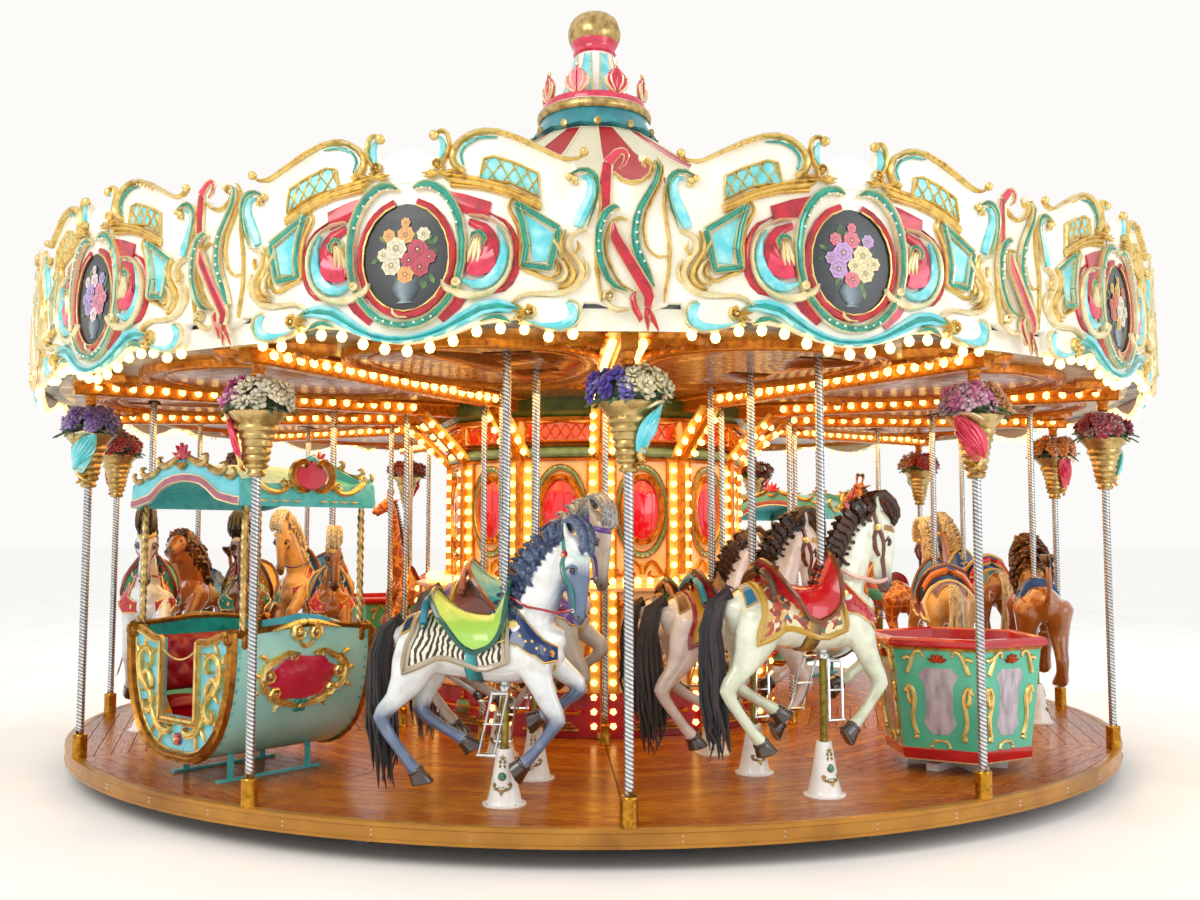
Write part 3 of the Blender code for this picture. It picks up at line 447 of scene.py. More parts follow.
# Geometry Nodes: rows of lamps, twisted tubes, silk blossoms and rings of copies

def new_tree(name, sockets):
    """A tree with geometry in and out and named inputs, each (name, socket type, value)."""
    tree = bpy.data.node_groups.new(name, "GeometryNodeTree")
    tree.interface.new_socket("Geometry", in_out="INPUT", socket_type="NodeSocketGeometry")
    for label, kind, value in sockets:
        made = tree.interface.new_socket(label, in_out="INPUT", socket_type=kind)
        if value is not None:
            made.default_value = value
    tree.interface.new_socket("Geometry", in_out="OUTPUT", socket_type="NodeSocketGeometry")
    return tree


def grow(tree, seed, values):
    """Runs a tree on a seed mesh with its inputs set by identifier, and gives the result as a plain mesh."""
    obj = bpy.data.objects.new("seed", seed)
    bpy.context.scene.collection.objects.link(obj)
    made = obj.modifiers.new("grow", "NODES")
    made.node_group = tree
    for item in tree.interface.items_tree:
        if item.in_out == "INPUT" and item.name in values:
            made[item.identifier] = values[item.name]
    mesh = bpy.data.meshes.new_from_object(obj.evaluated_get(bpy.context.evaluated_depsgraph_get()))
    bpy.data.objects.remove(obj)
    return mesh


def calc(tree, operation, *values):
    return add(tree, "ShaderNodeMath", dict(enumerate(values)), operation=operation).outputs[0]


def lamp_tree():
    """A holder and a bulb on every point, turned to the point's aim."""
    tree = new_tree("lamps_on_points", (("Bulb radius", "NodeSocketFloat", 0.03), ("Holder length", "NodeSocketFloat", 0.045),
                                        ("Holder radius", "NodeSocketFloat", 0.026), ("Sides", "NodeSocketInt", 6), ("Rings", "NodeSocketInt", 4),
                                        ("Holder finish", "NodeSocketMaterial", None), ("Bulb finish", "NodeSocketMaterial", None)))
    given = add(tree, "NodeGroupInput").outputs
    aim = add(tree, "GeometryNodeInputNamedAttribute", {"Name": "aim"}, data_type="FLOAT_VECTOR").outputs["Attribute"]
    turn = add(tree, "FunctionNodeAlignRotationToVector", {"Vector": aim}, axis="Z").outputs[0]
    cone = add(tree, "GeometryNodeMeshCone", {"Vertices": given["Sides"], "Radius Top": given["Holder radius"], "Radius Bottom": 0.011,
                                              "Depth": given["Holder length"]}).outputs[0]
    ball = add(tree, "GeometryNodeMeshUVSphere", {"Segments": given["Sides"], "Rings": given["Rings"], "Radius": given["Bulb radius"]}).outputs[0]
    drop = add(tree, "ShaderNodeCombineXYZ", {"Z": given["Holder length"]}).outputs[0]
    ball = add(tree, "GeometryNodeTransform", {"Geometry": ball, "Translation": drop, "Scale": (1, 1, 1.12)}).outputs[0]
    joined = add(tree, "GeometryNodeJoinGeometry")
    for part, finish_ in ((cone, "Holder finish"), (ball, "Bulb finish")):
        placed = add(tree, "GeometryNodeInstanceOnPoints", {"Points": given["Geometry"], "Instance": part, "Rotation": turn}).outputs[0]
        smooth = add(tree, "GeometryNodeSetShadeSmooth", {0: placed}).outputs[0]
        whole = add(tree, "GeometryNodeRealizeInstances", {"Geometry": smooth}).outputs[0]
        dressed = add(tree, "GeometryNodeSetMaterial", {"Geometry": whole, "Material": given[finish_]}).outputs[0]
        tree.links.new(dressed, joined.inputs[0])
    add(tree, "NodeGroupOutput", {0: joined.outputs[0]})
    return tree


def twist_tree():
    """A tube pressed into slanting ribs, standing on z 0; its lead is a whole number of ribs."""
    tree = new_tree("twisted_tube", (("Radius", "NodeSocketFloat", 0.029), ("Height", "NodeSocketFloat", 1.0), ("Rib pitch", "NodeSocketFloat", 0.021),
                                     ("Rib depth", "NodeSocketFloat", 0.0025), ("Ribs per turn", "NodeSocketFloat", 3.0), ("Sides", "NodeSocketInt", 12),
                                     ("Rows", "NodeSocketInt", 300), ("Finish", "NodeSocketMaterial", None)))
    given = add(tree, "NodeGroupInput").outputs
    grid = add(tree, "GeometryNodeMeshGrid", {"Size X": 1.0, "Size Y": 1.0, "Vertices X": given["Sides"], "Vertices Y": given["Rows"]}).outputs[0]
    place = add(tree, "ShaderNodeSeparateXYZ", {0: add(tree, "GeometryNodeInputPosition").outputs[0]}).outputs
    turn = calc(tree, "MULTIPLY", place[0], 2 * math.pi)
    up = calc(tree, "MULTIPLY", calc(tree, "ADD", place[1], 0.5), given["Height"])
    phase = calc(tree, "MULTIPLY", calc(tree, "DIVIDE", up, given["Rib pitch"]), 2 * math.pi)
    radius = calc(tree, "MULTIPLY_ADD", calc(tree, "COSINE", phase), given["Rib depth"], given["Radius"])
    lead = calc(tree, "MULTIPLY", given["Rib pitch"], given["Ribs per turn"])
    z = calc(tree, "MULTIPLY_ADD", place[0], lead, up)
    x = calc(tree, "MULTIPLY", calc(tree, "SINE", turn), radius)
    y = calc(tree, "MULTIPLY", calc(tree, "COSINE", turn), radius)
    moved = add(tree, "GeometryNodeSetPosition", {"Geometry": grid, "Position": add(tree, "ShaderNodeCombineXYZ", {0: x, 1: y, 2: z}).outputs[0]}).outputs[0]
    closed = add(tree, "GeometryNodeMergeByDistance", {"Geometry": moved, "Distance": 0.0002}).outputs[0]
    whole = add(tree, "GeometryNodeRealizeInstances", {"Geometry": closed}).outputs[0]
    add(tree, "NodeGroupOutput", {0: add(tree, "GeometryNodeSetMaterial", {"Geometry": whole, "Material": given["Finish"]}).outputs[0]})
    return tree


def fan(tree, part, count, start):
    """Copies of one part fanned round Z."""
    line = add(tree, "GeometryNodeMeshLine", {"Count": count, "Offset": (0, 0, 0)}).outputs[0]
    index = add(tree, "GeometryNodeInputIndex").outputs[0]
    step = calc(tree, "DIVIDE", 2 * math.pi, count)
    turn = add(tree, "ShaderNodeCombineXYZ", {2: calc(tree, "MULTIPLY_ADD", index, step, start)}).outputs[0]
    return add(tree, "GeometryNodeInstanceOnPoints", {"Points": line, "Instance": part, "Rotation": turn}).outputs[0]


def blossom_tree():
    """A double silk blossom on every point, turned to its aim; its size and colour ride on the point."""
    tree = new_tree("silk_blossoms", (("Petals", "NodeSocketInt", 5), ("Finish", "NodeSocketMaterial", None)))
    given = add(tree, "NodeGroupInput").outputs
    petal = add(tree, "GeometryNodeMeshUVSphere", {"Segments": 6, "Rings": 2, "Radius": 1.0}).outputs[0]
    outer = add(tree, "GeometryNodeTransform", {"Geometry": petal, "Translation": (0.55, 0, 0.0), "Rotation": (0, -0.35, 0), "Scale": (0.52, 0.44, 0.13)}).outputs[0]
    inner = add(tree, "GeometryNodeTransform", {"Geometry": petal, "Translation": (0.24, 0, 0.3), "Rotation": (0, -0.9, 0), "Scale": (0.34, 0.32, 0.12)}).outputs[0]
    joined = add(tree, "GeometryNodeJoinGeometry")
    for part, count, start in ((outer, given["Petals"], 0.0), (inner, 3, 0.6)):
        tree.links.new(fan(tree, part, count, start), joined.inputs[0])
    flower = add(tree, "GeometryNodeRealizeInstances", {"Geometry": joined.outputs[0]}).outputs[0]
    aim = add(tree, "GeometryNodeInputNamedAttribute", {"Name": "aim"}, data_type="FLOAT_VECTOR").outputs["Attribute"]
    size = add(tree, "GeometryNodeInputNamedAttribute", {"Name": "size"}, data_type="FLOAT").outputs["Attribute"]
    turn = add(tree, "FunctionNodeAlignRotationToVector", {"Vector": aim}, axis="Z").outputs[0]
    placed = add(tree, "GeometryNodeInstanceOnPoints", {"Points": given["Geometry"], "Instance": flower, "Rotation": turn, "Scale": size}).outputs[0]
    smooth = add(tree, "GeometryNodeSetShadeSmooth", {0: placed}).outputs[0]
    whole = add(tree, "GeometryNodeRealizeInstances", {"Geometry": smooth}).outputs[0]
    add(tree, "NodeGroupOutput", {0: add(tree, "GeometryNodeSetMaterial", {"Geometry": whole, "Material": given["Finish"]}).outputs[0]})
    return tree


def ring_tree():
    """Copies of the seed round Z."""
    tree = new_tree("ring_of_copies", (("Copies", "NodeSocketInt", 12), ("First angle", "NodeSocketFloat", 0.0), ("Finish", "NodeSocketMaterial", None)))
    given = add(tree, "NodeGroupInput").outputs
    placed = fan(tree, given["Geometry"], given["Copies"], given["First angle"])
    whole = add(tree, "GeometryNodeRealizeInstances", {"Geometry": placed}).outputs[0]
    add(tree, "NodeGroupOutput", {0: add(tree, "GeometryNodeSetMaterial", {"Geometry": whole, "Material": given["Finish"]}).outputs[0]})
    return tree


LAMPS = lamp_tree()
TWIST = twist_tree()
BLOSSOMS = blossom_tree()
RING = ring_tree()


def points_mesh(places, aims, sizes=None, tones=None):
    """Loose points with an aim each, and a size and colour where given: the seed of lamps or blossoms."""
    mesh = bpy.data.meshes.new("points")
    mesh.from_pydata([tuple(p) for p in places], [], [])
    layer = mesh.attributes.new("aim", "FLOAT_VECTOR", "POINT")
    layer.data.foreach_set("vector", np.array(aims, np.float32).ravel())
    if sizes is not None:
        mesh.attributes.new("size", "FLOAT", "POINT").data.foreach_set("value", np.array(sizes, np.float32))
        mesh.color_attributes.new("paint", "FLOAT_COLOR", "POINT").data.foreach_set("color", np.array(tones, np.float32).ravel())
    return mesh


def ring_copies(mesh, copies, first, finish_):
    return grow(RING, mesh, {"Copies": copies, "First angle": math.radians(first), "Finish": finish_})


def lamps(name, places, aims, bulb=0.032, length=0.03, holder=0.024, sides=5, rings=3, holder_finish=None):
    values = {"Bulb radius": bulb, "Holder length": length, "Holder radius": holder, "Sides": sides, "Rings": rings, "Holder finish": holder_finish or brass,
              "Bulb finish": lamp_glass}
    return show(name, grow(LAMPS, points_mesh(places, aims), values))


def twisted(height, radius, depth, finish_, pitch=0.025, sides=10, per_rib=2):
    """A closed twisted tube of whole ribs, about as tall as asked, from z 0 up."""
    ribs = round(height / pitch)
    values = {"Radius": radius - depth, "Height": ribs * pitch, "Rib pitch": pitch, "Rib depth": depth, "Ribs per turn": 3.0, "Sides": sides + 1,
              "Rows": ribs * per_rib + 1, "Finish": finish_}
    mesh = grow(TWIST, points_mesh([(0, 0, 0)], [(0, 0, 1)]), values)
    bm = bmesh.new()
    bm.from_mesh(mesh)
    bmesh.ops.holes_fill(bm, edges=[e for e in bm.edges if e.is_boundary])
    bmesh.ops.recalc_face_normals(bm, faces=bm.faces)
    for face in bm.faces:
        face.smooth = True
    bm.to_mesh(mesh)
    bm.free()
    # Painted shade: the grooves between the ribs are darkened and the crests kept white
    layer = mesh.color_attributes.new("paint", "FLOAT_COLOR", "POINT")
    for vert, tone in zip(mesh.vertices, layer.data):
        crest = (math.hypot(vert.co.x, vert.co.y) - radius + 2 * depth) / (2 * depth)
        tone.color = (*[0.10 + 0.90 * min(max(crest, 0), 1)] * 3, 1)
    return mesh


def merged(name, parts):
    """Joins plain meshes, each with a matrix, into one mesh that keeps their finishes."""
    bm = bmesh.new()
    finishes = []
    for mesh, where in parts:
        copy = mesh.copy()
        copy.transform(where)
        slots = []
        for mat in copy.materials:
            if mat not in finishes:
                finishes.append(mat)
            slots.append(finishes.index(mat))
        for poly in copy.polygons:
            poly.material_index = slots[poly.material_index] if slots else 0
        bm.from_mesh(copy)
        bpy.data.meshes.remove(copy)
    mesh = bpy.data.meshes.new(name)
    bm.to_mesh(mesh)
    bm.free()
    for mat in finishes:
        mesh.materials.append(mat)
    return mesh


# Rounding boards: the curved ivory board, its carved frames and the still life in the oval

BOARD_TOP = ((-1.075, 3.42), (-1.055, 3.56), (-1.02, 3.61), (-0.97, 3.62), (-0.94, 3.68), (-0.88, 3.70), (-0.75, 3.76), (-0.6, 3.83),
             (-0.45, 3.86), (-0.35, 3.83), (-0.28, 3.76), (-0.235, 3.74), (-0.215, 3.84), (-0.19, 3.86), (-0.17, 3.75), (-0.13, 3.74), (-0.07, 3.785),
             (0.0, 3.80))
DIVIDER_TOP = ((1.075, 3.42), (1.095, 3.40), (1.11, 3.62), (1.15, 3.64), (1.175, 3.61), (1.22, 3.575), (1.27, 3.565), (1.32, 3.575),
               (1.365, 3.60), (1.39, 3.66), (1.42, 3.67), (1.44, 3.60), (1.464, 3.50))
BOARD_FOOT = ((-1.075, 2.90), (-1.0, 2.90), (-0.97, 2.79), (-0.92, 2.755), (-0.85, 2.745), (-0.75, 2.77), (-0.62, 2.815), (-0.5, 2.80),
              (-0.4, 2.79), (-0.3, 2.75), (-0.2, 2.72), (-0.1, 2.70), (0.0, 2.69))
DIVIDER_FOOT = ((1.075, 2.90), (1.16, 2.87), (1.27, 2.86), (1.38, 2.86), (1.464, 2.89))


def board_blank(art):
    """The ivory board itself, 60 mm thick, with a few columns bent round the drum."""
    top = list(BOARD_TOP) + [(-x, z) for x, z in reversed(BOARD_TOP[:-1])] + list(DIVIDER_TOP[1:])
    foot = list(BOARD_FOOT) + [(-x, z) for x, z in reversed(BOARD_FOOT[:-1])] + list(DIVIDER_FOOT[1:])
    stops = sorted({round(x, 3) for x, z in top} | {round(x, 3) for x, z in foot})
    rows = []
    for x in stops:
        low = np.interp(x, [p[0] for p in foot], [p[1] for p in foot])
        high = np.interp(x, [p[0] for p in top], [p[1] for p in top])
        rows.append([(x, low + 0.006, 0), (x, high - 0.006, 0), (x, high, -0.008), (x, high, -0.06), (x, low, -0.06), (x, low, -0.008)])
    art.rails(rows, ivory)
    # The cove strip that closes the gap below the dividers
    art.rails([[(x, 2.75, -0.05), (x, 2.875, -0.05), (x, 2.875, -0.06), (x, 2.75, -0.06)] for x in np.linspace(0.93, 1.61, 7)], ivory)


def board_half(art, m):
    """The carving that both halves of a board share; m is 1 for the right half and -1 for its mirror."""
    def f(path):
        return [(m * p[0],) + tuple(p[1:]) for p in path]

    # Crimson grounds behind the frames
    art.between(f([(0.24, 3.54), (0.36, 3.51), (0.49, 3.465)]), f([(0.27, 3.44), (0.36, 3.40), (0.47, 3.36)]), 0, 0.016, crimson)
    art.between(f([(0.17, 2.85), (0.24, 2.96), (0.28, 3.0)]), f([(0.22, 2.80), (0.31, 2.87), (0.36, 2.935)]), 0, 0.014, crimson)
    art.scroll(f([(0.49, 2.955, 0.006), (0.565, 2.985, 0.018), (0.617, 3.06, 0.022), (0.632, 3.16, 0.02), (0.62, 3.26, 0.016),
                  (0.57, 3.35, 0.012), (0.48, 3.405, 0.005)]), 0, 0.02, crimson)
    # Inner crimson band and pearl teal frame of the oval
    inner = [(0.275 * math.sin(a), 3.172 - 0.325 * math.cos(a), 0.021) for a in np.radians(np.linspace(0, 166, 12))]
    art.scroll(f(inner), 0.008, 0.022, crimson, steps=2)
    art.bead(f([(p[0] * 0.925, 3.172 + (p[1] - 3.172) * 0.935, 0.006) for p in inner]), 0.022, gold, steps=2)
    art.scroll(f([(0.045, 3.555, 0.010), (0.08, 3.575, 0.020), (0.14, 3.578, 0.026), (0.21, 3.54, 0.028), (0.275, 3.46, 0.028),
                  (0.315, 3.35, 0.027), (0.330, 3.22, 0.026), (0.322, 3.10, 0.024), (0.295, 3.0, 0.022), (0.24, 2.91, 0.024),
                  (0.16, 2.835, 0.026), (0.08, 2.797, 0.026), (0.0, 2.787, 0.026)]), 0.01, 0.036, teal, pale_gold, 0.007, steps=2)
    for u, v in ((0.10, 3.555), (0.15, 3.55), (0.20, 3.515), (0.245, 3.47), (0.275, 3.415), (0.30, 3.35), (0.16, 2.83), (0.115, 2.812),
                 (0.065, 2.80), (0.0, 2.79)):
        art.ball(m * u, v, 0.044, 0.0095, pearl, 3, 6)
    # Ear of the oval: turquoise crescent, pink body, gold C rim with its hook and volute
    art.between(f([(0.35, 3.08), (0.42, 3.055), (0.49, 3.085), (0.528, 3.16), (0.527, 3.26), (0.47, 3.34), (0.37, 3.375)]),
                f([(0.34, 3.05), (0.36, 3.14), (0.40, 3.16), (0.43, 3.18), (0.45, 3.22), (0.42, 3.30), (0.36, 3.34)]), 0.004, 0.024, crimson)
    art.between(f([(0.36, 3.06), (0.42, 3.05), (0.50, 3.075), (0.52, 3.13)]), f([(0.38, 3.16), (0.42, 3.155), (0.46, 3.17), (0.50, 3.20)]),
                0.012, 0.026, pink, 2)
    art.scroll(f([(0.335, 3.03, 0.012), (0.40, 3.005, 0.026), (0.475, 3.02, 0.034), (0.535, 3.085, 0.034), (0.562, 3.18, 0.026),
                  (0.548, 3.27, 0.012), (0.52, 3.325, 0.004)]), 0.012, 0.028, cyan, steps=2)
    art.scroll(f([(0.213, 3.035, 0.006), (0.235, 2.995, 0.022), (0.30, 2.96, 0.026), (0.38, 2.942, 0.024), (0.47, 2.955, 0.018),
                  (0.545, 3.005, 0.014), (0.594, 3.09, 0.012), (0.604, 3.20, 0.011), (0.575, 3.29, 0.010), (0.51, 3.355, 0.009),
                  (0.43, 3.388, 0.009), (0.365, 3.392, 0.008)]), 0.014, 0.034, pale_gold, steps=2)
    art.ball(m * 0.300, 3.018, 0.04, 0.028, pale_gold, 5, 10, 0.9)
    art.ball(m * 0.300, 3.018, 0.062, 0.013, gold, 4, 8)
    # Small shell in the ear
    for u0, u1, w in ((0.372, 0.392, 0.014), (0.398, 0.408, 0.014), (0.424, 0.424, 0.012)):
        art.scroll(f([(u0 - 0.008, 3.125, 0.006), (u0, 3.18, w), (u1, 3.235, w * 0.9), (u1 + 0.01, 3.262, 0.004)]), 0.02, 0.022, pale_gold, steps=2)
    art.scroll(f([(0.38, 3.24, 0.006), (0.392, 3.285, 0.012), (0.43, 3.295, 0.014), (0.458, 3.262, 0.014), (0.446, 3.222, 0.008)]),
               0.018, 0.03, teal, pale_gold, 0.004, steps=2)
    # Pediment: gold rim, teal line, lattice window and stepped cornice
    art.scroll(f([(0.335, 3.645, 0.020), (0.285, 3.675, 0.024), (0.262, 3.735, 0.020), (0.29, 3.80, 0.018), (0.36, 3.852, 0.018),
                  (0.45, 3.872, 0.017), (0.56, 3.855, 0.015), (0.68, 3.805, 0.014), (0.80, 3.742, 0.013), (0.89, 3.703, 0.012),
                  (0.96, 3.702, 0.010), (0.995, 3.722, 0.008)]), -0.004, 0.042, gold, steps=2)
    art.bead(f([(0.33, 3.68, 0.005), (0.31, 3.74, 0.008), (0.345, 3.80, 0.009), (0.43, 3.835, 0.008), (0.52, 3.83, 0.005)]), 0.012, teal, steps=2)
    art.ball(m * 1.003, 3.735, 0.022, 0.027, gold, 5, 10)
    for u, v, r in ((0.53, 3.848, 0.010), (0.57, 3.838, 0.011), (0.61, 3.824, 0.011), (0.65, 3.806, 0.011), (0.69, 3.788, 0.010)):
        art.ball(m * u, v - 0.012, 0.03, r, gold, 3, 6)
    art.plate(f([(0.425, 3.595), (0.445, 3.705), (0.50, 3.715), (0.62, 3.675), (0.74, 3.615), (0.752, 3.495), (0.60, 3.565), (0.50, 3.585)]),
              0, 0.008, cyan)
    frame_line = [(0.42, 3.59), (0.44, 3.712), (0.50, 3.724), (0.62, 3.684), (0.748, 3.622), (0.76, 3.485), (0.60, 3.568), (0.50, 3.588)]
    art.scroll(f([p + (0.008,) for p in frame_line]), 0.004, 0.02, gold, steps=1, closed=True)
    for a, b in (((0.43, 3.62), (0.475, 3.72)), ((0.46, 3.585), (0.56, 3.70)), ((0.545, 3.575), (0.635, 3.675)), ((0.62, 3.555), (0.70, 3.64)),
                 ((0.69, 3.52), (0.75, 3.60)), ((0.44, 3.70), (0.52, 3.585)), ((0.52, 3.715), (0.60, 3.57)), ((0.60, 3.69), (0.68, 3.53)),
                 ((0.68, 3.65), (0.74, 3.50))):
        art.scroll(f([a + (0.005,), b + (0.005,)]), 0.006, 0.012, gold, steps=1)
    for k, (lift, w) in enumerate(((0.030, 0.014), (0.0, 0.017), (-0.030, 0.013))):
        art.scroll(f([(0.17 + 0.05 * k, 3.618 + lift, 0.004), (0.26, 3.60 + lift, w), (0.42, 3.572 + lift * 0.8, w),
                      (0.56, 3.530 + lift * 0.7, w), (0.68, 3.478 + lift * 0.6, w), (0.765, 3.436 + lift * 0.5, w)]),
                   0.004, 0.036 - 0.008 * abs(k - 1), gold, steps=2)
    for a, length in ((200, 0.09), (170, 0.10), (140, 0.07), (15, 0.12), (-15, 0.09), (60, 0.06)):
        c, s = math.cos(math.radians(a)), math.sin(math.radians(a))
        art.scroll(f([(0.19, 3.635, 0.006), (0.19 + c * length * 0.5, 3.635 + s * length * 0.3, 0.014), (0.19 + c * length, 3.635 + s * length * 0.5, 0.003)]),
                   0.02, 0.026, gold, steps=2)
    # Finial with its cyan blade
    art.scroll(f([(0.205, 3.70, 0.012), (0.235, 3.75, 0.014), (0.245, 3.82, 0.014), (0.228, 3.872, 0.014), (0.195, 3.886, 0.012),
                  (0.172, 3.872, 0.008)]), -0.004, 0.036, gold, steps=2)
    art.scroll(f([(0.188, 3.70, 0.008), (0.205, 3.76, 0.020), (0.208, 3.81, 0.020), (0.19, 3.85, 0.010)]), 0.0, 0.022, cyan, steps=2)
    art.ball(m * 0.160, 3.858, 0.018, 0.030, gold, 5, 10)
    art.volute(m * 0.178, 3.692, 0.036, -60 if m > 0 else 240, 1.3, 0.008, gold, 0.34, 0.03, m)
    # Teal frame round the cyan window
    art.plate(f([(0.655, 3.405), (0.835, 3.285), (0.80, 3.13), (0.72, 3.125), (0.712, 3.22), (0.69, 3.32)]), 0.002, 0.008, cyan)
    rim = [(0.628, 3.455), (0.865, 3.305), (0.815, 3.085), (0.672, 3.105), (0.688, 3.21), (0.665, 3.34)]
    for k in range(6):
        a, b = rim[k], rim[(k + 1) % 6]
        art.scroll(f([a + (0.022,), b + (0.022,)]), 0.004, 0.03, teal, pale_gold, 0.006, steps=1)
    art.scroll(f([(0.622, 3.50, 0.006), (0.588, 3.45, 0.010), (0.592, 3.41, 0.012), (0.632, 3.34, 0.013), (0.655, 3.24, 0.013), (0.652, 3.10, 0.012),
                  (0.71, 3.07, 0.012), (0.80, 3.03, 0.012), (0.845, 3.03, 0.006)]), 0.002, 0.03, gold, steps=2)
    # Acanthus leaf with a rolled scroll
    blades = (((0.60, 2.893, 0.006), (0.645, 2.932, 0.012), (0.71, 2.950, 0.013), (0.80, 2.946, 0.016), (0.90, 2.956, 0.020), (0.965, 2.998, 0.022),
               (0.992, 3.065, 0.020), (0.965, 3.13, 0.018), (0.925, 3.18, 0.018), (0.915, 3.235, 0.017), (0.945, 3.28, 0.014), (1.015, 3.302, 0.006)),
              ((0.86, 2.975, 0.006), (0.915, 2.995, 0.016), (0.945, 3.05, 0.018), (0.925, 3.11, 0.016), (0.885, 3.17, 0.014), (0.875, 3.24, 0.012),
               (0.905, 3.30, 0.005)),
              ((0.835, 3.0, 0.005), (0.885, 3.02, 0.015), (0.905, 3.065, 0.015), (0.885, 3.115, 0.012), (0.855, 3.145, 0.004)),
              ((0.825, 3.035, 0.004), (0.86, 3.06, 0.013), (0.865, 3.10, 0.010), (0.845, 3.13, 0.003)),
              ((0.885, 3.14, 0.006), (0.868, 3.19, 0.012), (0.842, 3.235, 0.010), (0.83, 3.27, 0.003)),
              ((0.95, 3.16, 0.005), (0.975, 3.195, 0.012), (0.965, 3.235, 0.004)),
              ((0.985, 3.0, 0.004), (1.015, 3.04, 0.012), (1.018, 3.10, 0.010), (0.998, 3.15, 0.003)))
    for k, blade in enumerate(blades):
        art.scroll(f(blade), 0.004 + 0.006 * (k % 3), 0.042 - 0.003 * k, gold if k % 2 else pale_gold, steps=2)
    # Outer ear
    art.scroll(f([(0.985, 3.595, 0.006), (1.02, 3.60, 0.016), (1.045, 3.565, 0.026), (1.045, 3.51, 0.030), (1.02, 3.44, 0.034), (0.985, 3.37, 0.034),
                  (0.965, 3.32, 0.026)]), 0.002, 0.024, cyan, steps=2)
    art.scroll(f([(0.925, 3.605, 0.008), (0.965, 3.628, 0.012), (1.02, 3.632, 0.016), (1.065, 3.595, 0.018), (1.078, 3.53, 0.014), (1.068, 3.46, 0.010),
                  (1.045, 3.38, 0.007), (1.02, 3.315, 0.005)]), 0.006, 0.03, teal, pale_gold, 0.005, steps=2)
    for u, v, r in ((0.918, 3.598, 0.022), (0.948, 3.585, 0.020), (0.962, 3.560, 0.014), (0.935, 3.562, 0.012)):
        art.ball(m * u, v, 0.018, r, gold, 4, 8)
    art.scroll(f([(1.092, 3.55, 0.006), (1.096, 3.44, 0.011), (1.078, 3.32, 0.012), (1.066, 3.20, 0.012), (1.072, 3.07, 0.012), (1.092, 2.96, 0.010),
                  (1.095, 2.90, 0.006)]), 0.0, 0.026, gold, steps=2)
    # Rosette and white lobe with its turquoise crescent
    art.volute(m * 0.70, 2.842, 0.040, 100 if m > 0 else 80, 1.4, 0.014, gold, 0.34, 0.034, -m)
    for a in (150, 180, 210, 240):
        c, s = math.cos(math.radians(a)), math.sin(math.radians(a))
        art.scroll(f([(0.69, 2.85, 0.008), (0.69 + 0.05 * c, 2.85 + 0.05 * s, 0.011), (0.69 + 0.085 * c, 2.852 + 0.085 * s, 0.003)]), 0.012, 0.026, gold, steps=2)
    art.between(f([(0.64, 2.90), (0.70, 2.925), (0.80, 2.925), (0.90, 2.915), (0.965, 2.90)]), f([(0.64, 2.82), (0.72, 2.785), (0.82, 2.76), (0.92, 2.765), (0.975, 2.83)]),
                0.0, 0.014, ivory)
    art.scroll(f([(0.68, 2.795, 0.006), (0.77, 2.772, 0.014), (0.86, 2.766, 0.024), (0.925, 2.79, 0.030), (0.945, 2.84, 0.028), (0.925, 2.88, 0.020),
                  (0.905, 2.90, 0.006)]), 0.008, 0.022, cyan, steps=2)
    art.scroll(f([(0.62, 2.82, 0.004), (0.70, 2.785, 0.007), (0.80, 2.752, 0.008), (0.885, 2.742, 0.009), (0.955, 2.768, 0.010), (0.988, 2.83, 0.010),
                  (0.972, 2.89, 0.010), (0.925, 2.912, 0.008), (0.90, 2.892, 0.005)]), 0.004, 0.028, pale_gold, steps=2)


def board_middle(art):
    """What is not mirrored: the pale disc behind the top and the long turquoise ribbon along the foot."""
    art.between([(-0.14, 3.60), (-0.13, 3.71), (-0.08, 3.775), (0, 3.797)], [(0.14, 3.60), (0.13, 3.71), (0.08, 3.775), (0, 3.798)], 0, 0.006, ivory)
    art.scroll([(-0.665, 2.872, 0.006), (-0.60, 2.892, 0.026), (-0.52, 2.895, 0.040), (-0.42, 2.865, 0.040), (-0.32, 2.80, 0.034), (-0.22, 2.748, 0.026),
                (-0.11, 2.717, 0.022), (0.0, 2.712, 0.021), (0.11, 2.727, 0.022), (0.22, 2.762, 0.028), (0.32, 2.812, 0.036), (0.42, 2.865, 0.042),
                (0.52, 2.885, 0.040), (0.60, 2.872, 0.030), (0.665, 2.862, 0.006)], 0.004, 0.026, teal, cyan, 0.016, steps=2)
    for m in (1, -1):
        art.scroll([(m * 0.43, 2.798, 0.006), (m * 0.50, 2.826, 0.016), (m * 0.56, 2.815, 0.016), (m * 0.60, 2.79, 0.006)], 0.004, 0.022, teal,
                   pale_gold, 0.004, steps=2)
    art.scroll([(-0.07, 2.885, 0.005), (-0.062, 2.855, 0.009), (-0.03, 2.836, 0.008), (0.02, 2.833, 0.005)], 0.03, 0.012, pale_gold, steps=2)


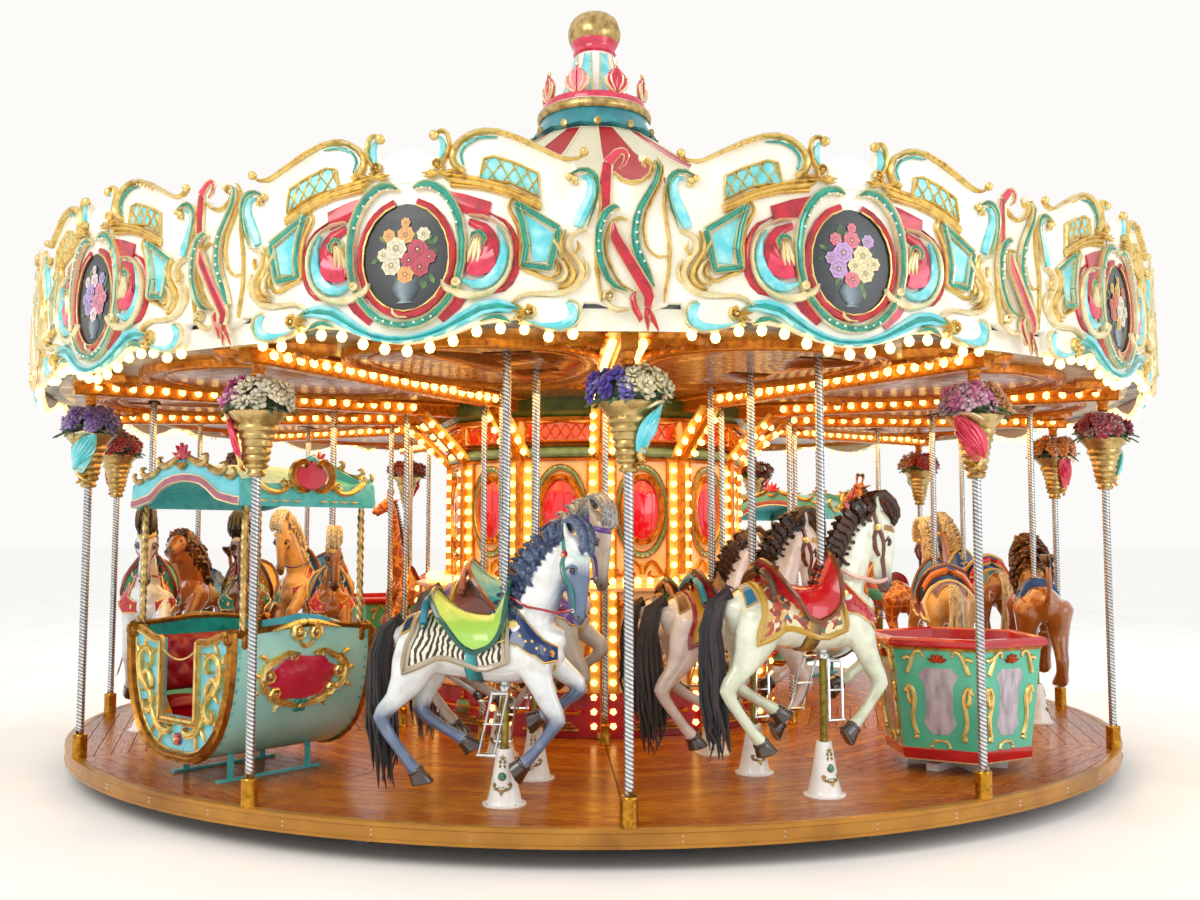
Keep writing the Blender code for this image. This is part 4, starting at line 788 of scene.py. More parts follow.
def divider(art, at):
    """The narrow panel between two boards: pearl scrolls and the crimson ribbon with forked tails."""
    def f(path):
        return [(at + p[0],) + tuple(p[1:]) for p in path]

    art.scroll(f([(-0.15, 3.40, 0.034), (-0.155, 3.50, 0.036), (-0.15, 3.60, 0.036), (-0.14, 3.675, 0.032)]), 0.004, 0.02, crimson, pale_gold, 0.006, steps=2)
    art.scroll(f([(-0.14, 3.675, 0.030), (-0.10, 3.72, 0.026), (-0.06, 3.742, 0.020), (-0.034, 3.72, 0.016), (-0.045, 3.675, 0.012),
                  (-0.075, 3.645, 0.006)]), 0.012, 0.02, pink, pale_gold, 0.005, steps=2)
    art.scroll(f([(-0.105, 3.625, 0.006), (-0.06, 3.585, 0.012), (0.0, 3.568, 0.013), (0.06, 3.585, 0.012), (0.10, 3.63, 0.011), (0.105, 3.675, 0.012),
                  (0.075, 3.70, 0.012), (0.055, 3.675, 0.008), (0.075, 3.655, 0.005)]), 0.0, 0.03, gold, steps=2)
    art.ball(at + 0.05, 3.70, 0.02, 0.022, pale_gold, 4, 8)
    art.scroll(f([(0.115, 3.69, 0.006), (0.142, 3.655, 0.016), (0.128, 3.58, 0.020), (0.085, 3.50, 0.022), (0.04, 3.42, 0.024), (0.015, 3.33, 0.026),
                  (0.012, 3.24, 0.027), (0.035, 3.15, 0.028), (0.075, 3.06, 0.026), (0.105, 2.98, 0.018)]), 0.010, 0.034, teal, pale_gold, 0.006, steps=2)
    art.scroll(f([(0.135, 3.71, 0.005), (0.168, 3.66, 0.008), (0.158, 3.58, 0.009), (0.112, 3.48, 0.009), (0.072, 3.39, 0.009), (0.062, 3.29, 0.009),
                  (0.085, 3.20, 0.009), (0.135, 3.155, 0.009), (0.185, 3.16, 0.006)]), 0.0, 0.024, gold, steps=2)
    for u, v in ((0.03, 3.39), (0.022, 3.335), (0.018, 3.28), (0.02, 3.225), (0.038, 3.17), (0.06, 3.12)):
        art.ball(at + u, v, 0.044, 0.0105, pearl, 3, 6)
    art.scroll(f([(-0.07, 3.415, 0.006), (-0.10, 3.425, 0.018), (-0.145, 3.395, 0.024), (-0.18, 3.32, 0.026), (-0.188, 3.23, 0.025), (-0.18, 3.14, 0.024),
                  (-0.15, 3.05, 0.022), (-0.10, 2.985, 0.018), (-0.03, 2.955, 0.006)]), 0.010, 0.034, teal, pale_gold, 0.006, steps=2)
    art.scroll(f([(-0.03, 3.36, 0.005), (-0.07, 3.37, 0.009), (-0.12, 3.335, 0.010), (-0.145, 3.26, 0.009), (-0.145, 3.17, 0.009), (-0.11, 3.07, 0.008),
                  (-0.06, 2.995, 0.007), (0.0, 2.965, 0.005)]), 0.004, 0.026, gold, steps=2)
    for u, v in ((-0.115, 3.385), (-0.155, 3.34), (-0.178, 3.285), (-0.188, 3.23), (-0.187, 3.175)):
        art.ball(at + u, v, 0.043, 0.0095, pearl, 3, 6)
    art.scroll(f([(-0.105, 3.335, 0.012), (-0.10, 3.26, 0.034), (-0.055, 3.17, 0.036), (0.0, 3.08, 0.038), (0.055, 2.99, 0.040), (0.085, 2.92, 0.036),
                  (0.075, 2.865, 0.026)]), 0.030, 0.026, crimson, pale_gold, 0.006, steps=2)
    art.scroll(f([(0.02, 2.955, 0.010), (0.0, 2.925, 0.022), (0.01, 2.865, 0.024), (0.04, 2.805, 0.020), (0.03, 2.785, 0.004)]), 0.012, 0.022, crimson,
               pale_gold, 0.005, steps=2)
    for drift in (-0.012, 0.036):
        art.scroll(f([(0.075, 2.875, 0.014), (0.08 + drift * 0.5, 2.82, 0.020), (0.092 + drift, 2.765, 0.012), (0.096 + drift * 1.3, 2.728, 0.002)]), 0.016,
                   0.022, crimson, pale_gold, 0.004, steps=2)
    art.scroll(f([(-0.15, 2.905, 0.010), (-0.115, 2.868, 0.018), (-0.07, 2.855, 0.018), (-0.02, 2.86, 0.008)]), 0.006, 0.03, pale_gold, steps=2)
    art.volute(at - 0.125, 2.93, 0.036, 200, 1.2, 0.008, pale_gold, 0.36, 0.034, -1)


# Still lifes for the ovals: a generic vase of garden flowers on dark slate, in four arrangements
PETAL_SETS = (("c8a0d8", "f0e4b0", "e87a8c"), ("e8c15a", "d86a4a", "f2ead0"), ("e48aa8", "f6dfe6", "b7a0e0"), ("e9e2c4", "c2455c", "f0b06a"))


def still_life(art, kind):
    """Painted petals as thin shells on a slate oval, their colour deepening towards each heart."""
    ring, across, up = 24, 0.256, 0.306
    points, paint, faces = [(0, 3.172, 0.010)], [linear("4c5257")], []
    for k, r in enumerate((0.35, 0.7, 1.0)):
        for i in range(ring):
            a = 2 * math.pi * i / ring
            points.append((across * r * math.sin(a), 3.172 - up * r * math.cos(a), 0.010))
            shade = ("4a5056", "33383e", "1c2025")[k]
            paint.append(linear(shade))
    faces += [(0, 1 + i, 1 + (i + 1) % ring) for i in range(ring)]
    for k in (0, 1):
        faces += [(1 + k * ring + i, 1 + (k + 1) * ring + i, 1 + (k + 1) * ring + (i + 1) % ring, 1 + k * ring + (i + 1) % ring) for i in range(ring)]
    back = len(points)
    points += [(p[0], p[1], 0.0) for p in points[-ring:]]
    paint += [linear("1c2025")] * ring
    faces += [(back - ring + i, back + i, back + (i + 1) % ring, back - ring + (i + 1) % ring) for i in range(ring)]
    faces.append([back + i for i in range(ring)][::-1])
    art.shell(points, faces, canvas_paint, paint)
    draw = random.Random(40 + kind)

    def petal(u, v, angle, length, width, dark, light, lift):
        c, s = math.cos(angle), math.sin(angle)
        outline = [(0.0, 0.0), (0.35, 0.42), (0.7, 0.5), (1.0, 0.0), (0.7, -0.5), (0.35, -0.42), (0.5, 0.0)]
        leaf = [(u + c * x * length - s * y * width, v + s * x * length + c * y * width, lift) for x, y in outline]
        leaf[6] = leaf[6][:2] + (lift - 0.004,)
        middle = "%02x%02x%02x" % tuple(int(0.4 * int(dark[i:i + 2], 16) + 0.6 * int(light[i:i + 2], 16)) for i in (0, 2, 4))
        art.shell(leaf, [(0, 1, 5), (1, 2, 4, 5), (2, 3, 4)] + [(6, (i + 1) % 6, i) for i in range(6)], canvas_paint,
                  [linear(tone) for tone in (dark, middle, light, light, light, middle, dark)])

    # Urn and table
    rows = [(2.915, 0.06), (2.93, 0.035), (2.96, 0.065), (3.00, 0.085), (3.035, 0.07), (3.05, 0.05)]
    art.rails([[(-w, v, 0.012), (-w * 0.4, v, 0.016), (w * 0.4, v, 0.016), (w, v, 0.012)] for v, w in rows], canvas_paint,
              paint=[linear(c) for v, w in rows for c in ("2c3a44", "8fa3ad", "566a78", "20292f")])
    for k in range(26):
        a = draw.uniform(0, 2 * math.pi)
        r = draw.uniform(0.05, 0.165)
        petal(r * math.cos(a), 3.18 + r * math.sin(a), a + draw.uniform(-0.6, 0.6), draw.uniform(0.05, 0.09), 0.028,
              "20301c", draw.choice(("4f7a3c", "6d8f4a", "35592f")), 0.0135)
    blooms = [(-0.085, 3.13, 0.060), (0.085, 3.115, 0.058), (0.0, 3.075, 0.052), (-0.055, 3.225, 0.066), (0.07, 3.215, 0.064), (0.0, 3.30, 0.054),
              (-0.13, 3.19, 0.04), (0.14, 3.17, 0.042), (-0.10, 3.30, 0.04), (0.105, 3.30, 0.042), (0.02, 3.155, 0.05), (0.0, 3.37, 0.03)]
    tones = PETAL_SETS[kind]
    for k, (u, v, size) in enumerate(blooms):
        light = tones[(k + kind) % 3]
        dark = "%02x%02x%02x" % tuple(int(int(light[i:i + 2], 16) * 0.42) for i in (0, 2, 4))
        lift = 0.015 + 0.0012 * (k % 4)
        turn = draw.uniform(0, 1)
        for layer, (count, reach) in enumerate(((7, 1.0), (5, 0.62))):
            for i in range(count):
                petal(u, v, turn + 2 * math.pi * (i + 0.5 * layer) / count, size * reach, size * reach * 0.95, dark, light, lift + 0.0016 * layer)
        art.ball(u, v, lift + 0.002, size * 0.12, gold, 2, 5, 0.5)


def rounding_boards():
    for kind in range(4):
        art = Carving(on_drum(BOARD_R))
        board_blank(art)
        board_half(art, 1)
        board_half(art, -1)
        board_middle(art)
        divider(art, math.radians(15) * BOARD_R)
        painting = Carving(on_drum(BOARD_R))
        still_life(painting, kind)
        mesh = merged("rounding_board", [(thinned(art.mesh("carving"), 0.56, 40), Matrix()), (painting.mesh("painting"), Matrix())])
        for k in range(kind, 12, 4):
            name = "rounding_board_%02d" % (k + 1)
            show("dressed_" + name, mesh, where=ring_about(15 + BAY * k), replaces=(name,))


rounding_boards()


# Animals of the ride: name, row, angle, lift; their poles decide where the sockets and slots go
RIDERS = (("horse_01", "outer", -10.4, -0.086), ("horse_02", "middle", -9.7, 0.080), ("horse_03", "inner", -19.0, -0.080),
          ("horse_04", "outer", 18.9, 0.085), ("horse_05", "middle", 17.6, 0.0), ("horse_06", "inner", 18.8, -0.020),
          ("lion_01", "outer", 75.3, 0.020), ("horse_07", "outer", 102, 0.050), ("horse_08", "middle", 84, -0.020), ("giraffe_01", "middle", 108, 0),
          ("horse_09", "outer", -75, 0.040), ("lion_02", "outer", -99, 0.060), ("horse_10", "middle", -84, 0.020),
          ("horse_11", "middle", -112, 0.060), ("horse_12", "inner", -77, 0), ("giraffe_02", "inner", -128, 0), ("horse_13", "outer", 165, -0.060),
          ("horse_14", "middle", 165, 0.080), ("horse_15", "outer", -165, 0.080), ("horse_16", "middle", -165, -0.060))
SLOT = (0.16, 0.05)


def lathe_part(art, profile, sides, finish_, where=None, closed=False):
    """A solid turned about Z, or a closed ring where the profile is one."""
    rows = turned_rows(profile, sides)
    if where is not None:
        rows = [[tuple(where @ Vector(p)) for p in row] for row in rows]
    art.rails(rows, finish_, closed=closed)


def dome(art, u, v, a, b, base, rise, finish_, sides=20):
    """A low oval cushion."""
    points, faces = [], []
    for scale, lift in ((1.0, 0.0), (1.0, 0.25), (0.86, 0.7), (0.5, 0.95)):
        points += [(u + a * scale * math.cos(t), v + b * scale * math.sin(t), base + rise * lift) for t in np.arange(sides) * 2 * math.pi / sides]
    points.append((u, v, base + rise))
    for k in range(3):
        faces += [(k * sides + i, k * sides + (i + 1) % sides, (k + 1) * sides + (i + 1) % sides, (k + 1) * sides + i) for i in range(sides)]
    faces += [(3 * sides + i, 3 * sides + (i + 1) % sides, 4 * sides) for i in range(sides)] + [list(range(sides))[::-1]]
    art.shell(points, faces, finish_)


def slab(art, lo, hi, finish_):
    """A plain block between two corners, with slightly eased long edges."""
    (x0, y0, z0), (x1, y1, z1) = lo, hi
    e = min(x1 - x0, y1 - y0, z1 - z0) * 0.18
    rows = [[(x0 + e, y, z0), (x1 - e, y, z0), (x1, y, z0 + e), (x1, y, z1 - e), (x1 - e, y, z1), (x0 + e, y, z1), (x0, y, z1 - e), (x0, y, z0 + e)]
            for y in (y0, y1)]
    art.rails(rows, finish_)


# Deck: planks laid across each section, the rim band with its screws, the sockets and the tub plates

def plank_sector():
    """One section's planks, from the middle to the rim, cut to the round deck."""
    art = Carving()
    pitch, tan = 0.118, math.tan(math.radians(15))
    near = 0.36
    while near < 4.49:
        far = min(near + pitch - 0.003, 4.49)

        def half(d):
            return min(d * tan, math.sqrt(max(4.49 ** 2 - d * d, 0))) - 0.004
        stops = [near, far] if far < 4.33 else list(np.linspace(near, far, 4))
        side = [(half(d), -d) for d in stops if half(d) > 0.01]
        if len(side) > 1:
            tone = rng.uniform(0.0, 1.0)
            colour = tuple(linear("b0640c")[k] * (1 - tone) + linear("d08c22")[k] * tone for k in range(3)) + (1,)
            outline = side + [(-x, y) for x, y in reversed(side)]
            before = len(art.points)
            art.plate(outline, -0.012, 0.012, plank_wood, 0.002)
            art.paint[before:] = [colour] * (len(art.points) - before)
        near += pitch
    mesh = art.mesh("planks", 30)
    uv = mesh.uv_layers.new(name="UVMap")
    for loop in mesh.loops:
        co = mesh.vertices[loop.vertex_index].co
        uv.data[loop.index].uv = (co.x, co.y)
    return mesh


def deck_pieces():
    art = Carving()
    lathe_part(art, [(0.35, -0.05), (0.35, -0.014), (4.50, -0.014), (4.50, -0.05)], 72, underside, closed=True)
    lathe_part(art, [(4.492, -0.11), (4.492, 0.0), (4.502, 0.004), (4.548, 0.004), (4.556, 0.0), (4.556, -0.022), (4.548, -0.028), (4.548, -0.088),
                     (4.556, -0.094), (4.556, -0.11)], 96, rim_bronze, closed=True)
    for angle in (41.15, 221.15):
        for k in range(3):
            a = math.radians(angle + 60 * k)
            corners = [(x * math.cos(a) - y * math.sin(a), x * math.sin(a) + y * math.cos(a)) for x, y in
                       ((-0.34, -0.045), (0.34, -0.045), (0.34, 0.045), (-0.34, 0.045))]
            centre = spot(3.75, angle).translation
            art.plate([(centre.x + x, centre.y + y) for x, y in corners], 0, 0.05 - 0.0001 * k, white_enamel, 0.004)
    screw = Carving()
    for z in (-0.045, -0.072):
        screw.points, screw.faces = screw.points, screw.faces
        screw.shell([(0.004 * math.sin(t) * 1.6, -4.548, z + 0.0064 * math.cos(t)) for t in np.arange(6) * math.pi / 3]
                    + [(0.003 * math.sin(t), -4.552, z + 0.004 * math.cos(t)) for t in np.arange(6) * math.pi / 3],
                    [(0, 1, 2, 3, 4, 5), (11, 10, 9, 8, 7, 6)] + [(i, i + 6, (i + 1) % 6 + 6, (i + 1) % 6) for i in range(6)], chrome)
    lift, socket = Matrix.Translation((0, 0, DECK)), thinned(socket_mesh(), 0.54)
    parts = [(art.mesh("deck_body"), lift), (ring_copies(plank_sector(), 12, 15, plank_wood), lift),
             (ring_copies(screw.mesh("screws"), 48, 3.75, chrome), lift)]
    parts += [(socket, spot(ROWS[row], angle)) for name, row, angle, lift_ in RIDERS]
    show("dressed_deck", merged("dressed_deck", parts), replaces=("deck",))


def socket_mesh():
    """The white enamelled cone that a pole's rod dips into, with its gilt ornament."""
    art = Carving()
    profile = [(0.034, 0.0), (0.135, 0.0), (0.135, 0.009), (0.130, 0.012), (0.112, 0.013), (0.106, 0.024), (0.086, 0.11), (0.070, 0.20), (0.057, 0.285),
               (0.0525, 0.325), (0.049, 0.334), (0.036, 0.335), (0.034, 0.30)]
    lathe_part(art, profile, 18, white_enamel, closed=True)
    # A near-black ring in the top of the bore: painted shadow round the rod
    lathe_part(art, [(0.026, 0.30), (0.034, 0.30), (0.034, 0.325), (0.026, 0.325)], 12, shadow, closed=True)
    for k in range(4):
        a = math.pi / 4 + k * math.pi / 2
        art.ball(0.121 * math.cos(a), 0.121 * math.sin(a), 0.013, 0.007, chrome, 3, 6)
    for turn in (0, math.pi):
        def lay(p, turn=turn):
            r = np.interp(p[:, 1], [0, 0.024, 0.11, 0.20, 0.305], [0.106, 0.106, 0.086, 0.070, 0.052]) + p[:, 2]
            a = p[:, 0] / 0.07 + turn
            return np.stack([r * np.sin(a), -r * np.cos(a), p[:, 1]], 1)
        trim = Carving(lay)
        for s in (-1, 1):
            trim.volute(s * 0.013, 0.262, 0.012, 90, 1.1, 0, antique_gold, 0.36, 0.008, -s)
            trim.volute(s * 0.012, 0.238, 0.010, 270, 1.0, 0, antique_gold, 0.36, 0.007, s)
            trim.scroll([(s * 0.004, 0.274, 0.003), (s * 0.016, 0.290, 0.005), (s * 0.024, 0.283, 0.002)], 0, 0.007, antique_gold, steps=2)
            trim.volute(s * 0.042, 0.132, 0.012, 0, 1.1, 0, antique_gold, 0.36, 0.008, s)
            trim.scroll([(s * 0.054, 0.128, 0.003), (s * 0.040, 0.108, 0.006), (s * 0.018, 0.100, 0.007), (0.0, 0.096, 0.004)], 0, 0.008, antique_gold, steps=2)
            for u, v in ((0.034, 0.112), (0.020, 0.112), (0.008, 0.116)):
                trim.ball(s * u, v, 0.002, 0.0055, moss, 3, 6)
        trim.scroll([(0, 0.272, 0.004), (0, 0.290, 0.007), (0, 0.306, 0.002)], 0, 0.008, antique_gold, steps=2)
        trim.scroll([(0, 0.105, 0.008), (0, 0.088, 0.010), (0, 0.070, 0.002)], 0, 0.009, antique_gold, steps=2)
        dome(trim, 0, 0.178, 0.021, 0.021, 0.0, 0.010, green_gem, 12)
        trim.bead([(0.023 * math.cos(a), 0.178 + 0.023 * math.sin(a), 0.003) for a in np.arange(12) * math.pi / 6], 0.001, antique_gold, 1, closed=True, sides=4)
        base = len(art.points)
        art.points += trim.points
        art.paint += trim.paint
        for face, mark in zip(trim.faces, trim.marks):
            mat = trim.finishes[mark]
            if mat not in art.finishes:
                art.finishes.append(mat)
            art.faces.append([base + i for i in face])
            art.marks.append(art.finishes.index(mat))
    return art.mesh("socket", 35)


# Rim posts: brass foot, twisted tube, ribbed vase with its feather leaf, and a silk bouquet

BOUQUETS = (("5a3cc4", "f4ecb8"), ("e27ab0", "f0a860"), ("b81848", "f4ece0"), ("f0922a", "f6d23c"), ("c81c28", "e8b0a0"), ("8e1426", "d84860"),
            ("6a48b8", "f2e6a0"), ("941a2c", "e46a50"), ("f0c83c", "8a4a2a"), ("e88aa8", "c4203a"), ("f4e690", "8050b8"), ("c83a92", "f6eecc"))


def vase_parts(side, leaf_finish):
    """The vase round a post, and the feather leaf that wraps its flank; side is 1 for the right and -1 for the left."""
    art = Carving()
    profile = [(0.036, 1.985), (0.052, 1.99), (0.060, 2.005), (0.050, 2.022), (0.050, 2.032), (0.070, 2.045), (0.074, 2.058), (0.064, 2.072)]
    for r, z in ((0.082, 2.100), (0.087, 2.142), (0.096, 2.186), (0.109, 2.232), (0.128, 2.280)):
        profile += [(r - 0.014, z - 0.022), (r - 0.003, z - 0.013), (r, z), (r - 0.003, z + 0.013)]
    profile += [(0.120, 2.304), (0.134, 2.322), (0.156, 2.348), (0.174, 2.368), (0.180, 2.380), (0.176, 2.388), (0.150, 2.36), (0.036, 2.345)]
    lathe_part(art, profile, 20, antique_gold)

    def lay(p):
        radius = np.interp(p[:, 1], [2.03, 2.10, 2.20, 2.32, 2.40], [0.075, 0.095, 0.125, 0.155, 0.185]) + p[:, 2]
        turn = p[:, 0] / 0.12
        return np.stack([radius * np.sin(turn), -radius * np.cos(turn), p[:, 1]], 1)
    leaf = Carving(lay)
    leaf.between([(side * 0.045, 2.10), (side * 0.035, 2.16), (side * 0.045, 2.23), (side * 0.075, 2.29), (side * 0.12, 2.335), (side * 0.18, 2.38)],
                 [(side * 0.12, 2.09), (side * 0.16, 2.14), (side * 0.185, 2.20), (side * 0.20, 2.26), (side * 0.205, 2.32), (side * 0.20, 2.375)],
                 0.0, 0.022, leaf_finish, 4, 2)
    for k in range(6):
        t = k / 5
        leaf.scroll([(side * (0.05 + 0.04 * t), 2.115 + 0.02 * t, 0.005), (side * (0.07 + 0.06 * t), 2.19 - 0.01 * t, 0.010), (side * (0.10 + 0.085 * t), 2.28 - 0.05 * t, 0.010),
                     (side * (0.15 + 0.05 * t), 2.37 - 0.09 * t, 0.003)], 0.014, 0.018, leaf_finish, steps=2)
    leaf.scroll([(side * 0.16, 2.04, 0.006), (side * 0.11, 2.05, 0.014), (side * 0.07, 2.08, 0.016), (side * 0.08, 2.12, 0.013), (side * 0.12, 2.115, 0.008)], 0.004, 0.024, gold, steps=2)
    leaf.scroll([(side * 0.02, 2.02, 0.006), (side * 0.07, 2.03, 0.012), (side * 0.12, 2.07, 0.014), (side * 0.16, 2.08, 0.006)], 0.002, 0.02, brass, steps=2)
    leaf.scroll([(side * 0.07, 2.34, 0.005), (side * 0.11, 2.375, 0.012), (side * 0.16, 2.39, 0.010), (side * 0.19, 2.37, 0.005)], 0.01, 0.018, pale_gold, steps=2)
    return [art.mesh("vase", 35), thinned(leaf.mesh("leaf"), 0.7)]


def post_body():
    """Brass foot sleeve and twisted tube with an orange gilt cap under the batten."""
    art = Carving()
    lathe_part(art, [(0.034, 0.0), (0.052, 0.0), (0.054, 0.003), (0.053, 0.012), (0.0525, 0.150), (0.054, 0.156), (0.053, 0.164), (0.048, 0.170),
                     (0.034, 0.172), (0.020, 0.172)], 20, brass)
    lathe_part(art, [(0.020, 2.60), (0.034, 2.60), (0.040, 2.61), (0.040, 2.63), (0.034, 2.64), (0.044, 2.67), (0.046, 2.6797), (0.020, 2.6797)], 12, amber_gilt)
    tube = twisted(2.45, 0.031, 0.0028, silver_tube, sides=7, per_rib=2)
    return [(art.mesh("sleeves", 35), Matrix()), (tube, Matrix.Translation((0, 0, 0.17)))]


def bouquet(left, right, seed):
    """Silk blossoms heaped over the vase: one colour on each side, some pale mixed in, and leaves below."""
    pick = random.Random(seed)
    places, aims, sizes, tones = [], [], [], []
    for k in range(60):
        up = 1 - 1.25 * (k + 0.5) / 60
        ring = math.sqrt(1 - min(up * up, 1))
        a = k * 2.39996 + pick.uniform(-0.25, 0.25)
        way = Vector((ring * math.cos(a), ring * math.sin(a), up))
        spread = pick.uniform(0.86, 1.08)
        p = Vector((way.x * 0.222, way.y * 0.180, 0.085 + way.z * 0.130)) * spread
        if math.hypot(p.x, p.y) < 0.062:
            continue
        hue = linear(left if p.x < pick.uniform(-0.03, 0.03) else right)
        pale = pick.choice((0, 0, 0.12, 0.3, 0.5)) if p.x < 0 else pick.choice((0, 0.1, 0.25))
        dark = pick.uniform(0.75, 1.1)
        places.append(p + Vector((0, 0, 2.37)))
        aims.append(tuple(way + Vector((0, 0, 0.25))))
        sizes.append(pick.uniform(0.048, 0.068))
        tones.append([min(1, (hue[i] * (1 - pale) + pale * 0.85) * dark) for i in range(3)] + [1])
    flowers = grow(BLOSSOMS, points_mesh(places, aims, sizes, tones), {"Petals": 5, "Finish": silk})
    art = Carving()
    for k in range(26):
        a = k * 2 * math.pi / 26 + pick.uniform(-0.12, 0.12)
        reach, drop = pick.uniform(0.20, 0.265), pick.uniform(-0.04, 0.05)
        c, s = math.cos(a), math.sin(a)
        tone = pick.choice(("2e6a22", "1f4f1c", "4a8a34", "6a7a4a"))
        before = len(art.points)
        rows = []
        for t, w in ((0.0, 0.006), (0.35, 0.026), (0.7, 0.022), (1.0, 0.003)):
            r = 0.08 + (reach - 0.08) * t
            z = 2.385 + drop * t + 0.03 * math.sin(t * 3)
            rows.append([(c * r - s * w, s * r + c * w, z), (c * r, s * r, z - 0.008), (c * r + s * w, s * r - c * w, z), (c * r, s * r, z - 0.012)])
        art.rails(rows, silk)
        art.paint[before:] = [linear(tone)] * (len(art.points) - before)
    # The dark foam that the stems stand in
    before = len(art.points)
    lathe_part(art, [(0.036, 2.34), (0.155, 2.37), (0.18, 2.42), (0.155, 2.49), (0.09, 2.535), (0.036, 2.545)], 12, silk)
    art.paint[before:] = [linear("26401c")] * (len(art.points) - before)
    return [(flowers, Matrix()), (art.mesh("greens"), Matrix())]


def rim_posts():
    body = post_body()
    for k in range(12):
        side, finish_ = ((1, cyan), (-1, pink))[k % 2]
        parts = body + [(mesh, Matrix()) for mesh in vase_parts(side, finish_)] + bouquet(*BOUQUETS[k], seed=20 + k)
        name = "dressed_rim_post_%02d" % (k + 1)
        show(name, merged(name, parts), where=spot(POST_R, 30 * k), replaces=("rim_post_%02d" % (k + 1),))


# Lighted battens under the ceiling, their knees, and the thin inner posts

def batten_parts():
    """One batten with its knee and the cream boards behind its lamps, whose yellow is painted lamplight, at the front.
    """
    art = Carving()
    art.rails([[(-0.05, -r, 2.69), (-0.038, -r, 2.68), (0.038, -r, 2.68), (0.05, -r, 2.69), (0.05, -r, 2.775), (-0.05, -r, 2.775)] for r in (1.40, 3.0, 4.62)], amber_gilt)
    # Cream boards whose yellow is painted lamplight from the bulbs beside them
    art.rails([[(-0.125, -r, 2.772), (0.125, -r, 2.772), (0.125, -r, 2.789), (-0.125, -r, 2.789)] for r in (1.50, 3.0, 4.62)], painted_lamplight_board)
    for m in (-1, 1):
        art.rails([[(m * 0.125, -r, 2.768), (m * 0.138, -r, 2.766), (m * 0.142, -r, 2.776), (m * 0.138, -r, 2.789), (m * 0.125, -r, 2.789)] for r in (1.50, 3.0, 4.62)], amber_gilt)
    knee = [(1.80, 2.70), (1.44, 2.36), (1.385, 2.30)]
    art.rails([[(-0.03, -r - 0.03, z - 0.03), (0.03, -r - 0.03, z - 0.03), (0.03, -r + 0.02, z + 0.04), (-0.03, -r + 0.02, z + 0.04)] for r, z in knee], amber_gilt)
    # The knee's cream board, yellow with painted lamplight
    art.rails([[(-0.105, -r, z - 0.005), (0.105, -r, z - 0.005), (0.105, -r + 0.012, z + 0.012), (-0.105, -r + 0.012, z + 0.012)] for r, z in knee], painted_lamplight_board)
    return art.mesh("batten", 30)


def light_sweeps():
    art = Carving()
    lathe_part(art, [(1.30, 2.62), (1.44, 2.62), (1.50, 2.68), (1.50, 2.7897), (1.30, 2.7897)], 12, moss, closed=True)
    lathe_part(art, [(1.44, 2.60), (1.47, 2.60), (1.47, 2.63), (1.44, 2.63)], 12, amber_gilt, closed=True)
    foot = Carving()
    lathe_part(foot, [(0.012, 0.0), (0.044, 0.0), (0.046, 0.008), (0.038, 0.02), (0.035, 0.13), (0.038, 0.15), (0.028, 0.165), (0.012, 0.165)], 10, brass)
    tube = twisted(2.52, 0.025, 0.0024, silver_tube, pitch=0.0315, sides=6, per_rib=2)
    parts = [(art.mesh("ring", 30), Matrix.Translation((0, 0, DECK)))]
    batten = batten_parts()
    for k in range(12):
        parts.append((batten, ring_about(30 * k) @ Matrix.Translation((0, 0, DECK))))
        parts.append((foot.mesh("foot"), spot(1.94, 30 * k)))
        parts.append((tube, spot(1.94, 30 * k, 0.16)))
    show("dressed_light_sweeps", merged("dressed_light_sweeps", parts), replaces=("light_sweeps",))


def sweep_lamps():
    """Lamps down both sides of each batten and knee, and down the housing's corners."""
    places, aims = [], []
    for k in range(12):
        turn = ring_about(30 * k)
        for m in (-1, 1):
            row = [((m * 0.082, -r, 2.768), (m * 0.3, 0, -1)) for r in np.arange(1.92, 4.58, 0.121)]
            row += [((m * 0.066, -(1.45 + 0.092 * j), 2.352 + 0.088 * j), (m * 0.7, -0.6, -0.6)) for j in range(4)]
            row += [((m * 0.070, -1.352, z), (m * 0.26, -1, 0)) for z in np.arange(1.38, 2.30, 0.115)]
            for p, d in row:
                places.append(turn @ Vector(p) + Vector((0, 0, DECK)))
                aims.append(turn @ Vector(d))
    lamps("batten_lamps", places, aims)


# Ceiling: one big oval tray for each section, with slots for the poles and a gilt rim that ends in hooks

def ceiling_oval(scale, steps=36):
    """Points (along, -radius) of a section's oval, which widens outwards."""
    out = []
    for k in range(steps):
        t = 2 * math.pi * k / steps
        r = 3.36 + 1.04 * scale * math.cos(t)
        out.append((0.80 * (r / 3.36) * scale * math.sin(t), -r))
    return out


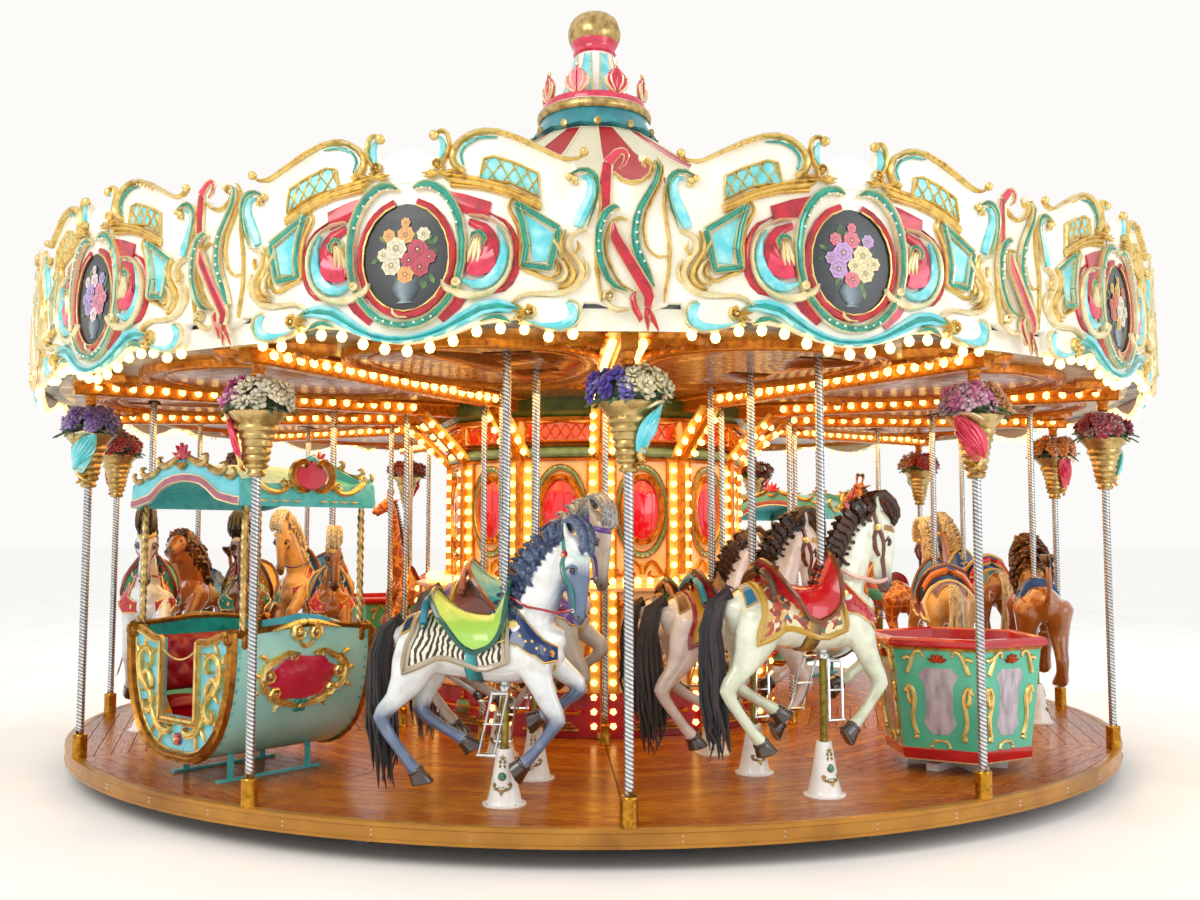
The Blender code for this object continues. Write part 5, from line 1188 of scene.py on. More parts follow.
def ceiling_trays():
    cutters = Carving()
    for name, row, angle, lift in RIDERS:
        x, y = SLOT
        place = spot(ROWS[row], angle, 2.70)
        box = [tuple(place @ Vector(p)) for p in ((-x, -y, 0), (x, -y, 0), (x, y, 0), (-x, y, 0), (-x, -y, 0.2), (x, -y, 0.2), (x, y, 0.2), (-x, y, 0.2))]
        cutters.shell(box, [(3, 2, 1, 0), (4, 5, 6, 7), (0, 1, 5, 4), (1, 2, 6, 5), (2, 3, 7, 6), (3, 0, 4, 7)], shadow)
    tool = bpy.data.objects.new("slot_tool", cutters.mesh("slot_tool"))
    bpy.context.scene.collection.objects.link(tool)
    for k in range(12):
        turn = ring_about(15 + 30 * k) @ Matrix.Translation((0, 0, DECK + 2.7895))
        down = Carving(lambda p: np.stack([p[:, 0], p[:, 1], -p[:, 2]], 1))
        down.plate(ceiling_oval(0.98), 0.0, 0.022, brown_bronze, 0.03)
        mesh = down.mesh("tray", 30)
        mesh.transform(turn)
        tray = bpy.data.objects.new("tray", mesh)
        bpy.context.scene.collection.objects.link(tray)
        cut = tray.modifiers.new("slots", "BOOLEAN")
        cut.operation, cut.object, cut.solver = "DIFFERENCE", tool, "EXACT"
        plate = bpy.data.meshes.new_from_object(tray.evaluated_get(bpy.context.evaluated_depsgraph_get()))
        bpy.data.objects.remove(tray)
        art = Carving(lambda p: np.stack([p[:, 0], p[:, 1], -p[:, 2]], 1))
        art.scroll([(x, y, 0.034) for x, y in ceiling_oval(1.0, 30)], 0.0, 0.045, amber_gilt, amber_gilt, 0.01, steps=1, closed=True)
        art.bead([(x, y, 0.012) for x, y in ceiling_oval(0.86, 30)], 0.022, amber_gilt, steps=1, closed=True, sides=5)
        for m in (-1, 1):
            art.volute(m * 0.86, -4.20, 0.13, 90 - m * 60, 1.2, 0.0, amber_gilt, 0.3, 0.05, -m)
            art.volute(m * 0.42, -2.42, 0.11, 270 + m * 70, 1.2, 0.0, amber_gilt, 0.3, 0.05, m)
            art.scroll([(m * 0.66, -4.32, 0.01), (m * 0.86, -4.44, 0.04), (m * 1.02, -4.36, 0.035), (m * 1.06, -4.24, 0.008)], 0.0, 0.05, amber_gilt, steps=2)
            art.scroll([(m * 0.40, -2.52, 0.01), (m * 0.50, -2.34, 0.03), (m * 0.46, -2.20, 0.008)], 0.0, 0.045, amber_gilt, steps=2)
        name = "ceiling_oval_%02d" % (k + 1)
        show(name, merged(name, [(plate, Matrix()), (art.mesh("rim", 35), turn)]))
    bpy.data.objects.remove(tool)


# Centre housing: a twelve-sided drum with a ledge and a narrower storey above

def on_face(apothem):
    """Lays (along, height above deck, proud) on the flat face at the front."""
    return lambda p: np.stack([p[:, 0], -apothem - p[:, 2], p[:, 1] + DECK], 1)


def upper_face():
    art = Carving(on_face(1.323))
    dome(art, 0, 1.85, 0.155, 0.255, 0.004, 0.022, red_mirror, 28)
    ring = [(math.sin(t), math.cos(t)) for t in np.arange(28) * 2 * math.pi / 28]
    art.scroll([(0.178 * s, 1.85 + 0.282 * c, 0.024) for s, c in ring], 0.0, 0.034, amber_gilt, gold, 0.006, steps=1, closed=True)
    art.scroll([(0.222 * s, 1.835 + 0.372 * c, 0.014 + 0.018 * abs(c)) for s, c in ring], 0.0, 0.028, sage, amber_gilt, 0.006, steps=1, closed=True)
    for m in (-1, 1):
        for u, v in ((0.0, 2.215), (0.045, 2.208), (0.085, 2.19), (0.0, 1.455), (0.045, 1.462), (0.085, 1.48)):
            if u or m > 0:
                art.ball(m * u, v, 0.026, 0.010, pearl, 3, 6)
        art.volute(m * 0.055, 2.115, 0.028, 270, 1.2, 0.026, amber_gilt, 0.36, 0.02, m)
        art.volute(m * 0.055, 1.585, 0.028, 90, 1.2, 0.026, amber_gilt, 0.36, 0.02, -m)
        art.scroll([(m * 0.012, 1.30, 0.010), (m * 0.035, 1.37, 0.016), (m * 0.085, 1.41, 0.018), (m * 0.135, 1.365, 0.019), (m * 0.175, 1.305, 0.018),
                    (m * 0.23, 1.30, 0.014), (m * 0.25, 1.345, 0.008)], 0.0, 0.034, amber_gilt, gold, 0.005, steps=2)
        art.scroll([(m * 0.085, 1.33, 0.006), (m * 0.06, 1.30, 0.012), (m * 0.10, 1.28, 0.010), (m * 0.15, 1.285, 0.005)], 0.0, 0.026, amber_gilt, steps=2)
        art.ball(m * 0.225, 1.335, 0.014, 0.020, amber_gilt, 4, 8)
        art.volute(m * 0.285, 2.335, 0.050, 90, 1.1, 0.0, amber_gilt, 0.34, 0.05, -m)
        art.scroll([(m * 0.27, 2.445, 0.008), (m * 0.305, 2.49, 0.014), (m * 0.30, 2.55, 0.014), (m * 0.335, 2.61, 0.006)], 0.004, 0.034, amber_gilt, steps=2)
        art.ball(m * 0.285, 2.475, 0.03, 0.022, amber_gilt, 4, 8)
    art.scroll([(0, 1.30, 0.008), (0.0, 1.35, 0.02), (0.0, 1.40, 0.006)], 0.0, 0.04, gold, steps=2)
    art.bead([(-0.27, 2.335, 0.045), (0.27, 2.335, 0.045)], 0.012, sage, 1, sides=10)
    for v, w, rise in ((2.275, 0.014, 0.045), (2.395, 0.012, 0.06), (2.425, 0.016, 0.075)):
        art.scroll([(-0.325, v, w), (0.325, v, w)], 0.0, rise, amber_gilt, steps=1)
    art.plate([(-0.285, 2.445), (0.285, 2.445), (0.30, 2.53), (0.325, 2.60), (0.22, 2.575), (0.0, 2.585), (-0.22, 2.575), (-0.325, 2.60), (-0.30, 2.53)],
              0.0, 0.012, red_mirror)
    for k in range(7):
        u = -0.27 + 0.09 * k
        for d in (-1, 1):
            if abs(u + d * 0.04) < 0.3:
                art.scroll([(u - d * 0.04, 2.452, 0.007), (u + d * 0.04, 2.572, 0.007)], 0.008, 0.018, amber_gilt, steps=1)
    art.scroll([(-0.32, 2.60, 0.008), (-0.22, 2.582, 0.013), (-0.1, 2.592, 0.012), (0.0, 2.605, 0.016), (0.1, 2.592, 0.012), (0.22, 2.582, 0.013), (0.32, 2.60, 0.008)],
               0.004, 0.03, amber_gilt, steps=2)
    for u in (-0.2, -0.1, 0.0, 0.1, 0.2):
        art.ball(u, 2.612, 0.018, 0.014, amber_gilt, 3, 6)
    return art.mesh("upper_face", 35)


def lower_face():
    art = Carving(on_face(1.603))
    for m in (-1, 1):
        art.bead([(m * 0.275, 1.065, 0.010), (m * 0.292, 0.95, 0.014), (m * 0.298, 0.80, 0.017), (m * 0.290, 0.66, 0.018), (m * 0.255, 0.54, 0.018),
                  (m * 0.18, 0.475, 0.016), (m * 0.08, 0.455, 0.012), (0, 0.455, 0.010)], 0.010, amber_gilt, 2)
        art.ball(m * 0.270, 1.078, 0.02, 0.030, amber_gilt, 5, 8)
        art.volute(m * 0.315, 1.075, 0.032, 90, 1.1, 0.0, amber_gilt, 0.36, 0.03, m)
        art.bead([(m * 0.075, 0.58, 0.006), (m * 0.16, 0.56, 0.014), (m * 0.225, 0.60, 0.016), (m * 0.235, 0.66, 0.008)], 0.008, gold, 2)
        art.bead([(m * 0.03, 1.05, 0.008), (m * 0.10, 1.10, 0.012), (m * 0.19, 1.095, 0.012), (m * 0.245, 1.06, 0.006)], 0.008, amber_gilt, 2)
        art.scroll([(m * 0.405, 0.37, 0.010), (m * 0.405, 1.17, 0.010)], 0.0, 0.02, amber_gilt, steps=1)
        art.bead([(0, 0.205, 0.009), (m * 0.20, 0.205, 0.009), (m * 0.235, 0.205, 0.014), (m * 0.262, 0.205, 0.026)], 0.075, amber_gilt, 1)
    dome(art, 0, 0.86, 0.155, 0.19, 0.006, 0.05, sage, 24)
    ring = [(math.sin(t), math.cos(t)) for t in np.arange(24) * 2 * math.pi / 24]
    art.bead([(0.162 * s, 0.86 + 0.197 * c, 0.011) for s, c in ring], 0.010, amber_gilt, 1, closed=True)
    art.scroll([(-0.10, 0.62, 0.006), (-0.05, 0.58, 0.022), (0, 0.56, 0.026), (0.05, 0.58, 0.022), (0.10, 0.62, 0.006)], 0.004, 0.035, amber_gilt, gold, 0.005, steps=2)
    art.plate([(-0.422, 0.0), (0.422, 0.0), (0.422, 0.352), (-0.422, 0.352)], 0.0, 0.026, plinth_red, 0.008)
    art.scroll([(-0.42, 0.357, 0.008), (0.42, 0.357, 0.008)], 0.0, 0.034, amber_gilt, steps=1)
    dome(art, 0, 0.20, 0.085, 0.058, 0.024, 0.05, sage, 18)
    art.scroll([(-0.085, 0.155, 0.016), (0.085, 0.155, 0.016)], 0.024, 0.05, sage, amber_gilt, 0.005, steps=1)
    art.ball(0, 0.272, 0.045, 0.018, amber_gilt, 4, 8)
    art.ball(0, 0.303, 0.04, 0.013, amber_gilt, 4, 8)
    art.scroll([(0, 0.31, 0.010), (0, 0.335, 0.002)], 0.03, 0.016, amber_gilt, steps=1)
    for v, half, w in ((0.118, 0.17, 0.009), (0.092, 0.20, 0.009), (0.064, 0.23, 0.012)):
        art.scroll([(-half, v, w), (half, v, w)], 0.024, 0.035, gold, steps=1)
    return art.mesh("lower_face", 35)


def corner_column():
    """The orange strips and the cream boards of painted lamplight on a corner of both storeys, at the front."""
    art = Carving()
    for r, low, high in ((1.37, 1.27, 2.34), (1.66, 0.02, 1.19)):
        art.rails([[(-0.024, -r - 0.042, z), (0.024, -r - 0.042, z), (0.03, -r - 0.036, z), (0.03, -r + 0.02, z), (-0.03, -r + 0.02, z), (-0.03, -r - 0.036, z)]
                   for z in (low, high)], amber_gilt)
        for m in (-1, 1):
            lean = math.tan(math.radians(15))
            # Cream boards beside the corner lamps, yellow with painted lamplight
            art.rails([[(m * x, -r + x * lean - d, z) for x, d in ((0.025, 0.002), (0.025, 0.012), (0.112, 0.012), (0.112, 0.002))] for z in (low, high)], painted_lamplight_board)
            art.rails([[(m * x, -r + x * lean - d, z) for x, d in ((0.110, 0.0), (0.110, 0.022), (0.128, 0.022), (0.128, 0.0))] for z in (low, high)], amber_gilt)
        art.rails([[(-0.05, -r - 0.055, z), (0.05, -r - 0.055, z), (0.05, -r + 0.02, z), (-0.05, -r + 0.02, z)] for z in (low - 0.01, low + 0.035)], gold)
    return art.mesh("corner", 30)


def housing():
    art = Carving()
    outer = [(1.66, 0.0003), (1.66, 1.16), (1.69, 1.175), (1.69, 1.20), (1.62, 1.22), (1.37, 1.25), (1.37, 2.6797)]
    lathe_part(art, outer + [(1.33, 2.6797), (1.33, 1.21), (1.62, 1.12), (1.62, 0.0003)], 12, peach, closed=True)
    parts = [(art.mesh("drum", 30), Matrix.Translation((0, 0, DECK)))]
    faces = [thinned(upper_face(), 0.66), thinned(lower_face(), 0.66)]
    corner = corner_column()
    places, aims = [], []
    for k in range(12):
        parts += [(mesh, ring_about(15 + 30 * k)) for mesh in faces]
        parts.append((corner, ring_about(30 * k) @ Matrix.Translation((0, 0, DECK))))
        for u in np.arange(-0.33, 0.34, 0.11):
            places.append(ring_about(15 + 30 * k) @ Vector((u, -1.535, DECK + 1.228)))
            aims.append((0, 0, 1))
        for m in (-1, 1):
            for z in np.arange(0.10, 1.14, 0.115):
                places.append(ring_about(30 * k) @ Vector((m * 0.070, -1.66 + 0.070 * 0.268, DECK + z)))
                aims.append(ring_about(30 * k) @ Vector((m * 0.26, -1, 0)))
    show("dressed_housing", merged("dressed_housing", parts), replaces=("housing",))
    lamps("housing_lamps", places, aims, length=0.024)


# Canvas roof of 24 stripes, sagging a little between its seams

def roof():
    profile = [(0.56, 5.44), (1.20, 4.98), (2.10, 4.44), (3.30, 3.85), (4.77, 3.30)]
    radii = np.linspace(0.56, 4.77, 15)
    heights = np.interp(radii, [p[0] for p in profile], [p[1] for p in profile])
    art = Carving()
    for k in range(24):
        rows = []
        for r, z in zip(radii, heights):
            upper, lower = [], []
            for t in np.linspace(0, 1, 6):
                a = math.radians(15 * (k + t))
                sag = 0.05 * 4 * t * (1 - t) * math.sin(math.pi * min(1, (r - 0.56) / 4.1)) * 0.7
                upper.append((r * math.sin(a), -r * math.cos(a), z - sag + DECK))
                lower.append((r * math.sin(a), -r * math.cos(a), z - sag - 0.012 + DECK))
            rows.append(upper + lower[::-1])
        a = math.radians(15 * k)
        rows.append([(x * 4.775 / math.hypot(x, y), y * 4.775 / math.hypot(x, y), 3.2003 + DECK) for x, y, z in upper]
                    + [(x * 4.763 / math.hypot(x, y), y * 4.763 / math.hypot(x, y), 3.2003 + DECK) for x, y, z in lower[::-1]])
        art.rails(rows, red_canvas if k % 2 == 0 else cream_canvas)
        seam = []
        for r, z in zip(radii, heights):
            seam.append([((r + math.cos(b) * 0.0) * math.sin(a) + 0.011 * math.cos(b) * math.cos(a),
                          -r * math.cos(a) + 0.011 * math.cos(b) * math.sin(a), z + DECK + 0.004 + 0.008 * math.sin(b)) for b in np.arange(5) * 2 * math.pi / 5])
        art.rails(seam, cream_canvas)
    lathe_part(art, [(0.52, 5.415 + DECK), (0.57, 5.42 + DECK), (0.57, 5.44 + DECK), (0.52, 5.44 + DECK)], 24, cream_canvas, closed=True)
    canvas = show("striped_canvas_roof", art.mesh("roof", 60), replaces=("roof",))


# Cupola: scalloped teal skirt, ring of palmettes, white cone with turquoise strips and a gilt ball

def palmette():
    """One upright crest, facing the front."""
    art = Carving(lambda p: np.stack([p[:, 0], -0.49 - p[:, 2], p[:, 1] + DECK], 1))
    art.plate([(-0.05, 5.79), (0.05, 5.79), (0.085, 5.85), (0.125, 5.91), (0.10, 5.97), (0.055, 6.02), (0, 6.055), (-0.055, 6.02), (-0.10, 5.97), (-0.125, 5.91),
               (-0.085, 5.85)], -0.012, 0.024, pink, 0.006)
    for m in (-1, 1):
        for side in (0.010, -0.014):
            lift = 0.012 if side > 0 else -0.018
            art.scroll([(m * 0.02, 5.80, 0.008), (m * 0.075, 5.84, 0.014), (m * 0.115, 5.90, 0.014), (m * 0.105, 5.955, 0.010), (m * 0.075, 5.96, 0.004)], lift - 0.006, 0.016,
                       pale_gold, steps=2)
            art.scroll([(m * 0.012, 5.82, 0.006), (m * 0.05, 5.89, 0.012), (m * 0.065, 5.96, 0.010), (m * 0.035, 6.02, 0.004)], lift - 0.006, 0.016, pale_gold, steps=2)
    art.scroll([(0, 5.81, 0.010), (0, 5.90, 0.020), (0, 6.0, 0.014), (0, 6.05, 0.004)], -0.014, 0.034, crimson, steps=2)
    art.ball(0, 6.075, 0, 0.024, pale_gold, 5, 8)
    return art.mesh("palmette", 35)


def cupola():
    art = Carving()
    skirt, rows = 72, []
    for r, z, wave in ((0.50, 5.4403, 0), (0.575, 5.4403, 1), (0.605, 5.455, 1), (0.595, 5.49, 0.6), (0.555, 5.57, 0.25), (0.535, 5.64, 0), (0.50, 5.64, 0)):
        rows.append([((r + 0.02 * wave * abs(math.cos(6 * t))) * math.sin(t), -(r + 0.02 * wave * abs(math.cos(6 * t))) * math.cos(t),
                      z + DECK + 0.025 * wave * (1 - abs(math.cos(6 * t))) * (r > 0.56)) for t in np.arange(skirt) * 2 * math.pi / skirt])
    art.rails(rows, cupola_teal, closed=True)
    for low, high, finish_ in (([(0.50, 5.64), (0.548, 5.64), (0.562, 5.655), (0.568, 5.685), (0.562, 5.715), (0.545, 5.73), (0.50, 5.73)], 40, antique_gold),
                               ([(0.50, 5.73), (0.530, 5.732), (0.528, 5.742), (0.50, 5.744)], 40, pearl),
                               ([(0.30, 5.742), (0.512, 5.744), (0.516, 5.775), (0.508, 5.81), (0.38, 5.825), (0.30, 5.825)], 40, pink)):
        lathe_part(art, [(r, z + DECK) for r, z in low], high, finish_, closed=True)
    cone = [(0.0, 5.80), (0.38, 5.80), (0.372, 5.825), (0.345, 5.86), (0.30, 5.95), (0.262, 6.05), (0.228, 6.16), (0.203, 6.27), (0.193, 6.33), (0.0, 6.335)]
    lathe_part(art, [(r, z + DECK) for r, z in cone], 32, white_enamel)
    lathe_part(art, [(r, z + DECK) for r, z in ((0.0, 6.32), (0.20, 6.325), (0.215, 6.345), (0.21, 6.375), (0.215, 6.40), (0.235, 6.43), (0.24, 6.455), (0.0, 6.47))], 28, pink)
    lathe_part(art, [(r, z + DECK) for r, z in ((0.0, 6.45), (0.235, 6.452), (0.252, 6.48), (0.264, 6.53), (0.264, 6.58), (0.25, 6.64), (0.222, 6.69), (0.175, 6.73), (0.10, 6.755),
                                               (0.04, 6.762), (0.0, 6.765))], 28, antique_gold)

    def on_cone(p):
        r = np.interp(p[:, 1], [5.825, 5.86, 5.95, 6.05, 6.16, 6.27, 6.33], [0.372, 0.345, 0.30, 0.262, 0.228, 0.203, 0.193]) + p[:, 2]
        return np.stack([r * np.sin(p[:, 0] / 0.28), -r * np.cos(p[:, 0] / 0.28), p[:, 1] + DECK], 1)
    strips = Carving(on_cone)
    for k in range(8):
        u = 0.28 * math.radians(22.5 + 45 * k)
        strips.plate([(u - 0.075, 5.86), (u + 0.075, 5.86), (u + 0.06, 6.1), (u + 0.045, 6.30), (u - 0.045, 6.30), (u - 0.06, 6.1)], 0, 0.006, cyan, 0.004)
        for m in (-1, 1):
            strips.bead([(u + m * 0.078, 5.85, 0.009), (u + m * 0.063, 6.1, 0.008), (u + m * 0.048, 6.31, 0.007)], 0.002, gold, 2, sides=5)
        strips.bead([(u - 0.078, 5.855, 0.008), (u + 0.078, 5.855, 0.008)], 0.002, gold, 1, sides=5)
    discs = Carving()
    for k in range(12):
        a = math.radians(30 * k)
        turn = ring_about(30 * k)
        rim = [turn @ Vector((0.036 * math.cos(t), -0.628, 5.475 + DECK + 0.036 * math.sin(t))) for t in np.arange(12) * math.pi / 6]
        back = [turn @ Vector((0.036 * math.cos(t), -0.600, 5.475 + DECK + 0.036 * math.sin(t))) for t in np.arange(12) * math.pi / 6]
        tip = turn @ Vector((0, -0.642, 5.475 + DECK))
        discs.shell([tuple(p) for p in rim + back] + [tuple(tip)], [(i, (i + 1) % 12, 24) for i in range(12)] + [(i, i + 12, (i + 1) % 12 + 12, (i + 1) % 12) for i in range(12)]
                    + [list(range(12, 24))[::-1]], antique_gold)
    crest = palmette()
    parts = [(art.mesh("cupola_body", 35), Matrix()), (strips.mesh("strips", 35), Matrix()), (discs.mesh("discs", 35), Matrix())]
    parts += [(crest, ring_about(22.5 + 45 * k)) for k in range(8)]
    show("dressed_cupola", merged("dressed_cupola", parts), replaces=("cupola",))


# Lamps along the boards' scalloped feet

def board_lamps():
    places, aims = [], []
    foot = list(BOARD_FOOT) + [(-x, z) for x, z in reversed(BOARD_FOOT[:-1])]
    for k in range(12):
        for x in np.arange(-0.94, 0.95, 0.1343):
            z = np.interp(x, [p[0] for p in foot], [p[1] for p in foot])
            a = math.radians(15 + 30 * k) + x / BOARD_R
            places.append((4.815 * math.sin(a), -4.815 * math.cos(a), DECK + z + 0.006))
            aims.append((0.18 * math.sin(a), -0.18 * math.cos(a), -1))
    lamps("board_lamps", places, aims, bulb=0.031, length=0.046, holder=0.030, sides=8, rings=4, holder_finish=porcelain)


def carried_over():
    """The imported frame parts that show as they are, with their finish."""
    for name, finish_ in (("base_frame", frame_steel), ("centre_mast", frame_steel), ("turntable_frame", frame_steel), ("sweep_frame", frame_steel),
                          ("ceiling", bronze_panel)):
        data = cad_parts[name].data
        data.materials.clear()
        data.materials.append(finish_)


deck_pieces()
rim_posts()
light_sweeps()
sweep_lamps()
ceiling_trays()
housing()
roof()
cupola()
board_lamps()
carried_over()


# Animals: chains of stations (x forwards, y left, z up, radius, width factor) melted into one carved body

def legs(near, far):
    return [tuple((x, -0.12 if side < 0 else 0.12, z, r, w) for x, z, r, w in leg) for side, leg in near + far]


HORSE = [
    ((-0.67, 0, 0.10, 0.07, 0.9), (-0.61, 0, 0.085, 0.15, 0.95), (-0.50, 0, 0.06, 0.192, 1.0), (-0.36, 0, 0.035, 0.190, 1.0), (-0.20, 0, 0.01, 0.180, 1.03),
     (-0.05, 0, -0.005, 0.188, 1.03), (0.10, 0, 0.01, 0.198, 0.95), (0.22, 0, 0.05, 0.180, 0.88), (0.30, 0, 0.08, 0.13, 0.85), (0.345, 0, 0.09, 0.07, 0.8)),
    ((0.08, 0, 0.12, 0.165, 0.78), (0.155, 0, 0.23, 0.155, 0.62), (0.215, 0, 0.34, 0.136, 0.54), (0.262, 0, 0.45, 0.118, 0.50), (0.312, 0, 0.55, 0.102, 0.52),
     (0.37, 0, 0.63, 0.086, 0.56), (0.425, 0, 0.675, 0.070, 0.62)),
    ((0.41, 0, 0.69, 0.052, 0.85), (0.447, 0, 0.625, 0.078, 0.74), (0.466, 0, 0.545, 0.083, 0.68), (0.479, 0, 0.455, 0.070, 0.64), (0.484, 0, 0.37, 0.054, 0.68),
     (0.480, 0, 0.29, 0.044, 0.78), (0.474, 0, 0.225, 0.045, 0.84), (0.465, 0, 0.185, 0.036, 0.85)),
    ((0.425, -0.032, 0.56, 0.052, 1), (0.422, -0.034, 0.50, 0.058, 1), (0.420, -0.022, 0.42, 0.036, 1)),
    ((0.425, 0.032, 0.56, 0.052, 1), (0.422, 0.034, 0.50, 0.058, 1), (0.420, 0.022, 0.42, 0.036, 1)),
    ((0.09, -0.105, 0.14, 0.075, 0.9), (0.17, -0.12, 0.04, 0.080, 0.9), (0.255, -0.10, -0.03, 0.062, 0.9)),
    ((0.09, 0.105, 0.14, 0.075, 0.9), (0.17, 0.12, 0.04, 0.080, 0.9), (0.255, 0.10, -0.03, 0.062, 0.9)),
    ((-0.47, -0.10, 0.13, 0.09, 0.9), (-0.55, -0.125, 0.03, 0.092, 0.9), (-0.60, -0.125, -0.07, 0.072, 0.9)),
    ((-0.47, 0.10, 0.13, 0.09, 0.9), (-0.55, 0.125, 0.03, 0.092, 0.9), (-0.60, 0.125, -0.07, 0.072, 0.9)),
    ((0.05, 0, -0.08, 0.12, 1.0), (0.20, 0, -0.03, 0.13, 0.95), (0.30, 0, 0.02, 0.11, 0.95)),
    ((0.420, 0, 0.46, 0.038, 0.8), (0.415, 0, 0.37, 0.030, 0.85), (0.418, 0, 0.285, 0.025, 0.95), (0.425, 0, 0.232, 0.024, 1.0)),
    ((0.405, -0.038, 0.715, 0.024, 1), (0.398, -0.047, 0.765, 0.020, 1), (0.402, -0.050, 0.815, 0.007, 1)),
    ((0.405, 0.038, 0.715, 0.024, 1), (0.398, 0.047, 0.765, 0.020, 1), (0.402, 0.050, 0.815, 0.007, 1)),
    ((0.486, -0.024, 0.245, 0.018, 1), (0.492, -0.027, 0.215, 0.021, 1)),
    ((0.486, 0.024, 0.245, 0.018, 1), (0.492, 0.027, 0.215, 0.021, 1))]
HORSE += legs([(-1, ((0.16, 0.04, 0.125, 0.8), (0.20, -0.07, 0.108, 0.72), (0.245, -0.18, 0.080, 0.78), (0.29, -0.28, 0.066, 0.85), (0.335, -0.355, 0.056, 0.92),
                     (0.347, -0.392, 0.054, 0.96), (0.318, -0.44, 0.042, 1), (0.272, -0.50, 0.036, 1), (0.228, -0.555, 0.036, 1), (0.196, -0.592, 0.036, 1),
                     (0.167, -0.62, 0.040, 1), (0.142, -0.648, 0.046, 1)))],
              [(1, ((0.16, 0.05, 0.125, 0.8), (0.23, -0.03, 0.102, 0.75), (0.31, -0.10, 0.076, 0.82), (0.38, -0.155, 0.063, 0.9), (0.432, -0.196, 0.056, 0.95),
                    (0.440, -0.235, 0.053, 1), (0.402, -0.275, 0.042, 1), (0.342, -0.315, 0.036, 1), (0.287, -0.35, 0.036, 1), (0.256, -0.37, 0.047, 1),
                    (0.225, -0.387, 0.040, 1), (0.198, -0.403, 0.046, 1)))])
HORSE += legs([(-1, ((-0.50, 0.04, 0.155, 0.8), (-0.55, -0.09, 0.142, 0.66), (-0.60, -0.20, 0.102, 0.66), (-0.665, -0.29, 0.064, 0.75), (-0.724, -0.352, 0.058, 0.88),
                     (-0.746, -0.392, 0.054, 0.95), (-0.72, -0.452, 0.042, 1), (-0.665, -0.53, 0.037, 1), (-0.61, -0.60, 0.037, 1), (-0.577, -0.645, 0.037, 1),
                     (-0.547, -0.677, 0.041, 1), (-0.522, -0.707, 0.047, 1)))],
              [(1, ((-0.48, 0.04, 0.155, 0.8), (-0.50, -0.08, 0.142, 0.66), (-0.515, -0.18, 0.102, 0.66), (-0.535, -0.265, 0.064, 0.75), (-0.558, -0.333, 0.058, 0.88),
                    (-0.565, -0.372, 0.054, 0.95), (-0.532, -0.412, 0.042, 1), (-0.462, -0.457, 0.037, 1), (-0.392, -0.497, 0.037, 1), (-0.347, -0.52, 0.037, 1),
                    (-0.312, -0.541, 0.041, 1), (-0.280, -0.56, 0.047, 1)))])
HORSE_HOOVES = (((0.142, -0.12, -0.648), (0.105, -0.12, -0.69)), ((0.198, 0.12, -0.403), (0.150, 0.12, -0.432)),
                ((-0.522, -0.12, -0.707), (-0.492, -0.12, -0.755)), ((-0.280, 0.12, -0.56), (-0.236, 0.12, -0.595)))

LION = [
    ((-0.60, 0, 0.03, 0.08, 0.9), (-0.54, 0, 0.03, 0.135, 0.92), (-0.42, 0, 0.03, 0.165, 0.95), (-0.25, 0, -0.005, 0.150, 1.0), (-0.08, 0, -0.02, 0.160, 1.0),
     (0.08, 0, 0.01, 0.180, 0.95), (0.20, 0, 0.06, 0.180, 0.9), (0.29, 0, 0.10, 0.13, 0.9)),
    ((0.12, 0, 0.14, 0.18, 0.85), (0.20, 0, 0.26, 0.19, 0.8), (0.28, 0, 0.37, 0.175, 0.8), (0.36, 0, 0.45, 0.14, 0.9)),
    ((0.36, 0, 0.47, 0.125, 0.95), (0.43, 0, 0.475, 0.105, 0.95), (0.48, 0, 0.455, 0.085, 0.95), (0.53, 0, 0.425, 0.066, 0.95), (0.57, 0, 0.41, 0.055, 1.0)),
    ((0.40, 0, 0.38, 0.06, 1), (0.48, 0, 0.345, 0.045, 1), (0.53, 0, 0.33, 0.034, 1)),
    ((0.545, -0.028, 0.405, 0.036, 1), (0.575, -0.026, 0.39, 0.030, 1)), ((0.545, 0.028, 0.405, 0.036, 1), (0.575, 0.026, 0.39, 0.030, 1)),
    ((0.37, -0.085, 0.57, 0.03, 1), (0.36, -0.10, 0.61, 0.022, 1)), ((0.37, 0.085, 0.57, 0.03, 1), (0.36, 0.10, 0.61, 0.022, 1))]
LION += legs([(-1, ((0.16, 0.0, 0.12, 0.85), (0.19, -0.13, 0.095, 0.8), (0.225, -0.26, 0.072, 0.9), (0.27, -0.39, 0.058, 1), (0.30, -0.49, 0.052, 1), (0.325, -0.55, 0.058, 1.1),
                    (0.37, -0.575, 0.060, 1.15), (0.415, -0.59, 0.048, 1.2)))],
             [(1, ((0.18, 0.0, 0.12, 0.85), (0.27, -0.10, 0.095, 0.8), (0.36, -0.18, 0.072, 0.9), (0.44, -0.255, 0.058, 1), (0.50, -0.31, 0.053, 1), (0.535, -0.35, 0.058, 1.1),
                   (0.575, -0.37, 0.060, 1.15), (0.61, -0.38, 0.046, 1.2)))])
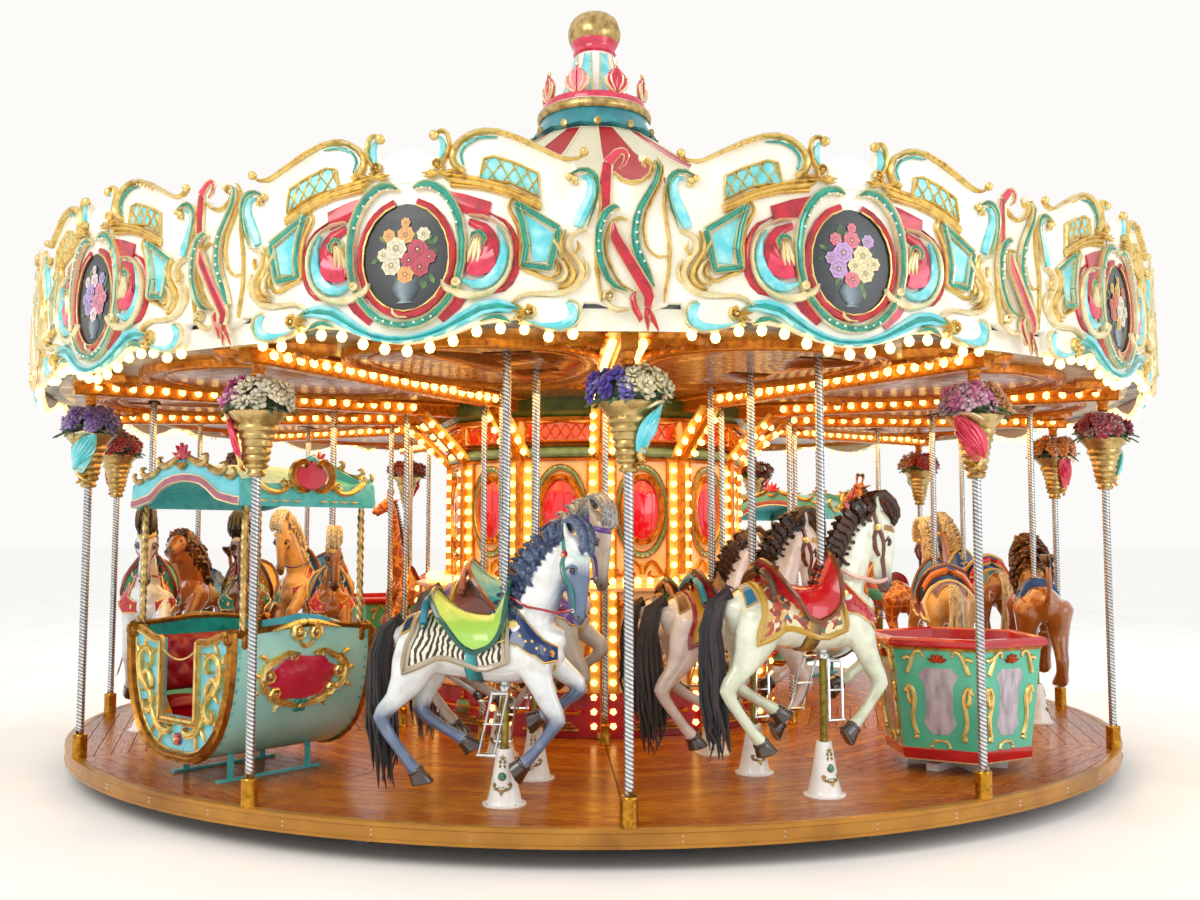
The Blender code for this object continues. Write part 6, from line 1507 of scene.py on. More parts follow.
LION += legs([(-1, ((-0.46, 0.0, 0.15, 0.85), (-0.44, -0.13, 0.13, 0.78), (-0.46, -0.25, 0.098, 0.82), (-0.53, -0.36, 0.066, 0.9), (-0.585, -0.44, 0.056, 1),
                    (-0.56, -0.53, 0.050, 1), (-0.52, -0.585, 0.058, 1.1), (-0.465, -0.605, 0.058, 1.15), (-0.43, -0.615, 0.044, 1.2)))],
             [(1, ((-0.46, 0.0, 0.15, 0.85), (-0.40, -0.13, 0.13, 0.78), (-0.38, -0.25, 0.098, 0.82), (-0.44, -0.35, 0.066, 0.9), (-0.50, -0.42, 0.056, 1),
                   (-0.47, -0.50, 0.050, 1), (-0.42, -0.545, 0.058, 1.1), (-0.365, -0.565, 0.058, 1.15), (-0.33, -0.575, 0.044, 1.2)))])
LION += [tuple((x + dx, y + step, z + dz, r, 1) for dx, dz, r in ((-0.02, 0.0, 0.030), (0.03, -0.012, 0.026)))
         for x, y, z in ((0.42, -0.12, -0.595), (0.615, 0.12, -0.385), (-0.43, -0.12, -0.62), (-0.33, 0.12, -0.58)) for step in (-0.038, 0.0, 0.038)]
LION.append(((-0.58, 0, 0.08, 0.045, 1), (-0.68, 0, 0.06, 0.034, 1), (-0.77, 0, 0.12, 0.028, 1), (-0.80, 0, 0.24, 0.025, 1), (-0.76, 0, 0.36, 0.026, 1)))

GIRAFFE = [
    ((-0.52, 0, -0.05, 0.07, 0.9), (-0.46, 0, -0.03, 0.135, 0.9), (-0.34, 0, 0.0, 0.165, 0.95), (-0.18, 0, 0.015, 0.160, 1.0), (-0.02, 0, 0.035, 0.168, 1.0),
     (0.12, 0, 0.08, 0.170, 0.92), (0.21, 0, 0.12, 0.12, 0.88)),
    ((0.08, 0, 0.15, 0.155, 0.8), (0.145, 0, 0.28, 0.135, 0.66), (0.19, 0, 0.42, 0.110, 0.62), (0.225, 0, 0.58, 0.092, 0.62), (0.255, 0, 0.74, 0.080, 0.64),
     (0.28, 0, 0.90, 0.072, 0.66), (0.31, 0, 1.03, 0.068, 0.7), (0.35, 0, 1.11, 0.066, 0.8)),
    ((0.335, 0, 1.13, 0.060, 0.9), (0.40, 0, 1.13, 0.066, 0.82), (0.46, 0, 1.10, 0.058, 0.78), (0.53, 0, 1.06, 0.046, 0.8), (0.59, 0, 1.025, 0.042, 0.95), (0.62, 0, 1.01, 0.032, 1)),
    ((0.39, 0, 1.07, 0.045, 0.8), (0.48, 0, 1.03, 0.032, 0.9), (0.56, 0, 0.985, 0.026, 1)),
    ((0.36, -0.03, 1.18, 0.020, 1), (0.345, -0.038, 1.23, 0.015, 1), (0.335, -0.042, 1.275, 0.022, 1)),
    ((0.36, 0.03, 1.18, 0.020, 1), (0.345, 0.038, 1.23, 0.015, 1), (0.335, 0.042, 1.275, 0.022, 1)),
    ((0.33, -0.06, 1.16, 0.018, 1), (0.30, -0.105, 1.175, 0.014, 1), (0.285, -0.125, 1.18, 0.006, 1)),
    ((0.33, 0.06, 1.16, 0.018, 1), (0.30, 0.105, 1.175, 0.014, 1), (0.285, 0.125, 1.18, 0.006, 1))]
GIRAFFE += legs([(-1, ((0.14, 0.05, 0.11, 0.8), (0.18, -0.09, 0.085, 0.75), (0.225, -0.22, 0.058, 0.85), (0.275, -0.34, 0.044, 0.95), (0.30, -0.41, 0.042, 1),
                       (0.27, -0.48, 0.029, 1), (0.225, -0.565, 0.026, 1), (0.195, -0.62, 0.034, 1), (0.17, -0.66, 0.032, 1)))],
                [(1, ((0.15, 0.05, 0.11, 0.8), (0.24, -0.07, 0.085, 0.75), (0.33, -0.17, 0.058, 0.85), (0.40, -0.26, 0.044, 0.95), (0.42, -0.31, 0.042, 1),
                      (0.39, -0.37, 0.029, 1), (0.345, -0.43, 0.026, 1), (0.325, -0.47, 0.034, 1), (0.30, -0.505, 0.032, 1)))])
GIRAFFE += legs([(-1, ((-0.40, 0.0, 0.13, 0.8), (-0.42, -0.12, 0.105, 0.7), (-0.45, -0.24, 0.070, 0.8), (-0.52, -0.36, 0.046, 0.9), (-0.56, -0.43, 0.042, 1),
                       (-0.53, -0.50, 0.030, 1), (-0.48, -0.585, 0.027, 1), (-0.455, -0.64, 0.034, 1), (-0.43, -0.68, 0.032, 1)))],
                [(1, ((-0.40, 0.0, 0.13, 0.8), (-0.38, -0.12, 0.105, 0.7), (-0.37, -0.22, 0.070, 0.8), (-0.42, -0.33, 0.046, 0.9), (-0.455, -0.40, 0.042, 1),
                      (-0.42, -0.46, 0.030, 1), (-0.36, -0.54, 0.027, 1), (-0.335, -0.585, 0.034, 1), (-0.31, -0.62, 0.032, 1)))])
GIRAFFE.append(((-0.50, 0, 0.04, 0.035, 1), (-0.57, 0, -0.06, 0.022, 1), (-0.60, 0, -0.20, 0.018, 1)))
GIRAFFE_HOOVES = (((0.17, -0.12, -0.66), (0.145, -0.12, -0.70)), ((0.30, 0.12, -0.505), (0.275, 0.12, -0.545)),
                  ((-0.43, -0.12, -0.68), (-0.405, -0.12, -0.72)), ((-0.31, 0.12, -0.62), (-0.285, 0.12, -0.66)))

# Stove-enamelled glass fibre, thickly lacquered; the brushed colours ride on the vertices
coat_enamel = surface("lacquered_animal_enamel", "ffffff", "d6d2cc", (0.1, 0.24), grain=110, coat=1.0, attribute="paint", share=(0.45, 0.8), relief=0.5)
# Carved locks: the same lacquer over deep chisel lines
lock_enamel = surface("carved_lock_enamel", "ffffff", "8c8a90", (0.16, 0.34), grain=16, coat=0.4, attribute="paint", share=(0.4, 0.66), relief=1.2)
# Coarse dyed horsehair of the tails: long streaks, dry ends
tail_hair = surface("dyed_horsehair", "ffffff", "5a4c48", (0.35, 0.6), grain=9, stretch=(1, 1, 0.06), attribute="paint", relief=1.0, sheen=0.2)
# Carved and enamelled tack: saddles, straps and cloths
tack_enamel = surface("gloss_tack_enamel", "ffffff", "dcd6d2", (0.12, 0.26), grain=350, coat=0.5, attribute="paint", share=(0.45, 0.75), relief=0.3)
eye_glass = surface("dark_eye_glass", "1a0f0a", "0a0504", (0.03, 0.06), grain=10, coat=1.0)
jewel = surface("cut_glass_jewel", "c81030", "8a0820", (0.03, 0.08), grain=10, coat=1.0)


def woven(name, tones, border, zebra):
    """A saddle cloth whose pattern follows its own (along, across) place: stripes or a figured weave in a pale border."""
    mat = bpy.data.materials.new(name)
    mat.use_nodes = True
    tree = mat.node_tree
    shader = tree.nodes["Principled BSDF"]
    place = add(tree, "ShaderNodeSeparateColor", {0: add(tree, "ShaderNodeVertexColor", layer_name="paint").outputs[0]}).outputs
    where = add(tree, "ShaderNodeCombineXYZ", {0: calc(tree, "MULTIPLY", place[0], 6.0), 1: calc(tree, "MULTIPLY", place[1], 9.0)}).outputs[0]
    if zebra:
        wave = add(tree, "ShaderNodeTexWave", {"Vector": where, "Scale": 0.9, "Distortion": 6.0, "Detail": 2.0, "Detail Scale": 1.1}).outputs[1]
        mask = add(tree, "ShaderNodeMapRange", {0: wave, 1: 0.42, 2: 0.52}).outputs[0]
        field = add(tree, "ShaderNodeMix", {0: mask, 6: linear(tones[0]), 7: linear(tones[1])}, data_type="RGBA").outputs[2]
    else:
        cell = add(tree, "ShaderNodeTexVoronoi", {"Vector": where, "Scale": 3.2}).outputs["Color"]
        ramp = tree.nodes.new("ShaderNodeValToRGB")
        ramp.color_ramp.interpolation = "CONSTANT"
        while len(ramp.color_ramp.elements) < len(tones):
            ramp.color_ramp.elements.new(0.5)
        for k, tone in enumerate(tones):
            ramp.color_ramp.elements[k].position = k / len(tones)
            ramp.color_ramp.elements[k].color = linear(tone)
        tree.links.new(cell, ramp.inputs[0])
        field = ramp.outputs[0]
    edge = None
    for value, width in ((place[0], 0.055), (place[1], 0.03)):
        fold = calc(tree, "ABSOLUTE", calc(tree, "SUBTRACT", value, 0.5))
        over = calc(tree, "GREATER_THAN", fold, 0.5 - width)
        edge = over if edge is None else calc(tree, "MAXIMUM", edge, over)
    tree.links.new(add(tree, "ShaderNodeMix", {0: edge, 6: field, 7: linear(border)}, data_type="RGBA").outputs[2], shader.inputs["Base Color"])
    pile = add(tree, "ShaderNodeTexNoise", {"Vector": where, "Scale": 14.0, "Detail": 3.0}).outputs[0]
    tree.links.new(add(tree, "ShaderNodeBump", {"Height": pile, "Strength": 1.0, "Distance": 0.002}).outputs[0], shader.inputs["Normal"])
    shader.inputs["Roughness"].default_value = 0.32
    shader.inputs["Coat Weight"].default_value = 0.25
    return mat


# Cloths carved in the glass fibre and painted: zebra stripes, and a many-coloured figured weave
zebra_cloth = woven("painted_zebra_cloth", ("2a2320", "efe6d0"), "b9ac98", True)
tapestry_cloth = woven("painted_tapestry_cloth", ("8a6a3a", "c8a040", "b0503a", "e8dcb0", "5a6a52", "94382c", "d8b060", "3f6a78"), "c8a45c", False)


def giraffe_hide():
    """Cream enamel with orange-brown patches parted by thin lines."""
    mat = bpy.data.materials.new("patched_giraffe_enamel")
    mat.use_nodes = True
    tree = mat.node_tree
    shader = tree.nodes["Principled BSDF"]
    where = add(tree, "ShaderNodeTexCoord").outputs["Object"]
    warp = add(tree, "ShaderNodeTexNoise", {"Vector": where, "Scale": 14.0}).outputs[1]
    bent = add(tree, "ShaderNodeVectorMath", {0: where, 1: add(tree, "ShaderNodeVectorMath", {0: warp, 1: (0.035, 0.035, 0.035)}, operation="MULTIPLY").outputs[0]}).outputs[0]
    edge = add(tree, "ShaderNodeTexVoronoi", {"Vector": bent, "Scale": 11.0}, feature="DISTANCE_TO_EDGE").outputs["Distance"]
    line = add(tree, "ShaderNodeMapRange", {0: edge, 1: 0.05, 2: 0.10}).outputs[0]
    tone = add(tree, "ShaderNodeTexNoise", {"Vector": where, "Scale": 30.0, "Detail": 4.0}).outputs[0]
    patch = add(tree, "ShaderNodeMix", {0: tone, 6: linear("b4581c"), 7: linear("84380e")}, data_type="RGBA").outputs[2]
    tree.links.new(add(tree, "ShaderNodeMix", {0: line, 6: linear("dc8c40"), 7: patch}, data_type="RGBA").outputs[2], shader.inputs["Base Color"])
    shader.inputs["Roughness"].default_value = 0.2
    shader.inputs["Coat Weight"].default_value = 0.6
    bump = add(tree, "ShaderNodeBump", {"Height": tone, "Strength": 1.0, "Distance": 0.0004})
    tree.links.new(bump.outputs[0], shader.inputs["Normal"])
    return mat


patched_hide = giraffe_hide()


def carved_body(chains, voxel, triangles):
    """Melts the chains into one smooth closed skin."""
    art = Carving()
    steps = np.arange(12) * math.pi / 6
    for stations in chains:
        centres = [Vector(s[:3]) for s in stations]
        rows = []
        for k, station in enumerate(stations):
            ahead = (centres[min(k + 1, len(centres) - 1)] - centres[max(k - 1, 0)]).normalized()
            side = (Vector((0, 1, 0)) - ahead * ahead.y).normalized()
            over = ahead.cross(side)
            rows.append([centres[k] + side * station[3] * station[4] * math.cos(t) + over * station[3] * math.sin(t) for t in steps])
        for end, beyond, at in ((0, 1, 0), (-1, -2, len(rows))):
            tip = centres[end] + (centres[end] - centres[beyond]).normalized() * stations[end][3] * 0.6
            rows.insert(at if end == 0 else len(rows), [centres[end].lerp(tip, 0.75) + (p - centres[end]) * 0.62 for p in rows[end]])
        art.rails(rows, coat_enamel)
    obj = bpy.data.objects.new("lumps", art.mesh("lumps"))
    bpy.context.scene.collection.objects.link(obj)
    melt = obj.modifiers.new("melt", "REMESH")
    melt.mode, melt.voxel_size, melt.use_smooth_shade = "VOXEL", voxel, True
    soft = obj.modifiers.new("soft", "SMOOTH")
    soft.factor, soft.iterations = 0.5, 5
    count = sum(len(p.vertices) - 2 for p in obj.evaluated_get(bpy.context.evaluated_depsgraph_get()).data.polygons)
    thin = obj.modifiers.new("thin", "DECIMATE")
    thin.ratio = triangles / count
    thin.use_collapse_triangulate = True
    skin = bpy.data.meshes.new_from_object(obj.evaluated_get(bpy.context.evaluated_depsgraph_get()))
    bpy.data.objects.remove(obj)
    while skin.color_attributes:
        skin.color_attributes.remove(skin.color_attributes[0])
    skin.shade_smooth()
    return skin


class Groom:
    """Lays tack and locks on one animal's skin; `ink` is the colour that the next shell is painted."""

    def __init__(self, skin):
        self.tree = BVHTree.FromPolygons([v.co.copy() for v in skin.vertices], [tuple(p.vertices) for p in skin.polygons])
        self.art = Carving()

    def ink(self, colour):
        self.art.ink = linear(colour)

    def hit(self, centre, way, reach=0.5, fallback=0.2):
        """The outermost skin point seen from outside along a direction."""
        found = self.tree.ray_cast(centre + way * reach, -way, reach)[0]
        return found if found else centre + way * fallback

    def flank_y(self, x, z, fallback=0.05):
        found = self.tree.ray_cast(Vector((x, -0.6, z)), Vector((0, 1, 0)), 0.6)[0]
        return abs(found.y) if found else fallback

    def wrap(self, centre, axis, up, width, start, end, lift, columns, steps=20, reach=0.5, fallback=0.1, swell=None, finish_=None):
        """A band laid round the body in the plane across `axis`, from angle start to end away from `up`.
        columns gives one colour for each strip across it, and swell more lift by place."""
        centre, axis, up = Vector(centre), Vector(axis).normalized(), Vector(up).normalized()
        side = axis.cross(up)
        n = len(columns)
        tones = [linear(columns[min(j, n - 1)]) for j in range(n + 1)]
        rows = []
        for k in range(steps + 1 - (abs(end - start) >= 359)):
            t = math.radians(start + (end - start) * k / steps)
            way = up * math.cos(t) + side * math.sin(t)
            outer, inner = [], []
            for j in range(n + 1):
                s = 2 * j / n - 1
                p = self.hit(centre + axis * s * width * 0.5, way, reach, fallback)
                outer.append(p + way * (lift * (0.35 + 0.65 * math.sqrt(max(0.0, 1 - abs(s) ** 6))) + (swell(s, t) if swell else 0.0)))
                inner.append(p - way * 0.006)
            rows.append(outer + inner[::-1])
        self.art.rails(rows, finish_ or tack_enamel, closed=abs(end - start) >= 359, paint=(tones + tones[::-1]) * len(rows))

    def drape(self, back, front, reach, lift, finish_, colour=None, edge=None, rim=0.011, swell=None, steps=(26, 12)):
        """A cloth or seat over the back: back and front give x at each turn from the top, reach the turn at each
        place along it. Without a colour its own (along, across) place rides on the vertices."""
        across, along = steps
        rows, paint, grid = [], [], []
        for i in range(across + 1):
            f = 2 * i / across - 1
            outer, inner, tones = [], [], []
            for j in range(along + 1):
                s = j / along
                turn = f * float(np.interp(s, *reach))
                x0, x1 = (float(np.interp(abs(turn), *line)) for line in (back, front))
                t = math.radians(turn)
                way = Vector((0, math.sin(t), math.cos(t)))
                p = self.hit(Vector((x0 + (x1 - x0) * s, 0, 0.02)), way)
                outer.append(p + way * (lift + (swell(s, turn) if swell else 0.0)))
                inner.append(p - way * 0.006)
                tones.append(linear(colour) if colour else (s, (f + 1) / 2, 0.0, 1.0))
            rows.append(outer + inner[::-1])
            grid.append(outer)
            paint += tones + tones[::-1]
        self.art.rails(rows, finish_, paint=paint)
        border = [g[0] for g in grid] + grid[-1][1:] + [g[-1] for g in grid[-2::-1]] + grid[0][-2:0:-1]
        if edge:
            self.ink(edge)
            self.piping(border, rim, finish_=tack_enamel)

    def piping(self, loop, radius, finish_):
        """A closed round cord through points."""
        rows = []
        n = len(loop)
        for k, p in enumerate(loop):
            ahead = (loop[(k + 1) % n] - loop[k - 1]).normalized()
            out = Vector((0, p.y, p.z - 0.02)).normalized()
            side = ahead.cross(out).normalized()
            rows.append([p + side * radius * math.cos(t) + side.cross(ahead) * radius * math.sin(t) for t in np.arange(5) * math.pi / 2.5])
        self.art.rails(rows, finish_, closed=True)

    def flank(self, top, bottom, side, lift, colour, edge, rim=0.006, finish_=None):
        """A shaped cloth on one flank between two lines of (x, z), with corded edges."""
        a, b = spline(top, 2), spline(bottom, 2)
        t = np.linspace(0, len(b) - 1, len(a))
        b = np.stack([np.interp(t, range(len(b)), b[:, k]) for k in range(2)], 1)
        rows = []
        for p, q in zip(a, b):
            outer, inner = [], []
            for f in (0, 0.3, 0.7, 1):
                x, z = p + (q - p) * f
                y = self.flank_y(x, z)
                outer.append(Vector((x, side * (y + lift), z)))
                inner.append(Vector((x, side * (y - 0.006), z)))
            rows.append(outer + inner[::-1])
        self.ink(colour)
        self.art.rails(rows, finish_ or tack_enamel)
        self.ink(edge)
        for k in (0, 3):
            self.tube([tuple(r[k]) for r in rows], rim, gold if edge == "c8a040" or edge == "d8b050" else tack_enamel, 5, 1)

    def strip(self, path, side, lift, colour, edge=None, finish_=None):
        """A strap along (x, z, half width) on one flank; side is -1 for the right."""
        line = spline(path, 2)
        ahead = np.gradient(line[:, :2], axis=0)
        across = np.stack([-ahead[:, 1], ahead[:, 0]], 1)
        across /= np.linalg.norm(across, axis=1)[:, None] + 1e-9
        rows, last = [], 0.05
        stops = (-1, -0.7, 0, 0.7, 1) if edge else (-1, 0, 1)
        tones = [linear(edge if edge and f else colour) for f in stops]
        for (x, z, w), s in zip(line, across):
            outer, inner = [], []
            for f in stops:
                u, v = x + s[0] * w * f, z + s[1] * w * f
                last = self.flank_y(u, v, last)
                outer.append((u, side * (last + lift * (0.6 if abs(f) == 1 else 1.0)), v))
                inner.append((u, side * (last - 0.006), v))
            rows.append(outer + inner[::-1])
        self.art.rails(rows, finish_ or tack_enamel, paint=(tones + tones) * len(rows))

    def boss(self, x, z, side, radius, finish_, lift=0.0, squash=0.6):
        """A round stud on one flank."""
        y = self.flank_y(x, z)
        base = len(self.art.points)
        self.art.ball(0, 0, 0, radius, finish_, *((3, 6) if radius < 0.018 else (4, 8)))
        for p in self.art.points[base:]:
            px, py, pz = p
            p[0], p[1], p[2] = x + px, side * (y + lift + pz * squash), z + py

    def lock(self, path, finish_, flat=0.6, sides=6, steps=2):
        """A tapered, flattened lock along (x, y, z, radius)."""
        line = spline(path, steps)
        ahead = np.gradient(line[:, :3], axis=0)
        rows = []
        for (x, y, z, r), a in zip(line, ahead):
            a = Vector(a).normalized()
            over = a.cross(Vector((0, 1, 0)))
            over = over.normalized() if over.length > 0.1 else Vector((1, 0, 0))
            other = a.cross(over)
            rows.append([Vector((x, y, z)) + over * r * math.cos(t) + other * r * flat * math.sin(t) for t in np.arange(sides) * 2 * math.pi / sides])
        self.art.rails(rows, finish_)

    def tube(self, path, radius, finish_, sides=6, steps=2):
        self.lock([tuple(p) + (radius,) for p in path], finish_, 1.0, sides, steps)


def hooves(groom, places, colour):
    """Rounded hooves with a coronet band, longer at the toe than at the heel."""
    for top, foot in places:
        top, foot = Vector(top), Vector(foot)
        way = (foot - top).normalized()
        side = Vector((0, 1, 0))
        over = way.cross(side)
        long = (foot - top).length * 1.5
        groom.ink(colour)
        rows = []
        for d, r in ((-0.018, 0.030), (-0.012, 0.043), (-0.002, 0.049), (0.008, 0.049), (0.012, 0.046), (0.022, 0.049), (long * 0.6, 0.056), (long * 0.92, 0.0625), (long, 0.060), (long + 0.004, 0.050)):
            rows.append([])
            for t in np.arange(12) * math.pi / 6:
                toe = math.sin(t)
                cut = 1 + (0.24 * toe if d > 0.02 else 0)
                rows[-1].append(top + way * d * cut + side * r * 0.94 * math.cos(t) + over * r * 1.1 * toe)
        groom.art.rails(rows, coat_enamel)


def horse_locks(groom, coat, pick):
    """Carved mane and forelock in close curls, and a full tail of hair."""
    crest = np.array([(-0.03, 0.235), (0.015, 0.33), (0.06, 0.43), (0.105, 0.525), (0.16, 0.615), (0.225, 0.69), (0.30, 0.745), (0.375, 0.765)])
    line = spline(crest, 4)
    line = line[np.linspace(0, len(line) - 1, 14).round().astype(int)]
    slope = np.gradient(line, axis=0)
    slope /= np.linalg.norm(slope, axis=1)[:, None]
    mane = coat["mane"]
    rows = []
    for (x, z), (tx, tz) in zip(line, slope):
        outer, inner = [], []
        for f in (-1, -0.6, -0.25, 0, 0.25, 0.6, 1):
            depth = abs(f) * 0.082 - 0.012 * (f == 0)
            px, pz = x + tz * depth, z - tx * depth
            y = 0 if f == 0 else groom.flank_y(px, pz, 0.03) + 0.012 * (1.25 - abs(f))
            outer.append((px, math.copysign(y, f), pz))
            inner.append((px + tz * 0.03, math.copysign(y * 0.5, f), pz - tx * 0.03))
        rows.append(outer + inner[::-1])
    groom.ink(min(mane))
    groom.art.rails(rows, lock_enamel)
    for (x, z), (tx, tz) in zip(line, slope):
        back = Vector((tz * 0.78 - tx * 0.42, 0, -tx * 0.78 - tz * 0.42))
        for layer in range(2):
            for side in (-1, 1):
                groom.ink(pick.choice(mane))
                size = pick.uniform(0.022, 0.032)
                reach = (0.076 + 0.056 * layer) * pick.uniform(0.85, 1.22)
                wave = pick.uniform(0.009, 0.015)
                shift = pick.uniform(-0.006, 0.006)
                x, z = x + shift * tx, z + shift * tz
                path = [(x + 0.02 * tz, side * 0.004, z - 0.02 * tx, size * 0.8), (x - 0.020 * tz, side * (0.016 + 0.006 * layer), z + 0.020 * tx, size * 1.1)]
                for f, sway in ((0.45, 0.9), (0.78, -0.6), (1.0, 1.2)):
                    px, pz = x + back.x * reach * f + tx * wave * sway, z + back.z * reach * f + tz * wave * sway
                    y = groom.flank_y(px, pz, 0.03) + 0.016 + 0.010 * (1 - layer)
                    path.append((px, side * y, pz, size * (1.12 - 0.78 * f)))
                groom.lock(path, lock_enamel, 0.85, 4, 2)
        groom.ink(pick.choice(mane))
        groom.lock([(x + 0.02, 0, z - 0.02, 0.018), (x - 0.020 * tz, 0.008, z + 0.022 * tx, 0.024), (x - 0.036 * tz - 0.01, pick.uniform(-0.014, 0.014), z + 0.040 * tx, 0.017),
                    (x - 0.045 * tz - 0.03, 0, z + 0.032 * tx, 0.010), (x - 0.040 * tz - 0.03, 0, z + 0.014 * tx, 0.004)], lock_enamel, 0.85, 4, 1)
    for k in range(12):
        y = -0.052 + 0.0095 * k
        groom.ink(pick.choice(mane))
        out, drop = pick.uniform(-0.004, 0.014), pick.uniform(-0.02, 0.045)
        groom.lock([(0.350, y * 0.5, 0.755, 0.018), (0.392, y * 0.8, 0.802 + out, 0.025), (0.452, y, 0.806 + out, 0.026), (0.502 + out, y * 1.15, 0.765, 0.025),
                    (0.529 + out, y * 1.25, 0.705 - drop * 0.5, 0.021), (0.534 + out, y * 1.25, 0.655 - drop, 0.017), (0.517 + out, y * 1.2, 0.628 - drop, 0.012),
                    (0.503 + out, y * 1.15, 0.650 - drop, 0.006)], lock_enamel, 0.85, 5, 1)
    strands = 40
    for k in range(strands):
        a = k * 2.39996
        r = math.sqrt((k + 0.5) / strands)
        dx, dy = r * math.cos(a), r * math.sin(a)
        groom.ink(pick.choice(coat["tail"]))
        end = -0.80 + pick.uniform(-0.04, 0.24)
        sway = [pick.uniform(-0.016, 0.016) for _ in range(6)]
        path = [(-0.635, dy * 0.02, 0.13, 0.013), (-0.695 + dx * 0.022, dy * 0.035, 0.192 + dx * 0.022, 0.021), (-0.755 + dx * 0.042, dy * 0.052, 0.135, 0.021)]
        for f, wide in ((0.12, 0.060), (0.30, 0.074), (0.48, 0.084), (0.66, 0.088), (0.84, 0.082)):
            n = len(path) - 3
            path.append((-0.795 + 0.05 * f * f + dx * wide + sway[n] * (0.4 + f), dy * wide * 0.9 + sway[n - 1] * f, 0.06 + (end - 0.06) * f, 0.0205 - 0.011 * f))
        path.append((-0.755 + dx * 0.07 + sway[5] * 2, dy * 0.065 + sway[4] * 2, end, 0.003))
        groom.lock(path, tail_hair, 0.75, 4, 1)


def footrests(groom, y_top, drop=0.0):
    """Chromed rods under the belly and a ladder step on each side."""
    top = -0.235 + drop
    groom.tube([(0.0, -y_top, top), (0.0, y_top, top)], 0.010, chrome, 6, 1)
    for side in (-1, 1):
        groom.tube([(-0.055, side * y_top, top), (0.050, side * y_top, top)], 0.010, chrome, 6, 1)
        for x in (-0.05, 0.045):
            groom.tube([(x, side * y_top, top + 0.012), (x - 0.026, side * (y_top + 0.05), top - 0.16), (x - 0.058, side * (y_top + 0.10), top - 0.345)], 0.0075, chrome, 6, 1)
        for f, thick in ((0.5, 0.007), (1.0, 0.011)):
            y, z, x = side * (y_top + 0.10 * f), top - 0.345 * f, -0.056 * f
            groom.tube([(x - 0.062, y, z), (x + 0.056, y, z)], thick, chrome, 6, 1)


